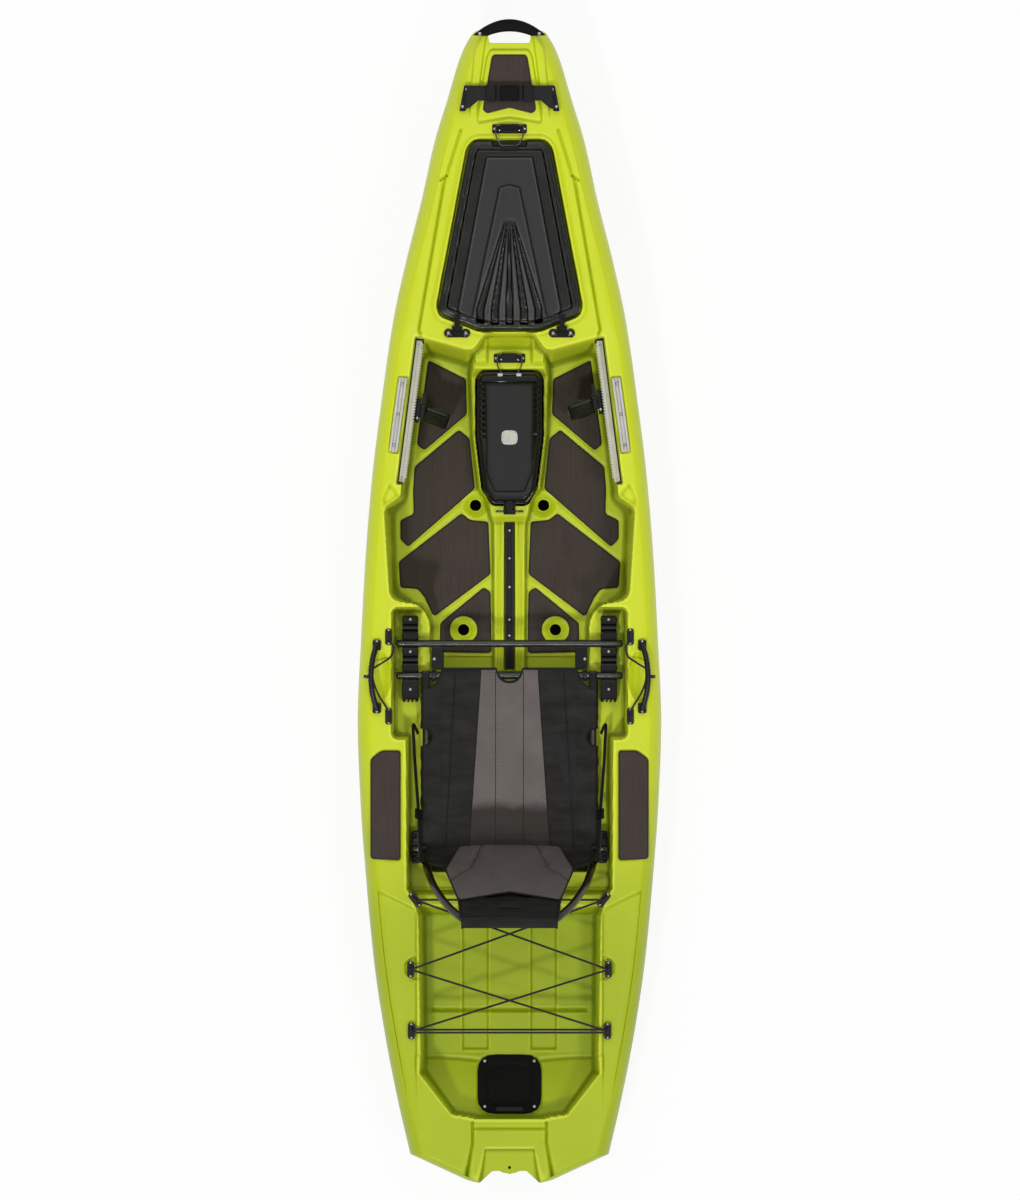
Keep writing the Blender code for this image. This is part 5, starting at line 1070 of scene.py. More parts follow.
def deck(x, y):
    """Height of the deck and of everything moulded into it, seen from above."""
    ax = np.abs(x)
    z = deck_z(y) + 0 * x
    crown = np.clip((ax - edge(y) + 0.032) / 0.032, 0, 1)
    z = z - 0.0045 * crown**2.2
    z = bow_details(ax, y, z)
    z = deck_creases(ax, y, z)
    z = rear_well(ax, y, z)
    z = footwell(x, y, z)
    z = front_slope(ax, y, z)
    z = floor_strips(ax, y, z)
    z = spine(ax, y, z)
    pocket = signed(x, y, CONSOLE_LINE)
    sunk = 0.105 + (z - 0.105) * rise((pocket - 0.001) / 0.005, 0.2, 0.3)
    z = lowered(z, pocket < 0.006, sunk)
    slot = box_distance(ax, y - 0.0175, 0.026, 0.411)
    z = lowered(z, slot < 0.0015, 0.106)
    z = side_details(ax, y, z)
    z = hatch_details(x, y, z)
    z = tank_details(ax, y, z)
    size = box_distance(x, (y - PLATE_MIDDLE) / math.cos(PLATE_SLOPE), 0.181, 0.181, 0.037)
    plane = PLATE_Z - 0.004 - (y - PLATE_MIDDLE) * math.tan(PLATE_SLOPE)
    z = lowered(z, size < 0.003, plane + 0.005 * ease((size - 0.0004) / 0.0025))
    return z


def flank_points(y):
    """The hull's side and bottom from the deck edge to the keel, on a smooth curve per row."""
    half, sheer, keel, flat = station(y)
    depth = sheer - keel
    tunnel = 0.024 * np.minimum(1.0, flat / 0.25)
    chine, widest = keel + 0.14 * depth, sheer - 0.3 * depth
    waist = flat + 0.74 * (half - flat)
    rim = edge(y)
    stops = np.stack([np.stack(pair, -1)
                      for pair in ((rim, sheer - 0.0045), (rim + 0.01, sheer - 0.013), (half, widest),
                                   (waist, chine + 0.36 * (widest - chine)), (flat, chine),
                                   (0.84 * flat, keel), (0.62 * flat, keel), (0.48 * flat, keel + tunnel),
                                   (0.26 * flat, keel + tunnel), (0.11 * flat, keel), (0 * flat, keel))], 1)
    gaps = np.linalg.norm(np.diff(stops, axis=1), axis=-1, keepdims=True)
    chord = np.diff(stops, axis=1) / np.maximum(gaps, 1e-6)
    inner = (chord[:, :-1] * gaps[:, 1:] + chord[:, 1:] * gaps[:, :-1]) / (gaps[:, 1:] + gaps[:, :-1])
    slope = np.concatenate([chord[:, :1], inner, chord[:, -1:]], axis=1)
    t = np.linspace(0, 1, 6, endpoint=False)[None, None, :, None]
    p, q = stops[:, :-1, None], stops[:, 1:, None]
    m, n, h = slope[:, :-1, None], slope[:, 1:, None], gaps[:, :, None]
    made = cubic(t, p, q, h * m, h * n).reshape(len(y), -1, 2)[:, 1:]
    made = np.concatenate([made, stops[:, -1:]], axis=1)
    made[..., 0] = np.minimum(made[..., 0], half[:, None])
    made[..., 1] = np.maximum(made[..., 1], keel[:, None])
    return made


COLUMNS = 271


def hull_zone(name, start, end, rows):
    """One length of the hull: a closed ring of deck, side and bottom at every row."""
    y = np.linspace(start, end, rows)
    x = edge(y)[:, None] * np.linspace(-1, 1, COLUMNS)[None]
    yy = np.broadcast_to(y[:, None], x.shape)
    height = deck(x, yy)
    top = spread(x, yy, height)
    flank = flank_points(y)
    right = spread(flank[..., 0], y[:, None], flank[..., 1])
    left = right[:, -2::-1] * np.array([-1, 1, 1])
    ring = np.concatenate([top, right, left], axis=1)
    for limit in (BOW, TRANSOM):
        s = np.clip(1 - np.abs(limit - y) / 0.01, 0, 1)[:, None]
        pull = 0.01 * (1 - np.sqrt(1 - s**2))
        half = station(y)[0][:, None]
        ring[..., 0] *= 1 - pull / half
        middle = ring[..., 2].mean(axis=1, keepdims=True)
        ring[..., 2] = middle + (ring[..., 2] - middle) * (1 - pull / 0.09)
    count = ring.shape[1]
    marks = np.zeros(ring.shape[:2])
    # The fold attribute drives the hull's painted shade in hollows and painted highlights on edges.
    marks[:, :COLUMNS] = folds_of(height, 3, 0.0045)
    return outward(make(name, ring, capped(rows, count), LIME, None, 62, marks=marks))


def cut(obj, *tools):
    """Takes closed tools out of a piece, once, and removes them."""
    for tool in tools:
        step = obj.modifiers.new("cut", "BOOLEAN")
        step.operation = "DIFFERENCE"
        step.solver = "EXACT"
        step.object = tool
    graph = bpy.context.evaluated_depsgraph_get()
    mesh = bpy.data.meshes.new_from_object(obj.evaluated_get(graph))
    obj.modifiers.clear()
    obj.data = mesh
    for tool in tools:
        bpy.data.objects.remove(tool)
    return obj


def drain(x, y):
    """A tool for a drain: a tapered round hole through the hull."""
    return turned(
        [(0, 0.2), (0.016, 0.2), (0.016, 0.06), (0.024, -0.03), (0, -0.03)], LIME, (x, y, 0), steps=28,
    )


def build_hull():
    """The hull's four lengths, with the handle gap, stern notch, plug hole and drains cut out."""
    bow = hull_zone("hull_bow", 0.8, BOW, 252)
    foot = hull_zone("hull_foot", 0.0, 0.8, 252)
    seat = hull_zone("hull_seat", -0.8, 0.0, 252)
    stern = hull_zone("hull_stern", TRANSOM, -0.8, 252)
    gap = rounded([(-0.0645, 1.6), (0.0645, 1.6), (0.0555, 1.547), (-0.0555, 1.547)], 0.006)
    cut(bow, plate(gap, [(0, -0.05), (0, 0.5)], LIME))
    lobe = [(0.09, -1.64), (0.084, -1.6125), (0.05, -1.5805), (0.044, -1.5785), (0.028, -1.5785),
            (0.017, -1.5835), (0.0, -1.586)]
    hole = turned([(0, 0.5), (0.0042, 0.5), (0.0042, 0.25), (0, 0.25)], LIME, (0, -1.569, 0))
    plug = turned(
        [(0, 0.03), (0.018, 0.03), (0.018, -0.03), (0, -0.03)], LIME, (0, PLUG_Y - 0.03, PLUG_Z), (0, 1, 0),
    )
    cut(stern, plate(both(lobe), [(0, -0.05), (0, 0.5)], LIME), hole, plug)
    cut(foot, *(drain(s * SCUPPERS[0][0], SCUPPERS[0][1]) for s in (1, -1)))
    cut(seat, *(drain(s * SCUPPERS[1][0], SCUPPERS[1][1]) for s in (1, -1)))
    for piece in (bow, foot, seat, stern):
        wear(piece, "hull")


# Fittings
def edged(obj):
    """A sheet's wide level top keeps its look and the pressed rim takes the darker one."""
    mesh = obj.data
    mesh.materials.append(FOAM_EDGE.material)
    top = (read(mesh.polygons, "normal")[:, 2] > 0.99) & (read(mesh.polygons, "area", 1)[:, 0] > 0.0005)
    mesh.polygons.foreach_set("material_index", 1 - top.astype(np.int32))
    return obj


def foam(name, outline, low, high, matrix=None):
    """A foam sheet whose pressed edge slopes down over 5 mm."""
    profile = [(0.0006, low), (0, low + 0.0006), (0, high - 0.0026), (0.0012, high - 0.0012),
               (0.0046, high - 0.0002), (0.005, high)]
    return plate(outline, profile, FOAM, matrix, 25, name=name)


def path_on(path, s):
    """A starboard path on the side that s stands for."""
    return [(s * x, y, z) for x, y, z in path]


def flip(outline):
    """The outline on the other side of the boat."""
    return [(-x, y) for x, y in reversed([tuple(p) for p in outline])]


def outline_on(outline, s):
    """A starboard outline on the side that s stands for."""
    return outline if s > 0 else flip(outline)


def build_pads():
    """Foam sheets: outlines with rounded corners, lifted along a pressed edge."""
    clear_of_spine = {(0.053, 0.225): 0.059, (0.05, 0.078): 0.053, (0.048, -0.137): 0.0505}
    for number, points in PAD_LINES.items():
        line = rounded([(clear_of_spine.get((x, y), x), y) for x, y in points], 0.008)
        for side, outline in (("right", line), ("left", flip(line))):
            pad = foam(f"foam_{number}_{side}", outline, FLOOR_Z + 0.0003, FLOOR_Z + 0.0053)
            if number == 4:
                x, y = SCUPPERS[1]
                x = x if side == "right" else -x
                cut(pad, turned([(0, 0.2), (0.04, 0.2), (0.0375, 0.05), (0, 0.05)], FOAM, (x, y, 0)))
            wear(edged(pad), f"floor_pad_{number}_{side}")
    line = rounded(SIDE_PAD, 0.01)
    for side, outline in (("right", line), ("left", flip(line))):
        pad = foam(f"side_foam_{side}", outline, SIDE_PAD_Z + 0.0003, SIDE_PAD_Z + 0.0063)
        wear(edged(pad), f"side_pad_{side}")
    half = [(0.044, 0.07), (0.05, 0.062), (0.074, -0.083), (0.062, -0.093), (0.0, -0.077)]
    line = rounded(both(half), 0.006)
    wear(edged(foam("bow_foam", line, 0.0123, 0.0173, BOW_FRAME)), "bow_pad")


def band(path, width, thick, look, side=(1, 0, 0), name="band"):
    """A flat strap: a rounded rectangle carried along a path, its sides along one direction."""
    path = np.asarray(path, float)
    along = unit(np.gradient(path, axis=0))
    side = np.broadcast_to(np.asarray(side, float), path.shape)
    side = unit(side - along * np.sum(side * along, -1, keepdims=True))
    lift = np.cross(along, side)
    a = angles(20)
    across = squared(np.cos(a), 0.28) * width / 2
    high = squared(np.sin(a), 0.9) * thick / 2
    points = path[:, None] + across[None, :, None] * side[:, None] + high[None, :, None] * lift[:, None]
    length = run_length(path)
    uv = spread(across[None], length[:, None])
    return outward(make(name, points, capped(len(path), len(a)), look, uv, 50))


def block(size, centre, matrix=None, radius=0.003, bevel=0.0015, look=GLOSS):
    """A moulded block with rounded corners in plan and softened upper and lower edges."""
    local = Matrix.Translation(centre)
    if matrix is not None:
        local = matrix @ local
    width, length, height = size
    return plate(oblong(width, length, radius), slab(-height / 2, height / 2, bevel), look, local)


def build_grip():
    """The carry grip, a squared ring swept between two parabolas, and its screws."""
    top = deck_at(1.568)
    u = np.linspace(-1, 1, 49)[:, None]
    outer = np.concatenate([0.101 * u, 1.568 + 0.0445 * (1 - u**2)], 1)
    inner = np.concatenate([0.06 * u, 1.566 + 0.012 * (1 - u**2)], 1)
    middle, reach = (outer + inner) / 2, (outer - inner) / 2
    a = angles(24)[None]
    across, high = squared(np.cos(a), 0.75), squared(np.sin(a), 0.75)
    flat = middle[:, None] + reach[:, None] * across[..., None]
    z = top + 0.0131 + 0.0115 * high + 0 * flat[..., 0]
    ring = np.concatenate([flat, z[..., None]], -1)
    grip = outward(make("bow_grip", ring, capped(*ring.shape[:2]), GRIP, None, 50))
    screws = [screw((s * 0.082, 1.5715, top + 0.0245), 0.0045) for s in (1, -1)]
    wear(merged("bow_grip_set", [grip, *screws]), "bow_handle")


def build_bow_strap():
    """Two brackets with their tabs, webbing on a smooth arch between them, and its buckle."""
    bracket = rounded([(0.109, -0.015), (0.126, -0.015), (0.139, -0.087), (0.121, -0.087)], 0.004)
    flare = [(0.087, -0.0165), (0.112, -0.015), (0.1235, -0.08), (0.112, -0.079), (0.088, -0.0585)]
    flare = rounded(flare, 0.003)
    for side, s in SIDES.items():
        body = plate(outline_on(bracket, s), slab(0.0033, 0.022, 0.003), GLOSS, BOW_FRAME)
        heads = screws_at(BOW_FRAME, [(s * 0.118, -0.026, 0.022), (s * 0.1295, -0.074, 0.022)], 0.0042)
        tab = plate(outline_on(flare, s), slab(0.0225, 0.0262, 0.0012), WEB, BOW_FRAME)
        wear(merged(f"bow_bracket_{side}", [body, tab, *heads]), f"bow_strap_bracket_{side}")
    half = [(0.119, 0.0236), (0.106, 0.0262), (0.092, 0.03), (0.07, 0.0318), (0.045, 0.0332), (0.0, 0.0342)]
    line = [(-x, -0.037, z) for x, z in half] + [(x, -0.037, z) for x, z in reversed(half[:-1])]
    path = moved(smooth_path(line, 0.004), BOW_FRAME)
    wear(band(path, 0.042, 0.0022, WEB, (0, 1, 0), name="bow_webbing"), "bow_strap")
    base = block((0.072, 0.047, 0.007), (0, -0.037, 0.039), BOW_FRAME, 0.005)
    dome = block((0.054, 0.043, 0.01), (0, -0.037, 0.044), BOW_FRAME, 0.008, 0.004, look=GRIP)
    bars = [block((0.026, 0.049, 0.006), (s * 0.052, -0.037, 0.0385), BOW_FRAME, 0.004) for s in (1, -1)]
    wear(merged("bow_buckle", [base, dome, *bars]), "bow_strap_buckle")


LID_PANEL = rounded(both([(0.066, 0.479), (0.146, 0.052), (0.134, 0.034), (0.06, 0.018)]), 0.008)


def flutes(x, v):
    """Distance from the nearest of the five channels, which spread and widen toward the hinges."""
    run = np.clip((0.315 - v) / 0.26, 0, 1)
    lines = [x - number * (0.004 + 0.0362 * run) for number in range(-2, 3)]
    return np.min(np.abs(lines), axis=0) - 0.0022 - 0.0085 * run


def hatch_top(x, v):
    """Height of the hatch lid: rounded border, inner step, raised panel, chevron and flutes."""
    d = -signed(x, v, HATCH_LINE)
    z = 0.004 - 0.006 * (1 - np.sqrt(1 - np.clip(1 - d / 0.008, 0, 1) ** 2))
    z = z + groove(d - 0.0235, 0.006, 0.005) + groove(d - 0.012, 0.003, 0.001)
    panel = -signed(x, v, LID_PANEL)
    z = z + 0.0115 * ease(panel / 0.007)
    chevron = both([(0.0, 0.402), (0.03, 0.394), (0.109, 0.02), (0.094, 0.0)])
    raised = -signed(x, v, rounded(chevron, 0.003))
    z = z + 0.0062 * ease(raised / 0.008) * ease(panel / 0.007)
    run = np.clip((0.315 - v) / 0.26, 0, 1)
    sunk = (0.003 + 0.014 * run) * ease(run * 8) * ease((panel + 0.01) / 0.012)
    z = z - sunk * (1 - ease((flutes(x, v) + 0.0035) / 0.0055))
    slot = box_distance(x, v - 0.525, 0.092, 0.04, 0.003)
    z = lowered(z, slot < 0.003, -0.022 + (z + 0.022) * ease(slot / 0.003))
    return z


def latch(prefix, matrix, y, z, half, reach, drop, depth):
    """An over-centre latch: pocketed base with ears, a ribbed lever and its wire bail."""
    ear = half + 0.0035
    parts = [block((2 * half + 0.044, 0.026, 0.004), (0, y + 0.004, z + 0.002), matrix, 0.005)]
    for s in (1, -1):
        cheek = s * (ear + 0.0025), y, z + 0.0095
        parts.append(block((0.005, 0.018, 0.017), cheek, matrix, 0.0015, 0.0012))
        parts += screws_at(matrix, [(s * (half + 0.0155), y + 0.004, z + 0.004)], 0.004)
    parts.append(pin(-ear - 0.003, ear + 0.003, y, z + 0.012, 0.0024, STEEL, 12, matrix))
    wear(merged(f"{prefix}_latch_foot", parts), f"{prefix}_latch_base")
    pivot = matrix @ Matrix.Translation((0, y, z + 0.012))
    lever = [block((2 * half, depth, 0.0076), (0, depth / 2 - 0.004, 0), pivot, 0.003, 0.002)]
    for k in range(5):
        rib = (k - 2) * half * 0.36, depth / 2 - 0.004, 0.0042
        lever.append(block((0.0022, depth - 0.006, 0.0022), rib, pivot, 0.0008, 0.0006))
    wear(merged(f"{prefix}_lever", lever), f"{prefix}_latch_lever")
    hinge = pivot @ Matrix.Translation((0, depth - 0.008, 0))
    arm = half + 0.0115
    path = [
        (half - 0.008, 0, 0), (arm, 0, 0), (arm, -reach * 0.55, 0.0045), (half - 0.002, -reach, drop),
        (-half + 0.002, -reach, drop), (-arm, -reach * 0.55, 0.0045), (-arm, 0, 0), (-half + 0.008, 0, 0),
    ]
    bail = tube(moved(bent_path(path, 0.005), hinge), 0.002, WIRE, 14, name=f"{prefix}_wire")
    wear(bail, f"{prefix}_bail")


def build_hatch_lid():
    """The lid under its height field, with its hinge arms and its keeper."""
    half = HATCH_LINE[HATCH_LINE[:, 0] > 0]
    lid = relief("hatch_cover", half, hatch_top, -0.0312, LID, HATCH_FRAME, 280, 190, 32)
    mesh = lid.data
    mesh.materials.append(BORDER.material)
    back = np.array(HATCH_FRAME.inverted().to_3x3())
    places = (read(mesh.polygons, "center") - np.array(HATCH_FRAME.translation)) @ back.T
    px, pv = places[:, 0], places[:, 1]
    # Faces outside the raised panel take the darker, glossier border; the channel floors take it too, as
    # painted shade.
    dark = signed(px, pv, LID_PANEL) > -0.0005
    dark |= (flutes(px, pv) < -0.0012) & (pv < 0.285)
    mesh.polygons.foreach_set("material_index", dark.astype(np.int32))
    parts = [lid]
    for s in (1, -1):
        x = s * HINGE_X
        parts.append(block((0.016, 0.046, 0.006), (x, 0.019, 0.0035), HATCH_FRAME))
        parts.append(pin(x - 0.008, x + 0.008, 0, 0, 0.0056, GLOSS, 16, HATCH_FRAME))
    parts.append(block((0.05, 0.01, 0.0115), (0, 0.499, 0.0075), HATCH_FRAME, 0.002))
    wear(merged("hatch_cover_set", parts), "hatch_lid")


def build_hatch_hinges():
    """Two hinges on the deck at the lid's rear edge, and the lid's draw latch."""
    up = up_of(HATCH_FRAME)
    for side, s in SIDES.items():
        x = s * HINGE_X
        parts = [block((0.052, 0.018, 0.004), (x, -0.015, -0.0075), HATCH_FRAME)]
        for k in (1, -1):
            foot = HATCH_FRAME @ Vector((x + k * 0.024, -0.012, -0.0094))
            dome = [(0, 0), (0.0125, 0), (0.0125, 0.004), (0.0112, 0.0068), (0.0085, 0.0082),
                    (0.0055, 0.0084), (0, 0.0084)]
            parts.append(turned(dome, GLOSS, foot, up))
            parts.append(screw(foot + up * 0.0086, 0.0046, up))
            parts.append(block((0.006, 0.026, 0.01), (x + k * 0.0118, -0.005, -0.002), HATCH_FRAME, 0.002))
        parts.append(pin(x - 0.015, x + 0.015, 0, 0, 0.0025, STEEL, 12, HATCH_FRAME))
        wear(merged(f"hinge_{side}", parts), f"hatch_hinge_{side}")
    latch("hatch", HATCH_FRAME, HATCH_LENGTH + 0.03, -0.0097, 0.026, 0.0555, 0.002, 0.022)


def build_tray():
    """The tray, an outline inset and lifted along a wall profile, and its hinge block and pin."""
    high = TRAY_TOP
    outer = [(0, 0.1055), (0, high - 0.002), (0.0006, high - 0.0006), (0.002, high), (0.0085, high),
             (0.01, high - 0.0008), (0.011, high - 0.003), (0.0125, 0.112)]
    tub = plate(CONSOLE_LINE, outer, GLOSS, None, 40)
    parts = [tub, block((0.034, 0.034, 0.012), (0, CONSOLE_BACK - 0.014, high - 0.022), look=BLACK)]
    for s in (1, -1):
        parts.append(block((0.007, 0.016, 0.03), (s * 0.0135, LID_PIN[0], 0.22), None, 0.002))
    parts.append(pin(-0.0372, 0.0372, *LID_PIN, 0.003, COAT))
    wear(merged("console_tray_set", parts), "console_box")


def build_console_lid():
    """The lid, a shell with slots cut in its sides under a raised panel, and its draw latch."""
    low = TRAY_TOP + 0.0003
    profile = [(0.0004, low), (0, low + 0.0006), (0.0002, low + 0.003), (0.003, low + 0.0075),
               (0.007, low + 0.0105), (0.009, low + 0.011)]
    shell = plate(inset(CONSOLE_LINE, 0.004), profile, GLOSS, None, 30)
    slot_tools = [block((0.082, 0.034, 0.05), (0, CONSOLE_FRONT + 0.0105, low))]
    for s in (1, -1):
        for k in range(10):
            y = CONSOLE_FRONT - 0.032 - 0.0165 * k
            slot_tools.append(block((0.013, 0.0085, 0.012), (s * 0.0815, y, low + 0.0105), None, 0.002))
    cut(shell, *slot_tools)
    panel_half = [(0.069, 0.611), (0.066, 0.362), (0.043, 0.306)]
    panel = plate(rounded(both(panel_half), 0.01),
                  [(0, low + 0.006), (0, low + 0.0135), (0.0012, low + 0.015), (0.0058, low + 0.0192),
                   (0.007, low + 0.0196), (0.0098, low + 0.0196), (0.0108, low + 0.019)], MATT, None, 25)
    ring = plate(oblong(0.046, 0.04, 0.016, (0, 0.458)), slab(low + 0.0185, low + 0.0212, 0.001), STEEL)
    inlay = plate(oblong(0.038, 0.032, 0.013, (0, 0.458)), slab(low + 0.019, low + 0.0217, 0.0006), RAIL)
    keeper = block((0.04, 0.008, 0.016), (0, CONSOLE_FRONT - 0.015, low + 0.01), None, 0.002)
    lugs = [block((0.015, 0.009, 0.004), (s * 0.026, CONSOLE_FRONT - 0.0085, low + 0.0125), None, 0.002,
                  look=STEEL) for s in (1, -1)]
    web = block((0.018, 0.04, 0.006), (0, CONSOLE_BACK - 0.008, low + 0.004))
    knuckle = pin(-0.009, 0.009, *LID_PIN, 0.0063, GLOSS, 16)
    wear(merged("console_cover_set", [shell, panel, ring, inlay, keeper, *lugs, web, knuckle]),
         "console_lid")
    latch("console", Matrix.Identity(4), CONSOLE_FRONT + 0.034, 0.2263, 0.022, 0.0555, 0.004, 0.022)


def extruded(name, section, length, look, matrix):
    """A section in x and z drawn out along y, with closed ends."""
    section = np.asarray(section, float)
    count = len(section)
    ys = np.linspace(-length / 2, length / 2, 3)
    points = np.stack([spread(section[:, 0], y, section[:, 1]) for y in ys])
    return outward(make(name, moved(points, matrix), capped(3, count), look, None, 30))


def channel(name, length, width, height, look, matrix, screws):
    """A gear track: a bar with a T slot along its top and screws on the slot's floor."""
    half, mouth, slot, lip = width / 2, width * 0.19, width * 0.33, height * 0.28
    b = 0.0009
    section = [(-half, 0), (half, 0), (half, height - b), (half - b, height), (mouth + b, height),
               (mouth, height - b), (mouth, height - lip), (slot, height - lip), (slot, lip), (-slot, lip),
               (-slot, height - lip), (-mouth, height - lip), (-mouth, height - b), (-mouth - b, height),
               (-half + b, height), (-half, height - b)]
    heads = screws_at(matrix, [(0, y, height - 0.0022) for y in screws], width * 0.165)
    return merged(name, [extruded(f"{name}_bar", section, length, look, matrix), *heads])


def build_gear_tracks():
    """A gear track on each side deck and the centre track in the spine."""
    floor = deck_at(TRACK_MIDDLE[1]) - 0.008
    tilt = pitch(TRACK_MIDDLE[1], 0.207)
    for side, s in SIDES.items():
        turn = Matrix.Rotation(s * TRACK_YAW, 4, "Z") @ Matrix.Rotation(tilt, 4, "X")
        place = Matrix.Translation((s * TRACK_MIDDLE[0], TRACK_MIDDLE[1], floor + 0.0003)) @ turn
        wear(channel(f"track_{side}", 0.207, 0.024, 0.011, TRACK, place, (-0.086, 0.0, 0.086)),
             f"gear_track_{side}")
    front, back = 0.223, -0.188
    place = Matrix.Translation((0, (front + back) / 2, 0.1063))
    ys = [y - (front + back) / 2 for y in (0.2003, 0.1227, 0.0423, -0.0492, -0.0936)]
    wear(channel("track_centre", front - back - 0.002, 0.025, 0.0115, SATIN, place, ys), "center_track")


def build_foot_rails():
    """Foot rails: a slotted section drawn out, a comb of teeth along it and a screw at each end."""
    h, top, b = RAIL_HALF, RAIL_HEIGHT, 0.001
    mid = top * RAIL_SLOT
    section = [(-h, 0), (h, 0), (h, top - b), (h - b, top), (0.0012, top), (0.0006, top - 0.0009),
               (-0.0006, top - 0.0009), (-0.0012, top), (-h + b, top), (-h, top - b), (-h, mid + 0.007),
               (-h + 0.004, mid + 0.007), (-h + 0.004, mid - 0.007), (-h, mid - 0.007)]
    comb = [(-h + 0.002, 0.1935)]
    for k in range(48):
        start = 0.1915 - k * 0.0079
        comb += [(-h - 0.0004, start), (-h - 0.0042, start - 0.0024), (-h - 0.0042, start - 0.004),
                 (-h - 0.0004, start - 0.0064)]
    comb.append((-h + 0.002, comb[-1][1]))
    for side, s in SIDES.items():
        place = placed((s * RAIL_MIDDLE[0], RAIL_MIDDLE[1], RAIL_Z), s * RAIL_YAW, "Z")
        bar = extruded(f"rail_bar_{side}", outline_on(section, s), 0.395, RAIL, place)
        teeth = [level(outline_on(comb, s), z) for z in (0.0385, top - 0.0004)]
        points = moved(np.concatenate(teeth), place)
        rack = outward(make(f"rail_comb_{side}", points, capped(2, len(comb)), RAIL, None, 30))
        heads = [screw(place @ Vector((0, v, top - 0.0002)), 0.0034) for v in (-0.185, 0.185)]
        wear(merged(f"rail_{side}", [bar, rack, *heads]), f"foot_rail_{side}")


def build_foot_braces():
    """Carriage, boss and a dished pedal with grip ribs on each rail, and the release lever."""
    x, y = RAIL_MIDDLE
    for s, name, shift in ((1, "right", 0.03), (-1, "left", 0.006)):
        frame = placed((s * x, y, RAIL_Z), s * RAIL_YAW, "Z")
        frame = frame @ Matrix.Translation((0, shift, 0))
        inner, mid = -s * RAIL_HALF, RAIL_HEIGHT * RAIL_SLOT
        parts = [block((0.012, 0.07, 0.034), (inner - s * 0.0118, 0, mid - 0.006), frame, 0.003, 0.003),
                 block((0.012, 0.06, 0.013), (inner - s * 0.0035, 0, mid), frame, 0.002, look=BLACK),
                 block((0.018, 0.036, 0.07), (inner - s * 0.023, -0.002, -0.028), frame, 0.005, 0.004),
                 block((0.06, 0.022, 0.01), (inner - s * 0.052, 0.002, -0.03), frame, 0.006, 0.003)]
        lean = Matrix.Rotation(s * math.radians(12), 4, "Z") @ Matrix.Rotation(math.radians(68), 4, "X")
        pedal = frame @ Matrix.Translation((inner - s * 0.062, -0.014, -0.048)) @ lean
        parts.append(plate(oblong(0.078, 0.095, 0.014), slab(-0.006, 0.006, 0.003), GLOSS, pedal))
        for k in range(5):
            bar = pedal @ Matrix.Translation((0, (k - 2) * 0.016, 0.0062))
            parts.append(plate(oblong(0.062, 0.006, 0.0028), slab(-0.001, 0.0016, 0.0008), BLACK, bar))
        parts.append(screw(frame @ Vector((inner - s * 0.0118, -0.022, mid + 0.011)), 0.0038))
        wear(merged(f"brace_{name}", parts), f"foot_brace_{name}")
        pivot = frame @ Matrix.Translation((inner - s * 0.025, 0.015, -0.004))
        lever = [block((0.0116, 0.034, 0.0056), (0, 0.0188, -0.002), pivot, 0.005, 0.0015)]
        lever.append(pin(-0.0055, 0.0055, 0, 0, 0.0039, GLOSS, 14, pivot, 0.98))
        wear(merged(f"trigger_{name}", lever), f"foot_brace_trigger_{name}")


# Seat
LEAN = math.radians(26.6)
TUBE_R, SIDE_X, BAR_HALF, REAR_HALF = 0.0105, 0.232, 0.314, 0.2598 + 0.012 + 0.002
BACK_TOP, BACK_REACH = 0.428, TUBE_R + 0.0031
AXIS = np.array([0, SEAT_BACK, BAR_Z + 0.026])


def back_place(x, up, forward):
    """World points of the backrest: sideways, up along it and forward of it."""
    y = AXIS[1] - math.sin(LEAN) * up + math.cos(LEAN) * forward
    z = AXIS[2] + math.cos(LEAN) * up + math.sin(LEAN) * forward
    return spread(x, y, z)


def cloth(name, grid, thickness, look, uv):
    """A closed sheet: the grid moved half its thickness each way along its own normals."""
    grid = np.asarray(grid, float)
    along, across = np.gradient(grid, axis=0), np.gradient(grid, axis=1)
    normal = unit(np.cross(across, along))
    if normal[..., 2].mean() < 0:
        normal = -normal
    both_sides = np.concatenate(
        [(grid + normal * thickness / 2).reshape(-1, 3), (grid - normal * thickness / 2).reshape(-1, 3)],
    )
    uv = np.tile(np.asarray(uv).reshape(-1, 2), (2, 1))
    return outward(make(name, both_sides, two_layers(*grid.shape[:2]), look, uv, 60))


SEAT_START, SEAT_STOP, CLOTH_HALF, WRAP_R = -0.1845, -0.697, 0.228, TUBE_R + 0.0023


def seat_front(x):
    """The front edge of the seat cloth: a round notch in the middle and hollow corners."""
    ax = np.abs(x)
    notch = SEAT_START - np.sqrt(np.maximum(0.037**2 - ax**2, 0))
    corner = SEAT_START + 0.001 - np.sqrt(np.maximum(0.062**2 - (0.25 - ax) ** 2, 0))
    return np.minimum(np.where(ax < 0.037, notch, SEAT_START), np.where(ax > 0.1885, corner, SEAT_START))


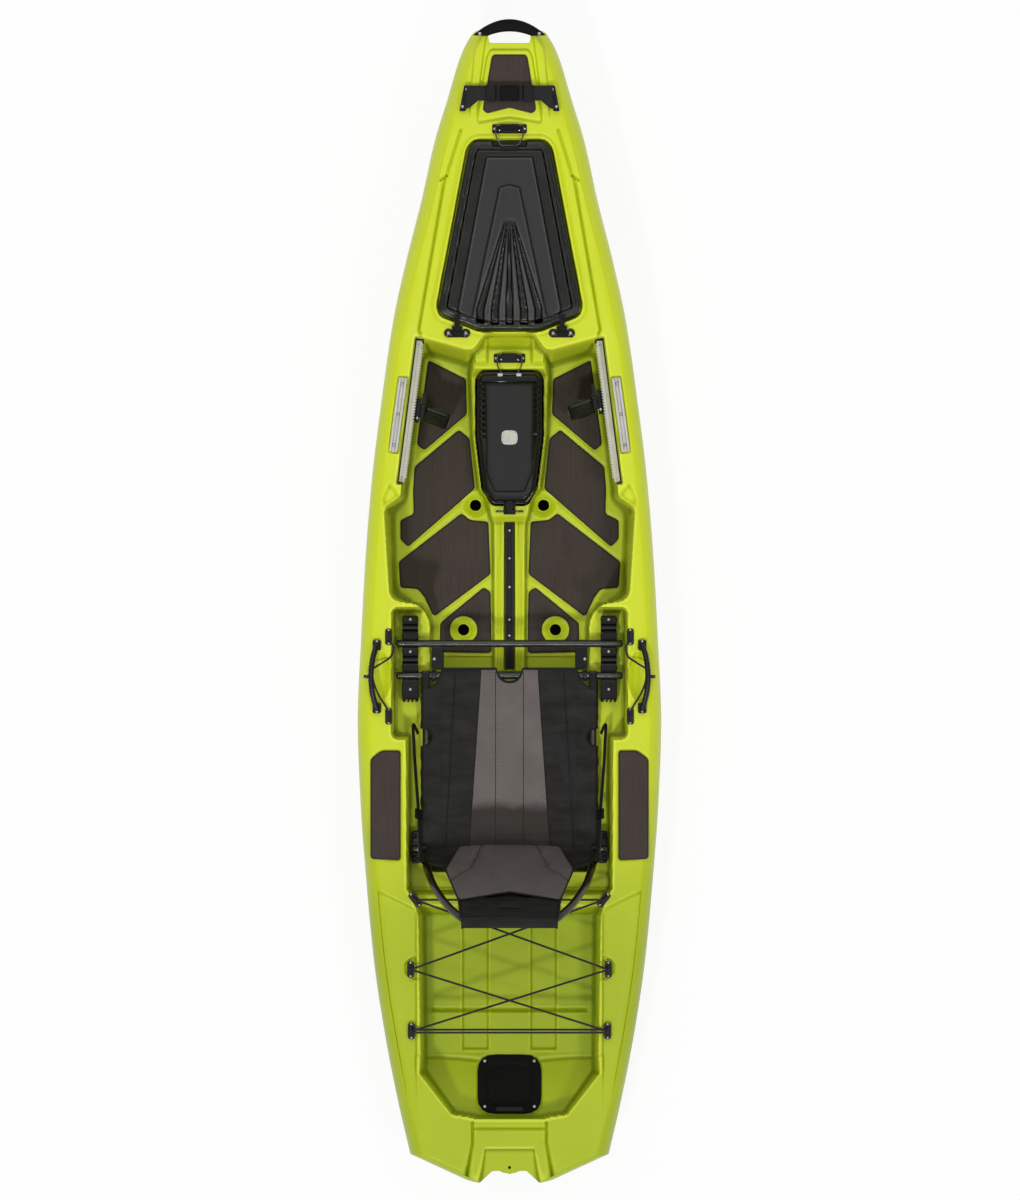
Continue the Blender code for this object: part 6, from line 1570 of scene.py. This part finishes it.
def seat_height(x, y):
    """The slack of the seat cloth between its rails, with soft folds running out to them."""
    t = np.clip((SEAT_START - y) / (SEAT_START - SEAT_STOP), 0, 1)
    u = np.clip(np.abs(x) / CLOTH_HALF, 0, 1)
    slack = ease((-0.214 - y) / 0.075) * ease((y + 0.674) / 0.06)
    sag = 0.02 * (0.25 + 0.75 * np.sin(np.pi * np.minimum(t * 1.1, 1))) * slack
    z = WRAP_R - sag * (1 - u**2) - 0.007 * ease((y + 0.2) / 0.018) ** 2
    hand = np.sign(x)
    fold = 0.003 * np.sin(38 * (y + 0.35 * np.abs(x)) + 1.5 * np.sin(9 * y)) * (1 - u**4)
    uneven = 0.6 + 0.4 * np.sin(17 * y + 2.1 * hand + 5 * u)
    side = 0.0034 * np.sin(118 * y + 9 * u + 1.3 * hand + np.sin(23 * y))
    side = side * ease((u - 0.45) / 0.35) * (1 - u) ** 0.6
    pull = 0.0021 * np.sin(92 * (y + 0.75 * np.abs(x)) + 2.0 * np.sin(14 * y + hand))
    pull = pull * ease((u - 0.32) / 0.2)
    small = 0.0005 * np.sin(170 * y + 2 * np.sin(30 * x)) * ease((0.5 - u) / 0.2)
    loose = side * uneven + pull * uneven * (1 - u**2)
    return BAR_Z + z + (fold + loose + small - 0.0032) * slack


def seat_seams():
    """Piping down the sides and round the cut-outs, and stitched lines along the cloth's height."""
    seams = []
    for s in (1, -1):
        for start, end in ((-0.262, -0.35), (-0.402, -0.69)):
            ys = np.linspace(start, end, 60)
            xs = s * (SIDE_X + WRAP_R - 0.0002 + 0.0016 * np.sin(120 * ys + s) * np.sin(31 * ys))
            edge_line = spread(xs, ys, BAR_Z + 0.003 + 0.0015 * np.sin(60 * ys))
            seams.append(tube(edge_line, 0.0024, PIPING, 10))
        a = np.linspace(math.pi / 2, 3 * math.pi / 2, 21)
        xs = s * (0.235 + 0.022 * np.cos(a))
        ys = -0.376 + 0.0235 * np.sin(a)
        level = np.where(np.abs(xs) > CLOTH_HALF, BAR_Z + TUBE_R + 0.003,
                         seat_height(np.minimum(np.abs(xs), CLOTH_HALF) * s, ys))
        seams.append(tube(spread(xs, ys, level + 0.001), 0.0022, PIPING, 10))
    for a, b in ((0.0388, 0.0388), (0.0785, 0.1115), (0.15, 0.178)):
        for s in (1, -1):
            ys = np.linspace(seat_front(np.array([a]))[0] - 0.01, SEAT_STOP + 0.004, 110)
            xs = s * np.interp(ys, [-0.672, -0.185], [b, a])
            seams.append(tube(spread(xs, ys, seat_height(xs, ys) + 0.0034), 0.0011, PIPING, 8))
    return wear(merged("seat_seams", seams), "seat_base_fabric", replaces=False)


def seat_strip():
    """The grey middle strip: a grid on the cloth's own height that widens to the rear."""
    t = np.linspace(0, 1, 130)[:, None]
    u = np.linspace(-1, 1, 61)[None]
    front = seat_front(u * 0.078) - 0.004
    y = front + (SEAT_STOP - front) * t
    x = u * np.interp(y, [-0.672, -0.185], [0.1113, 0.078])
    grid = spread(x, y, seat_height(x, y) + 0.0026)
    strip = cloth("seat_strip", grid, 0.002, CHEVRON, spread(x, y))
    return wear(strip, "seat_base_fabric", replaces=False)


def seat_tape():
    """Webbing laid straight in plan on the cloth's own height."""
    loops = []
    for x0, y0, x1, y1 in ((0.128, -0.366, 0.178, -0.545), (0.128, -0.372, 0.122, -0.392)):
        xs, ys = np.linspace(x0, x1, 24), np.linspace(y0, y1, 24)
        loops.append(band(spread(xs, ys, seat_height(xs, ys) + 0.003), 0.026, 0.0016, WEB))
    return wear(merged("seat_tape", loops), "seat_base_fabric", replaces=False)


def build_seat_cloth():
    """The stretched cloth: a grid over the rails with its sides wrapped round them on arcs."""
    wraps = 8
    x = np.linspace(-CLOTH_HALF, CLOTH_HALF, 121)
    angle = np.radians(np.linspace(90, -40, wraps + 1))[1:]
    wrap_x, wrap_z = SIDE_X + WRAP_R * np.cos(angle), BAR_Z + WRAP_R * np.sin(angle)
    t = np.linspace(0, 1, 150)[:, None]

    def rows(px):
        return seat_front(px)[None] + (SEAT_STOP - seat_front(px)[None]) * t

    middle_y = rows(x)
    middle = spread(x, middle_y, seat_height(x[None], middle_y))
    edge_y = rows(np.minimum(wrap_x, 0.25))
    right = spread(wrap_x, edge_y, wrap_z)
    left = right[:, ::-1] * (-1, 1, 1)
    grid = np.concatenate([left, middle, right], axis=1)
    uv = spread(run_length(grid[75])[None], grid[..., 1])
    base = cloth("seat_cloth", grid, 0.0026, MESH, uv)
    tools = (plate(oblong(0.068, 0.047, 0.022, (s * 0.247, -0.376)), [(0, 0.2), (0, 0.3)], MESH)
             for s in (1, -1))
    cut(base, *tools)
    hem = grid[0, wraps:-wraps] + (0, 0, 0.0014)
    piping = tube(hem, 0.003, PIPING, 12, name="seat_piping_front")
    piping = wear(piping, "seat_base_fabric", replaces=False)
    seam, strip, tape = seat_seams(), seat_strip(), seat_tape()
    wear(base, "seat_base_fabric")


def back_half(up):
    """Half the width of the back cloth at each height."""
    ups = [0, 0.085, 0.11, 0.128, 0.22, 0.34, 0.445]
    return np.interp(up, ups, [0.228, 0.228, 0.222, 0.184, 0.153, 0.138, 0.1325])


def hollow(up):
    """How far the back cloth bows in its middle: a half sine of the height."""
    return 0.016 * np.sin(np.pi * np.minimum(up / 0.395, 1))


def back_panel():
    """The back cloth: a bowed grid that wraps over the top tube on an arc."""
    flat_up = np.linspace(0.03, BACK_TOP, 90)
    angle = np.radians(np.linspace(90, -90, 25))[1:]
    up = np.concatenate([flat_up, BACK_TOP + BACK_REACH * np.cos(angle)])[:, None]
    forward = np.concatenate([np.full(90, BACK_REACH), BACK_REACH * np.sin(angle)])[:, None]
    u = np.linspace(-1, 1, 101)[None]
    half = back_half(up)
    ripple = 0.0014 * np.sin(60 * up + 3 * u) * (1 - u**2)
    ripple = ripple * np.sin(np.pi * np.clip((up - 0.03) / 0.4, 0, 1))
    edge_roll = 0.003 * np.clip(np.abs(u) - 0.94, 0, 1) / 0.06
    bow = hollow(up) * (1 - u**2) * (forward > 0.012)
    grid = back_place(half * u, up, forward - bow + ripple - edge_roll)
    return cloth("back_cloth", grid, 0.0026, MESH, spread(half * u, np.arange(len(up))[:, None] * 0.0044))


def back_seams():
    """Two sewn lines across the back cloth and a hem along each side of it."""
    seams = []
    for at in (0.302, 0.408):
        w = np.linspace(-0.985, 0.985, 61)
        forward = BACK_REACH + 0.0026 - hollow(at) * (1 - w**2)
        seams.append(tube(back_place(back_half(at) * w, at + 0.01 * w**2, forward), 0.002, PIPING, 10))
    for s in (1, -1):
        ups = np.linspace(0.036, BACK_TOP, 70)
        hem = back_place(s * back_half(ups), ups, BACK_REACH + 0.0006)
        seams.append(tube(hem, 0.0036, PIPING, 10))
    return wear(merged("back_seams", seams), "seat_back_fabric", replaces=False)


def back_patch():
    """A plain patch near the top, which follows the cloth's bow."""
    w, v = np.linspace(-1, 1, 25)[None], np.linspace(-1, 1, 15)[:, None]
    up = 0.352 + 0.014 * v
    forward = BACK_REACH + 0.0024 - hollow(up) * (1 - (0.03 * w / 0.134) ** 2)
    patch = cloth("back_patch", back_place(0.03 * w, up, forward), 0.0014, GLOSS, spread(w * 0.03, up))
    return wear(patch, "seat_back_fabric", replaces=False)


def build_back_cloth():
    """The back cloth with its seams and its patch, stretched on the backrest's frame."""
    cloth_back = back_panel()
    seam, patch = back_seams(), back_patch()
    wear(cloth_back, "seat_back_fabric")


def coordinates(mesh):
    """The places of a mesh's vertices, in double precision."""
    values = np.empty(3 * len(mesh.vertices))
    mesh.vertices.foreach_get("co", values)
    return values.reshape(-1, 3)


def swell(obj, free, cap, frames=20):
    """Cloth simulation: air inside a closed pad swells its free points, the rest being sewn down.

    No point moves further than cap. The result is applied, then subdivided once.
    """
    mesh = obj.data
    after = before = coordinates(mesh)
    scene = bpy.context.scene
    held = obj.vertex_groups.new(name="held")
    held.add(np.flatnonzero(~free).tolist(), 1.0, "REPLACE")
    step = obj.modifiers.new("swell", "CLOTH")
    step.settings.quality = 6
    step.settings.mass = 0.3
    step.settings.tension_stiffness = step.settings.compression_stiffness = 14
    step.settings.bending_stiffness = 0.6
    step.settings.use_pressure = True
    step.settings.uniform_pressure_force = 4.0
    step.settings.vertex_group_mass = "held"
    step.settings.effector_weights.gravity = 0.0
    step.point_cache.frame_start, step.point_cache.frame_end = 1, frames
    for frame in range(1, frames + 1):
        scene.frame_set(frame)
    after = coordinates(obj.evaluated_get(bpy.context.evaluated_depsgraph_get()).data)
    obj.modifiers.clear()
    obj.vertex_groups.clear()
    scene.frame_set(1)
    move = after - before
    far = np.maximum(np.linalg.norm(move, axis=1, keepdims=True), 1e-9)
    after = before + move * np.minimum(1, cap / far) * free[:, None]
    mesh.vertices.foreach_set("co", after.ravel())
    mesh.update()
    smooth = obj.modifiers.new("smooth", "SUBSURF")
    smooth.levels = smooth.render_levels = 1
    finished = bpy.data.meshes.new_from_object(obj.evaluated_get(bpy.context.evaluated_depsgraph_get()))
    obj.modifiers.clear()
    obj.data = finished
    return after


def lumbar_pad():
    """A crowned cushion: sewn channels draw its face in, and its edge pulls in to a seam.

    Gives the swollen piece, the points of its front and its half width at each height.
    """
    rows, columns = 64, 106
    v = np.linspace(0, 1, rows)[:, None]
    u = np.linspace(-1, 1, columns)[None]
    half = np.interp(v, [0, 0.05, 0.4, 0.47, 0.96, 1], [0.136, 0.143, 0.1745, 0.1745, 0.143, 0.136])
    up = 0.014 + 0.256 * v + 0 * u
    raised = up + (0.004 + 0.056 * v) * np.abs(u) ** 1.2
    crown = np.clip((1 - u**4) * (1 - (2 * v - 1) ** 4), 0, 1)
    panels = [(0.074, 0.01), (0.106, 0.135), (0.168, 0.188)]
    seam = np.exp(-((nearest(np.abs(half * u), up, panels) / 0.006) ** 2))
    puff = 0.0013 * np.sin(17 * u + 6 * v) * np.sin(14 * v + 3 * u)
    depth = 0.0045 + 0.0165 * crown**0.5 * (1 - 0.46 * seam) + puff * crown
    sunk = hollow(up) * np.maximum(1 - (half * u / back_half(up)) ** 2, 0)
    seat = TUBE_R + 0.004 + 0.0014 - sunk * 0.7
    front = back_place(half * u, raised, seat + depth)
    rear = back_place(half * u, raised, seat + 0.0008 + 0 * depth)
    uv = spread(half * u, up)
    points = np.concatenate([front.reshape(-1, 3), rear.reshape(-1, 3)])
    uv = np.tile(uv.reshape(-1, 2), (2, 1))
    pad = outward(make("lumbar_cushion", points, two_layers(rows, columns), LUMBAR, uv, 70))
    free = np.zeros((2, rows, columns), bool)
    free[0, 2:-2, 2:-2] = seam[2:-2, 2:-2] < 0.55
    return pad, swell(pad, free.ravel(), 0.006).reshape(2, rows, columns, 3)[0], half


def lumbar_seams(front, half):
    """Piping round the cushion's rim and a line of stitches along each side channel."""
    rows, columns = front.shape[:2]
    rim = front[0], front[1:, -1], front[-1, -2::-1], front[-2:0:-1, 0]
    line = np.concatenate(rim)[::2]
    piping = tube(line + np.array([0, math.cos(LEAN), math.sin(LEAN)]) * -0.0012, 0.0026, PIPING, 10,
                  cyclic=True, up=(0, 0.9, 0.45))
    stitches = []
    for s in (1, -1):
        ups = np.concatenate([np.linspace(0.022, 0.135, 14), np.linspace(0.14, 0.184, 12)])
        across = np.interp(ups, [0.01, 0.135, 0.188], [0.074, 0.106, 0.168])
        j = np.round((ups - 0.014) / 0.256 * (rows - 1)).astype(int)
        reach = np.minimum(across / half[j, 0], 0.975)
        column = np.round((s * reach + 1) / 2 * (columns - 1)).astype(int)
        stitches.append(tube(smooth_path(front[j, column], 0.004), 0.0011, PIPING, 8))
    return wear(merged("lumbar_seams", [piping, *stitches]), "seat_lumbar_pad", replaces=False)


def build_lumbar():
    """The cushion and its seams, each given a mesh of its own."""
    pad, front, half = lumbar_pad()
    seams = lumbar_seams(front, half)
    wear(pad, "seat_lumbar_pad")
    for piece in (pad, seams):
        tuple(back_place(0.0, 0.14, 0.0125).tolist())
        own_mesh(piece)


def cross_bar(half, y):
    """A straight tube across the seat, at the height of its bars."""
    xs = np.linspace(-half + 0.004, half - 0.004, 9)
    return tube(spread(xs, y, BAR_Z), TUBE_R, COAT, 28)


def build_seat_tubes():
    """Tubes of the base, with their ears and pins."""
    parts = [cross_bar(BAR_HALF, FRONT_BAR_Y), cross_bar(REAR_HALF, SEAT_BACK)]
    for s in (1, -1):
        ys = np.linspace(FRONT_BAR_Y + 0.002, SEAT_BACK - 0.002, 7)
        parts.append(tube(spread(s * SIDE_X, ys, BAR_Z), TUBE_R - 0.0004, COAT, 24))
        parts.append(block((0.027, 0.066, 0.027), (s * 0.2325, FRONT_BAR_Y - 0.018, BAR_Z - 0.001), None,
                           0.01, 0.007))
        x = s * (SIDE_X + 0.02)
        parts.append(block((0.006, 0.026, 0.03), (x, SEAT_BACK, AXIS[2] - 0.0025), None, 0.002, look=COAT))
        axle = [(s * (SIDE_X - 0.001), SEAT_BACK, AXIS[2]), (x - s * 0.005, SEAT_BACK, AXIS[2]),
                (x + s * 0.0035, SEAT_BACK, AXIS[2])]
        parts.append(tube(axle, 0.0039, STEEL, 14))
    wear(merged("seat_tubes", parts), "seat_frame")


def build_front_leg():
    """The leg's cross bar, and the arms that turn on the front bar."""
    parts = [cross_bar(BAR_HALF, FRONT_BAR_Y + 0.089)]
    for s in (1, -1):
        x = s * (SIDE_X - TUBE_R - 0.012)
        arm = block((0.034, 0.064, 0.014), (x - s * 0.01, FRONT_BAR_Y + 0.0485, BAR_Z), None, 0.008, 0.003)
        ring = collar(TUBE_R + 0.0004, TUBE_R + 0.0045, 0.007)
        ring = turned(ring, BLACK, (x, FRONT_BAR_Y, BAR_Z), (1, 0, 0), 30)
        bolt = screw((x, FRONT_BAR_Y + 0.046, BAR_Z + 0.0072), 0.0045)
        parts += [arm, ring, bolt]
    wear(merged("leg_set", parts), "seat_front_leg")


def build_back_tubes():
    """The backrest's bent tube, with a collar on each pin."""
    half, top = SIDE_X, 0.428
    path = [(half + 0.004, 0.014), (half, 0.09), (half - 0.02, 0.21), (half - 0.06, 0.33),
            (half - 0.115, top)]
    path = path + [(-x, up) for x, up in reversed(path)]
    line = bent_path([back_place(x, up, 0.0) for x, up in path], 0.045, 10)
    parts = [tube(line, TUBE_R, GLOSS, 28, up=(0, math.cos(LEAN), math.sin(LEAN)))]
    for s in (1, -1):
        centre = (s * (half + 0.004), AXIS[1], AXIS[2])
        parts.append(turned(collar(0.0046, 0.012, 0.0068), BLACK, centre, (1, 0, 0), 28))
    wear(merged("back_tubes", parts), "seat_back_frame")


def build_recline_straps():
    """Webbing on a smooth curve from each side rail to the backrest, and its buckle."""
    for side, s in SIDES.items():
        path = [(0.254, -0.366, 0.246), (0.266, -0.34, 0.252), (0.2655, -0.395, 0.256),
                (0.259, -0.5, 0.269), (0.252, -0.588, 0.293), (0.248, -0.66, 0.322), (0.244, -0.722, 0.352)]
        line = smooth_path(path_on(path, s), 0.006)
        strap = band(line, 0.02, 0.0018, WEB, (0.4, 0, s * 0.92))
        seat = placed((s * 0.253, -0.588, 0.295), math.radians(-16), "X")
        seat = seat @ Matrix.Rotation(s * math.radians(-50), 4, "Y")
        frame = block((0.027, 0.03, 0.005), (0, 0, 0), seat, 0.004)
        bars = [block((0.029, 0.005, 0.005), (0, y, 0.0036), seat, 0.002) for y in (-0.01, 0.0, 0.01)]
        wear(merged(f"recline_{side}", [strap, frame, *bars]), f"recline_strap_{side}")


# Handles, lashing and stern
def pad_eye(location, yaw):
    """A bevelled base with a bowed loop and a screw on each side of it."""
    place = placed(location, yaw, "Z")
    parts = [block((0.02, 0.046, 0.004), (0, 0, 0.002), place, 0.008, look=BLACK)]
    a = np.linspace(0, math.pi, 17)
    loop = spread(0, 0.013 * np.cos(a), 0.003 + 0.012 * np.sin(a))
    parts.append(tube(moved(loop, place), 0.0034, BLACK, 14, up=(0.99, 0.1, 0)))
    for k in (1, -1):
        parts.append(screw(place @ Vector((0, k * 0.0185, 0.004)), 0.0032))
    return parts


def side_grip(side, s):
    """A ribbed grip on a smooth curve, with its feet, their screws and the peg at its middle."""
    x, z, span = HANDLE_X, deck_at(HANDLE_Y), 0.091
    path = [(x - 0.008, HANDLE_Y + span, z + 0.01), (x + 0.003, HANDLE_Y + span * 0.55, z + 0.022),
            (x + 0.008, HANDLE_Y, z + 0.026), (x + 0.003, HANDLE_Y - span * 0.55, z + 0.022),
            (x - 0.008, HANDLE_Y - span, z + 0.01)]
    line = smooth_path(path_on(path, s), 0.0035)
    run = np.linspace(-1, 1, len(line))
    ribs = 0.0007 * np.sin(run * 60) * (np.abs(run) < 0.62)
    parts = [tube(line, 0.0078 + ribs, RUBBER, 22)]
    for k in (1, -1):
        y = HANDLE_Y + k * (span - 0.004)
        low = deck_at(y)
        parts.append(block((0.024, 0.03, z + 0.012 - low), (s * (x - 0.008), y, (z + 0.013 + low) / 2),
                           None, 0.006, 0.003))
        parts.append(screw((s * (x - 0.008), y + k * 0.0095, z + 0.0127), 0.0036))
    peg = [(s * (x + reach), HANDLE_Y, z + 0.026) for reach in (0.009, 0.016, 0.026)]
    parts.append(tube(peg, 0.005, GLOSS, 14))
    wear(merged(f"handle_{side}", parts), f"side_handle_{side}")


def side_cord(side, s):
    """Two pad-eyes and the cord between them, past the grip's peg."""
    z, cord_z, eyes = deck_at(HANDLE_Y), deck_at(HANDLE_Y) + 0.01, []
    for k in (1, -1):
        y = HANDLE_Y + k * 0.11
        eyes += pad_eye((s * 0.335, y, deck_at(y) + 0.0007), 0.0)
    route = [(0.334, -0.09, z + 0.013), (0.33, -0.104, cord_z), (0.3225, -0.128, z + 0.006),
             (0.326, -0.146, z + 0.006), (0.356, -0.17, z + 0.009), (0.379, -0.187, z + 0.0125),
             (0.379, -0.208, z + 0.0125), (0.368, -0.246, z + 0.01), (0.343, -0.289, cord_z),
             (0.3345, -0.305, z + 0.013)]
    line = smooth_path(path_on(route, s), 0.003)
    wear(merged(f"side_cord_{side}", [tube(line, 0.0027, CORD, 12), *eyes]), f"side_bungee_{side}")


def build_handles():
    """The carry grip and its cord on each side."""
    for side, s in SIDES.items():
        side_grip(side, s)
        side_cord(side, s)


def build_lashing():
    """The cord laced through six pad-eyes: straight spans with a slight droop."""
    length = TANK_BACK - TANK_FRONT
    rows = ((0.2615, TANK_FRONT + 0.045), (0.274, TANK_FRONT + 0.265 * length),
            (0.272, TANK_FRONT + 0.57 * length))
    eyes = []
    for s in (1, -1):
        for number, (x, y) in enumerate(rows):
            yaw = s * math.radians(-38) if number == 0 else 0.0
            eyes += pad_eye((s * x, y, deck_at(y) + 0.0007), yaw)
    front, middle, rear = ([np.array([s * x, y, deck_at(y) + 0.0102]) for s in (1, -1)] for x, y in rows)
    lane = np.array([0, 0.004, 0])
    spans = [
        (rear[1] + lane, rear[0] + lane), (rear[0], middle[1]), (middle[1], front[0]), (front[0], front[1]),
        (front[1], middle[0]), (middle[0], rear[1]), (rear[1] - lane, rear[0] - lane),
    ]
    cords = []
    for number, (here, there) in enumerate(spans):
        t = np.linspace(0, 1, 25)[:, None]
        level = np.array([0, 0, 0.0007 * number])
        lead = unit((there - here)[None])[0] * 0.005
        line = (here - lead) * (1 - t) + (there + lead) * t + level
        line[:, 2] -= 0.003 * np.sin(np.pi * t[:, 0]) * (number in (0, 3, 6))
        cords.append(tube(line, 0.0029, CORD, 12))
    wear(merged("lashing", [*cords, *eyes]), "tankwell_bungee")


def build_stern():
    """The screwed panel, rings of two oblongs, and the drain plug, turned about its axis."""
    place = placed((0, PLATE_MIDDLE, PLATE_Z - 0.004), -PLATE_SLOPE, "X")
    big, small = oblong(0.178, 0.178, 0.05), oblong(0.122, 0.122, 0.034)
    rings = [(big, 0.985, 0.0003), (big, 1.0, 0.0015), (big, 1.0, 0.0045), (big, 0.985, 0.006),
             (small, 1.03, 0.006), (small, 1.0, 0.0052), (small, 0.975, 0.0036)]
    points = np.concatenate([level(line * scale, z) for line, scale, z in rings])
    base = outward(make("stern_panel", moved(points, place), capped(len(rings), len(big)), GRIP, None, 30))
    corners = [(a * 0.069, b * 0.069, 0.0062) for a in (1, -1) for b in (1, -1)]
    heads = screws_at(place, corners, 0.0048)
    rib = block((0.078, 0.014, 0.006), (0, -0.078, 0.0062), place, 0.006, 0.002, look=MATT)
    wear(merged("stern_panel_set", [base, *heads, rib]), "stern_plate")
    profile = [(0, 0.016), (0.0085, 0.016), (0.0096, 0.015), (0.01, 0.0135), (0.01, 0.008), (0.016, 0.0072),
               (0.0172, 0.0062), (0.0175, 0.005), (0.0175, 0.0004), (0, 0.0004)]
    plug = turned(profile, GLOSS, (0, PLUG_Y, PLUG_Z), (0, -1, 0), 40)
    bar = block((0.0045, 0.004, 0.018), (0, PLUG_Y - 0.0172, PLUG_Z), None, 0.0015)
    wear(merged("plug_set", [plug, bar]), "drain_plug")


def build_saddles():
    """Moulded saddles on the seat racks, clear of the bars that rest in them, and bracket ribs."""
    for side in SIDES:
        low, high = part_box(f"seat_rack_{side}")
        x, top = (low[0] + high[0]) / 2, high[2]
        parts = []
        beds = [FRONT_BAR_Y + 0.0445 * k for k in range(4)]
        lands = [(low[1] + 0.01, beds[0] - 0.013),
                 *((a + 0.0125, b - 0.0125) for a, b in zip(beds, beds[1:])),
                 (beds[3] + 0.013, high[1] - 0.001)]
        for number, (start, end) in enumerate(lands):
            size = (high[0] - low[0] + 0.002, end - start, 0.007)
            y = (start + end) / 2
            parts.append(block(size, (x, y, top + 0.0015), None, 0.006, 0.003))
            if number in (0, 2, 4):
                parts.append(screw((x, y, top + 0.0052), 0.0042))
        wear(merged(f"saddles_{side}", parts), f"seat_rack_{side}", replaces=False)
        low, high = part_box(f"seat_bracket_rear_{side}")
        x, top = (low[0] + high[0]) / 2, high[2]
        ribs = [block((high[0] - low[0] - 0.006, 0.0055, 0.005),
                      (x, low[1] + 0.012 + k * 0.0135, top + 0.0012), None, 0.002, 0.001) for k in range(2)]
        wear(merged(f"bracket_ribs_{side}", ribs), f"seat_bracket_rear_{side}", replaces=False)


def dress():
    """CAD nodes that stay in view take a procedural look by their material slot."""
    looks = {"black_plastic": BLACK, "rubber": RUBBER, "bare_metal": STEEL, "black_metal": COAT,
             "webbing": WEB, "lid_plastic": LID, "cord": CORD, "foam_pad": FOAM, "hull_plastic": LIME}
    for name, node in frame["nodes"].items():
        for place in node.material_slots:
            if place.material and place.material.name in looks:
                chosen = GLOSS if name.startswith("seat_rack") else looks[place.material.name]
                place.material = chosen.material


def build_fittings():
    """Everything that is fitted to the hull."""
    build_pads()
    build_grip()
    build_bow_strap()
    build_hatch_lid()
    build_hatch_hinges()
    build_tray()
    build_console_lid()
    build_gear_tracks()
    build_foot_rails()
    build_foot_braces()
    build_seat_tubes()
    build_front_leg()
    build_back_tubes()
    build_seat_cloth()
    build_back_cloth()
    build_lumbar()
    build_recline_straps()
    build_handles()
    build_lashing()
    build_stern()
    build_saddles()
    dress()


# Camera, lights and floor
METRES_A_PIXEL, PICTURE_HEIGHT, DECK_LEVEL = 0.002773, 1200, 0.33


def build_camera():
    """A long lens straight above the deck, at which the boat has the photograph's scale."""
    data = bpy.data.cameras.new("camera")
    data.lens = 300
    data.sensor_width = 36
    data.clip_end = 200
    camera = bpy.data.objects.new("camera", data)
    bpy.context.scene.collection.objects.link(camera)
    distance = PICTURE_HEIGHT * METRES_A_PIXEL * data.lens / data.sensor_width
    camera.location = (0.5 * METRES_A_PIXEL, 2.25 * METRES_A_PIXEL, DECK_LEVEL + distance)
    bpy.context.scene.camera = camera


def build_stage():
    """A white floor with a light shadow, and painted shade under the boat, where it is dark."""
    look = Look("floor_white", grey(0.9), 0.9)
    look.slot_for("hull_plastic")
    tree = look.tree
    seen = look.node("ShaderNodeLightPath", {}, {}, 0)
    gloss = look.node("ShaderNodeLightPath", {}, {}, 3)
    through = look.node("ShaderNodeLightPath", {}, {}, 6)
    glow = look.node("ShaderNodeEmission", {}, {"Color": (1, 1, 1, 1), "Strength": 1.0})
    surface = Value(look, look.shader.outputs[0])
    x, y, _ = look.axes(look.where())
    # Painted shade: under the boat the floor is dark and does not glow, so the drains show black.
    open_x = x.abs().step(0.17, 0.2)
    open_y = y.abs().step(0.4, 0.45)
    open_floor = look.maths_max(open_x, open_y)
    look.set("Base Color", look.mix(open_floor, grey(0.02), grey(0.9)))
    factor = (seen + gloss + through).clip() * 0.9 * open_floor
    mixed = look.node("ShaderNodeMixShader", {}, [factor, surface, glow])
    tree.links.new(mixed.socket, tree.nodes["Material Output"].inputs["Surface"])
    size = 30.0
    corners = [(a * size, b * size, -0.0006) for a, b in ((-1, -1), (1, -1), (1, 1), (-1, 1))]
    floor = make("floor", corners, [[0, 1, 2, 3]], look)


def build_world():
    """A world that is white for the camera and dimmer as a light."""
    world = bpy.context.scene.world or bpy.data.worlds.new("studio")
    bpy.context.scene.world = world
    world.use_nodes = True
    nodes, links = world.node_tree.nodes, world.node_tree.links
    back = nodes["Background"]
    back.inputs["Color"].default_value = (1, 1, 1, 1)
    path = nodes.new("ShaderNodeLightPath")
    camera_or_through = nodes.new("ShaderNodeMath")
    camera_or_through.operation = "MAXIMUM"
    links.new(path.outputs["Is Camera Ray"], camera_or_through.inputs[0])
    links.new(path.outputs["Is Transmission Ray"], camera_or_through.inputs[1])
    level = nodes.new("ShaderNodeMapRange")
    links.new(camera_or_through.outputs[0], level.inputs["Value"])
    level.inputs["To Min"].default_value = 0.34
    level.inputs["To Max"].default_value = 1.0
    links.new(level.outputs[0], back.inputs["Strength"])


def build_lights():
    """Two small lamps from the stern, which draw the cords' shadows, and a wide one from the bow."""
    lamps = (("key", 1.05, 5, (0.48, -0.24)), ("second", 0.62, 9, (0.3, 0.34)),
             ("fill", 0.72, 60, (-0.55, -0.1)))
    for name, strength, angle, lean in lamps:
        data = bpy.data.lights.new(name, "SUN")
        data.energy = strength
        data.angle = math.radians(angle)
        lamp = bpy.data.objects.new(name, data)
        bpy.context.scene.collection.objects.link(lamp)
        lamp.rotation_euler = (lean[0], lean[1], 0)


build_camera()
build_stage()
build_world()
build_lights()
build_hull()
build_fittings()

bpy.context.scene.view_settings.view_transform = "Standard"
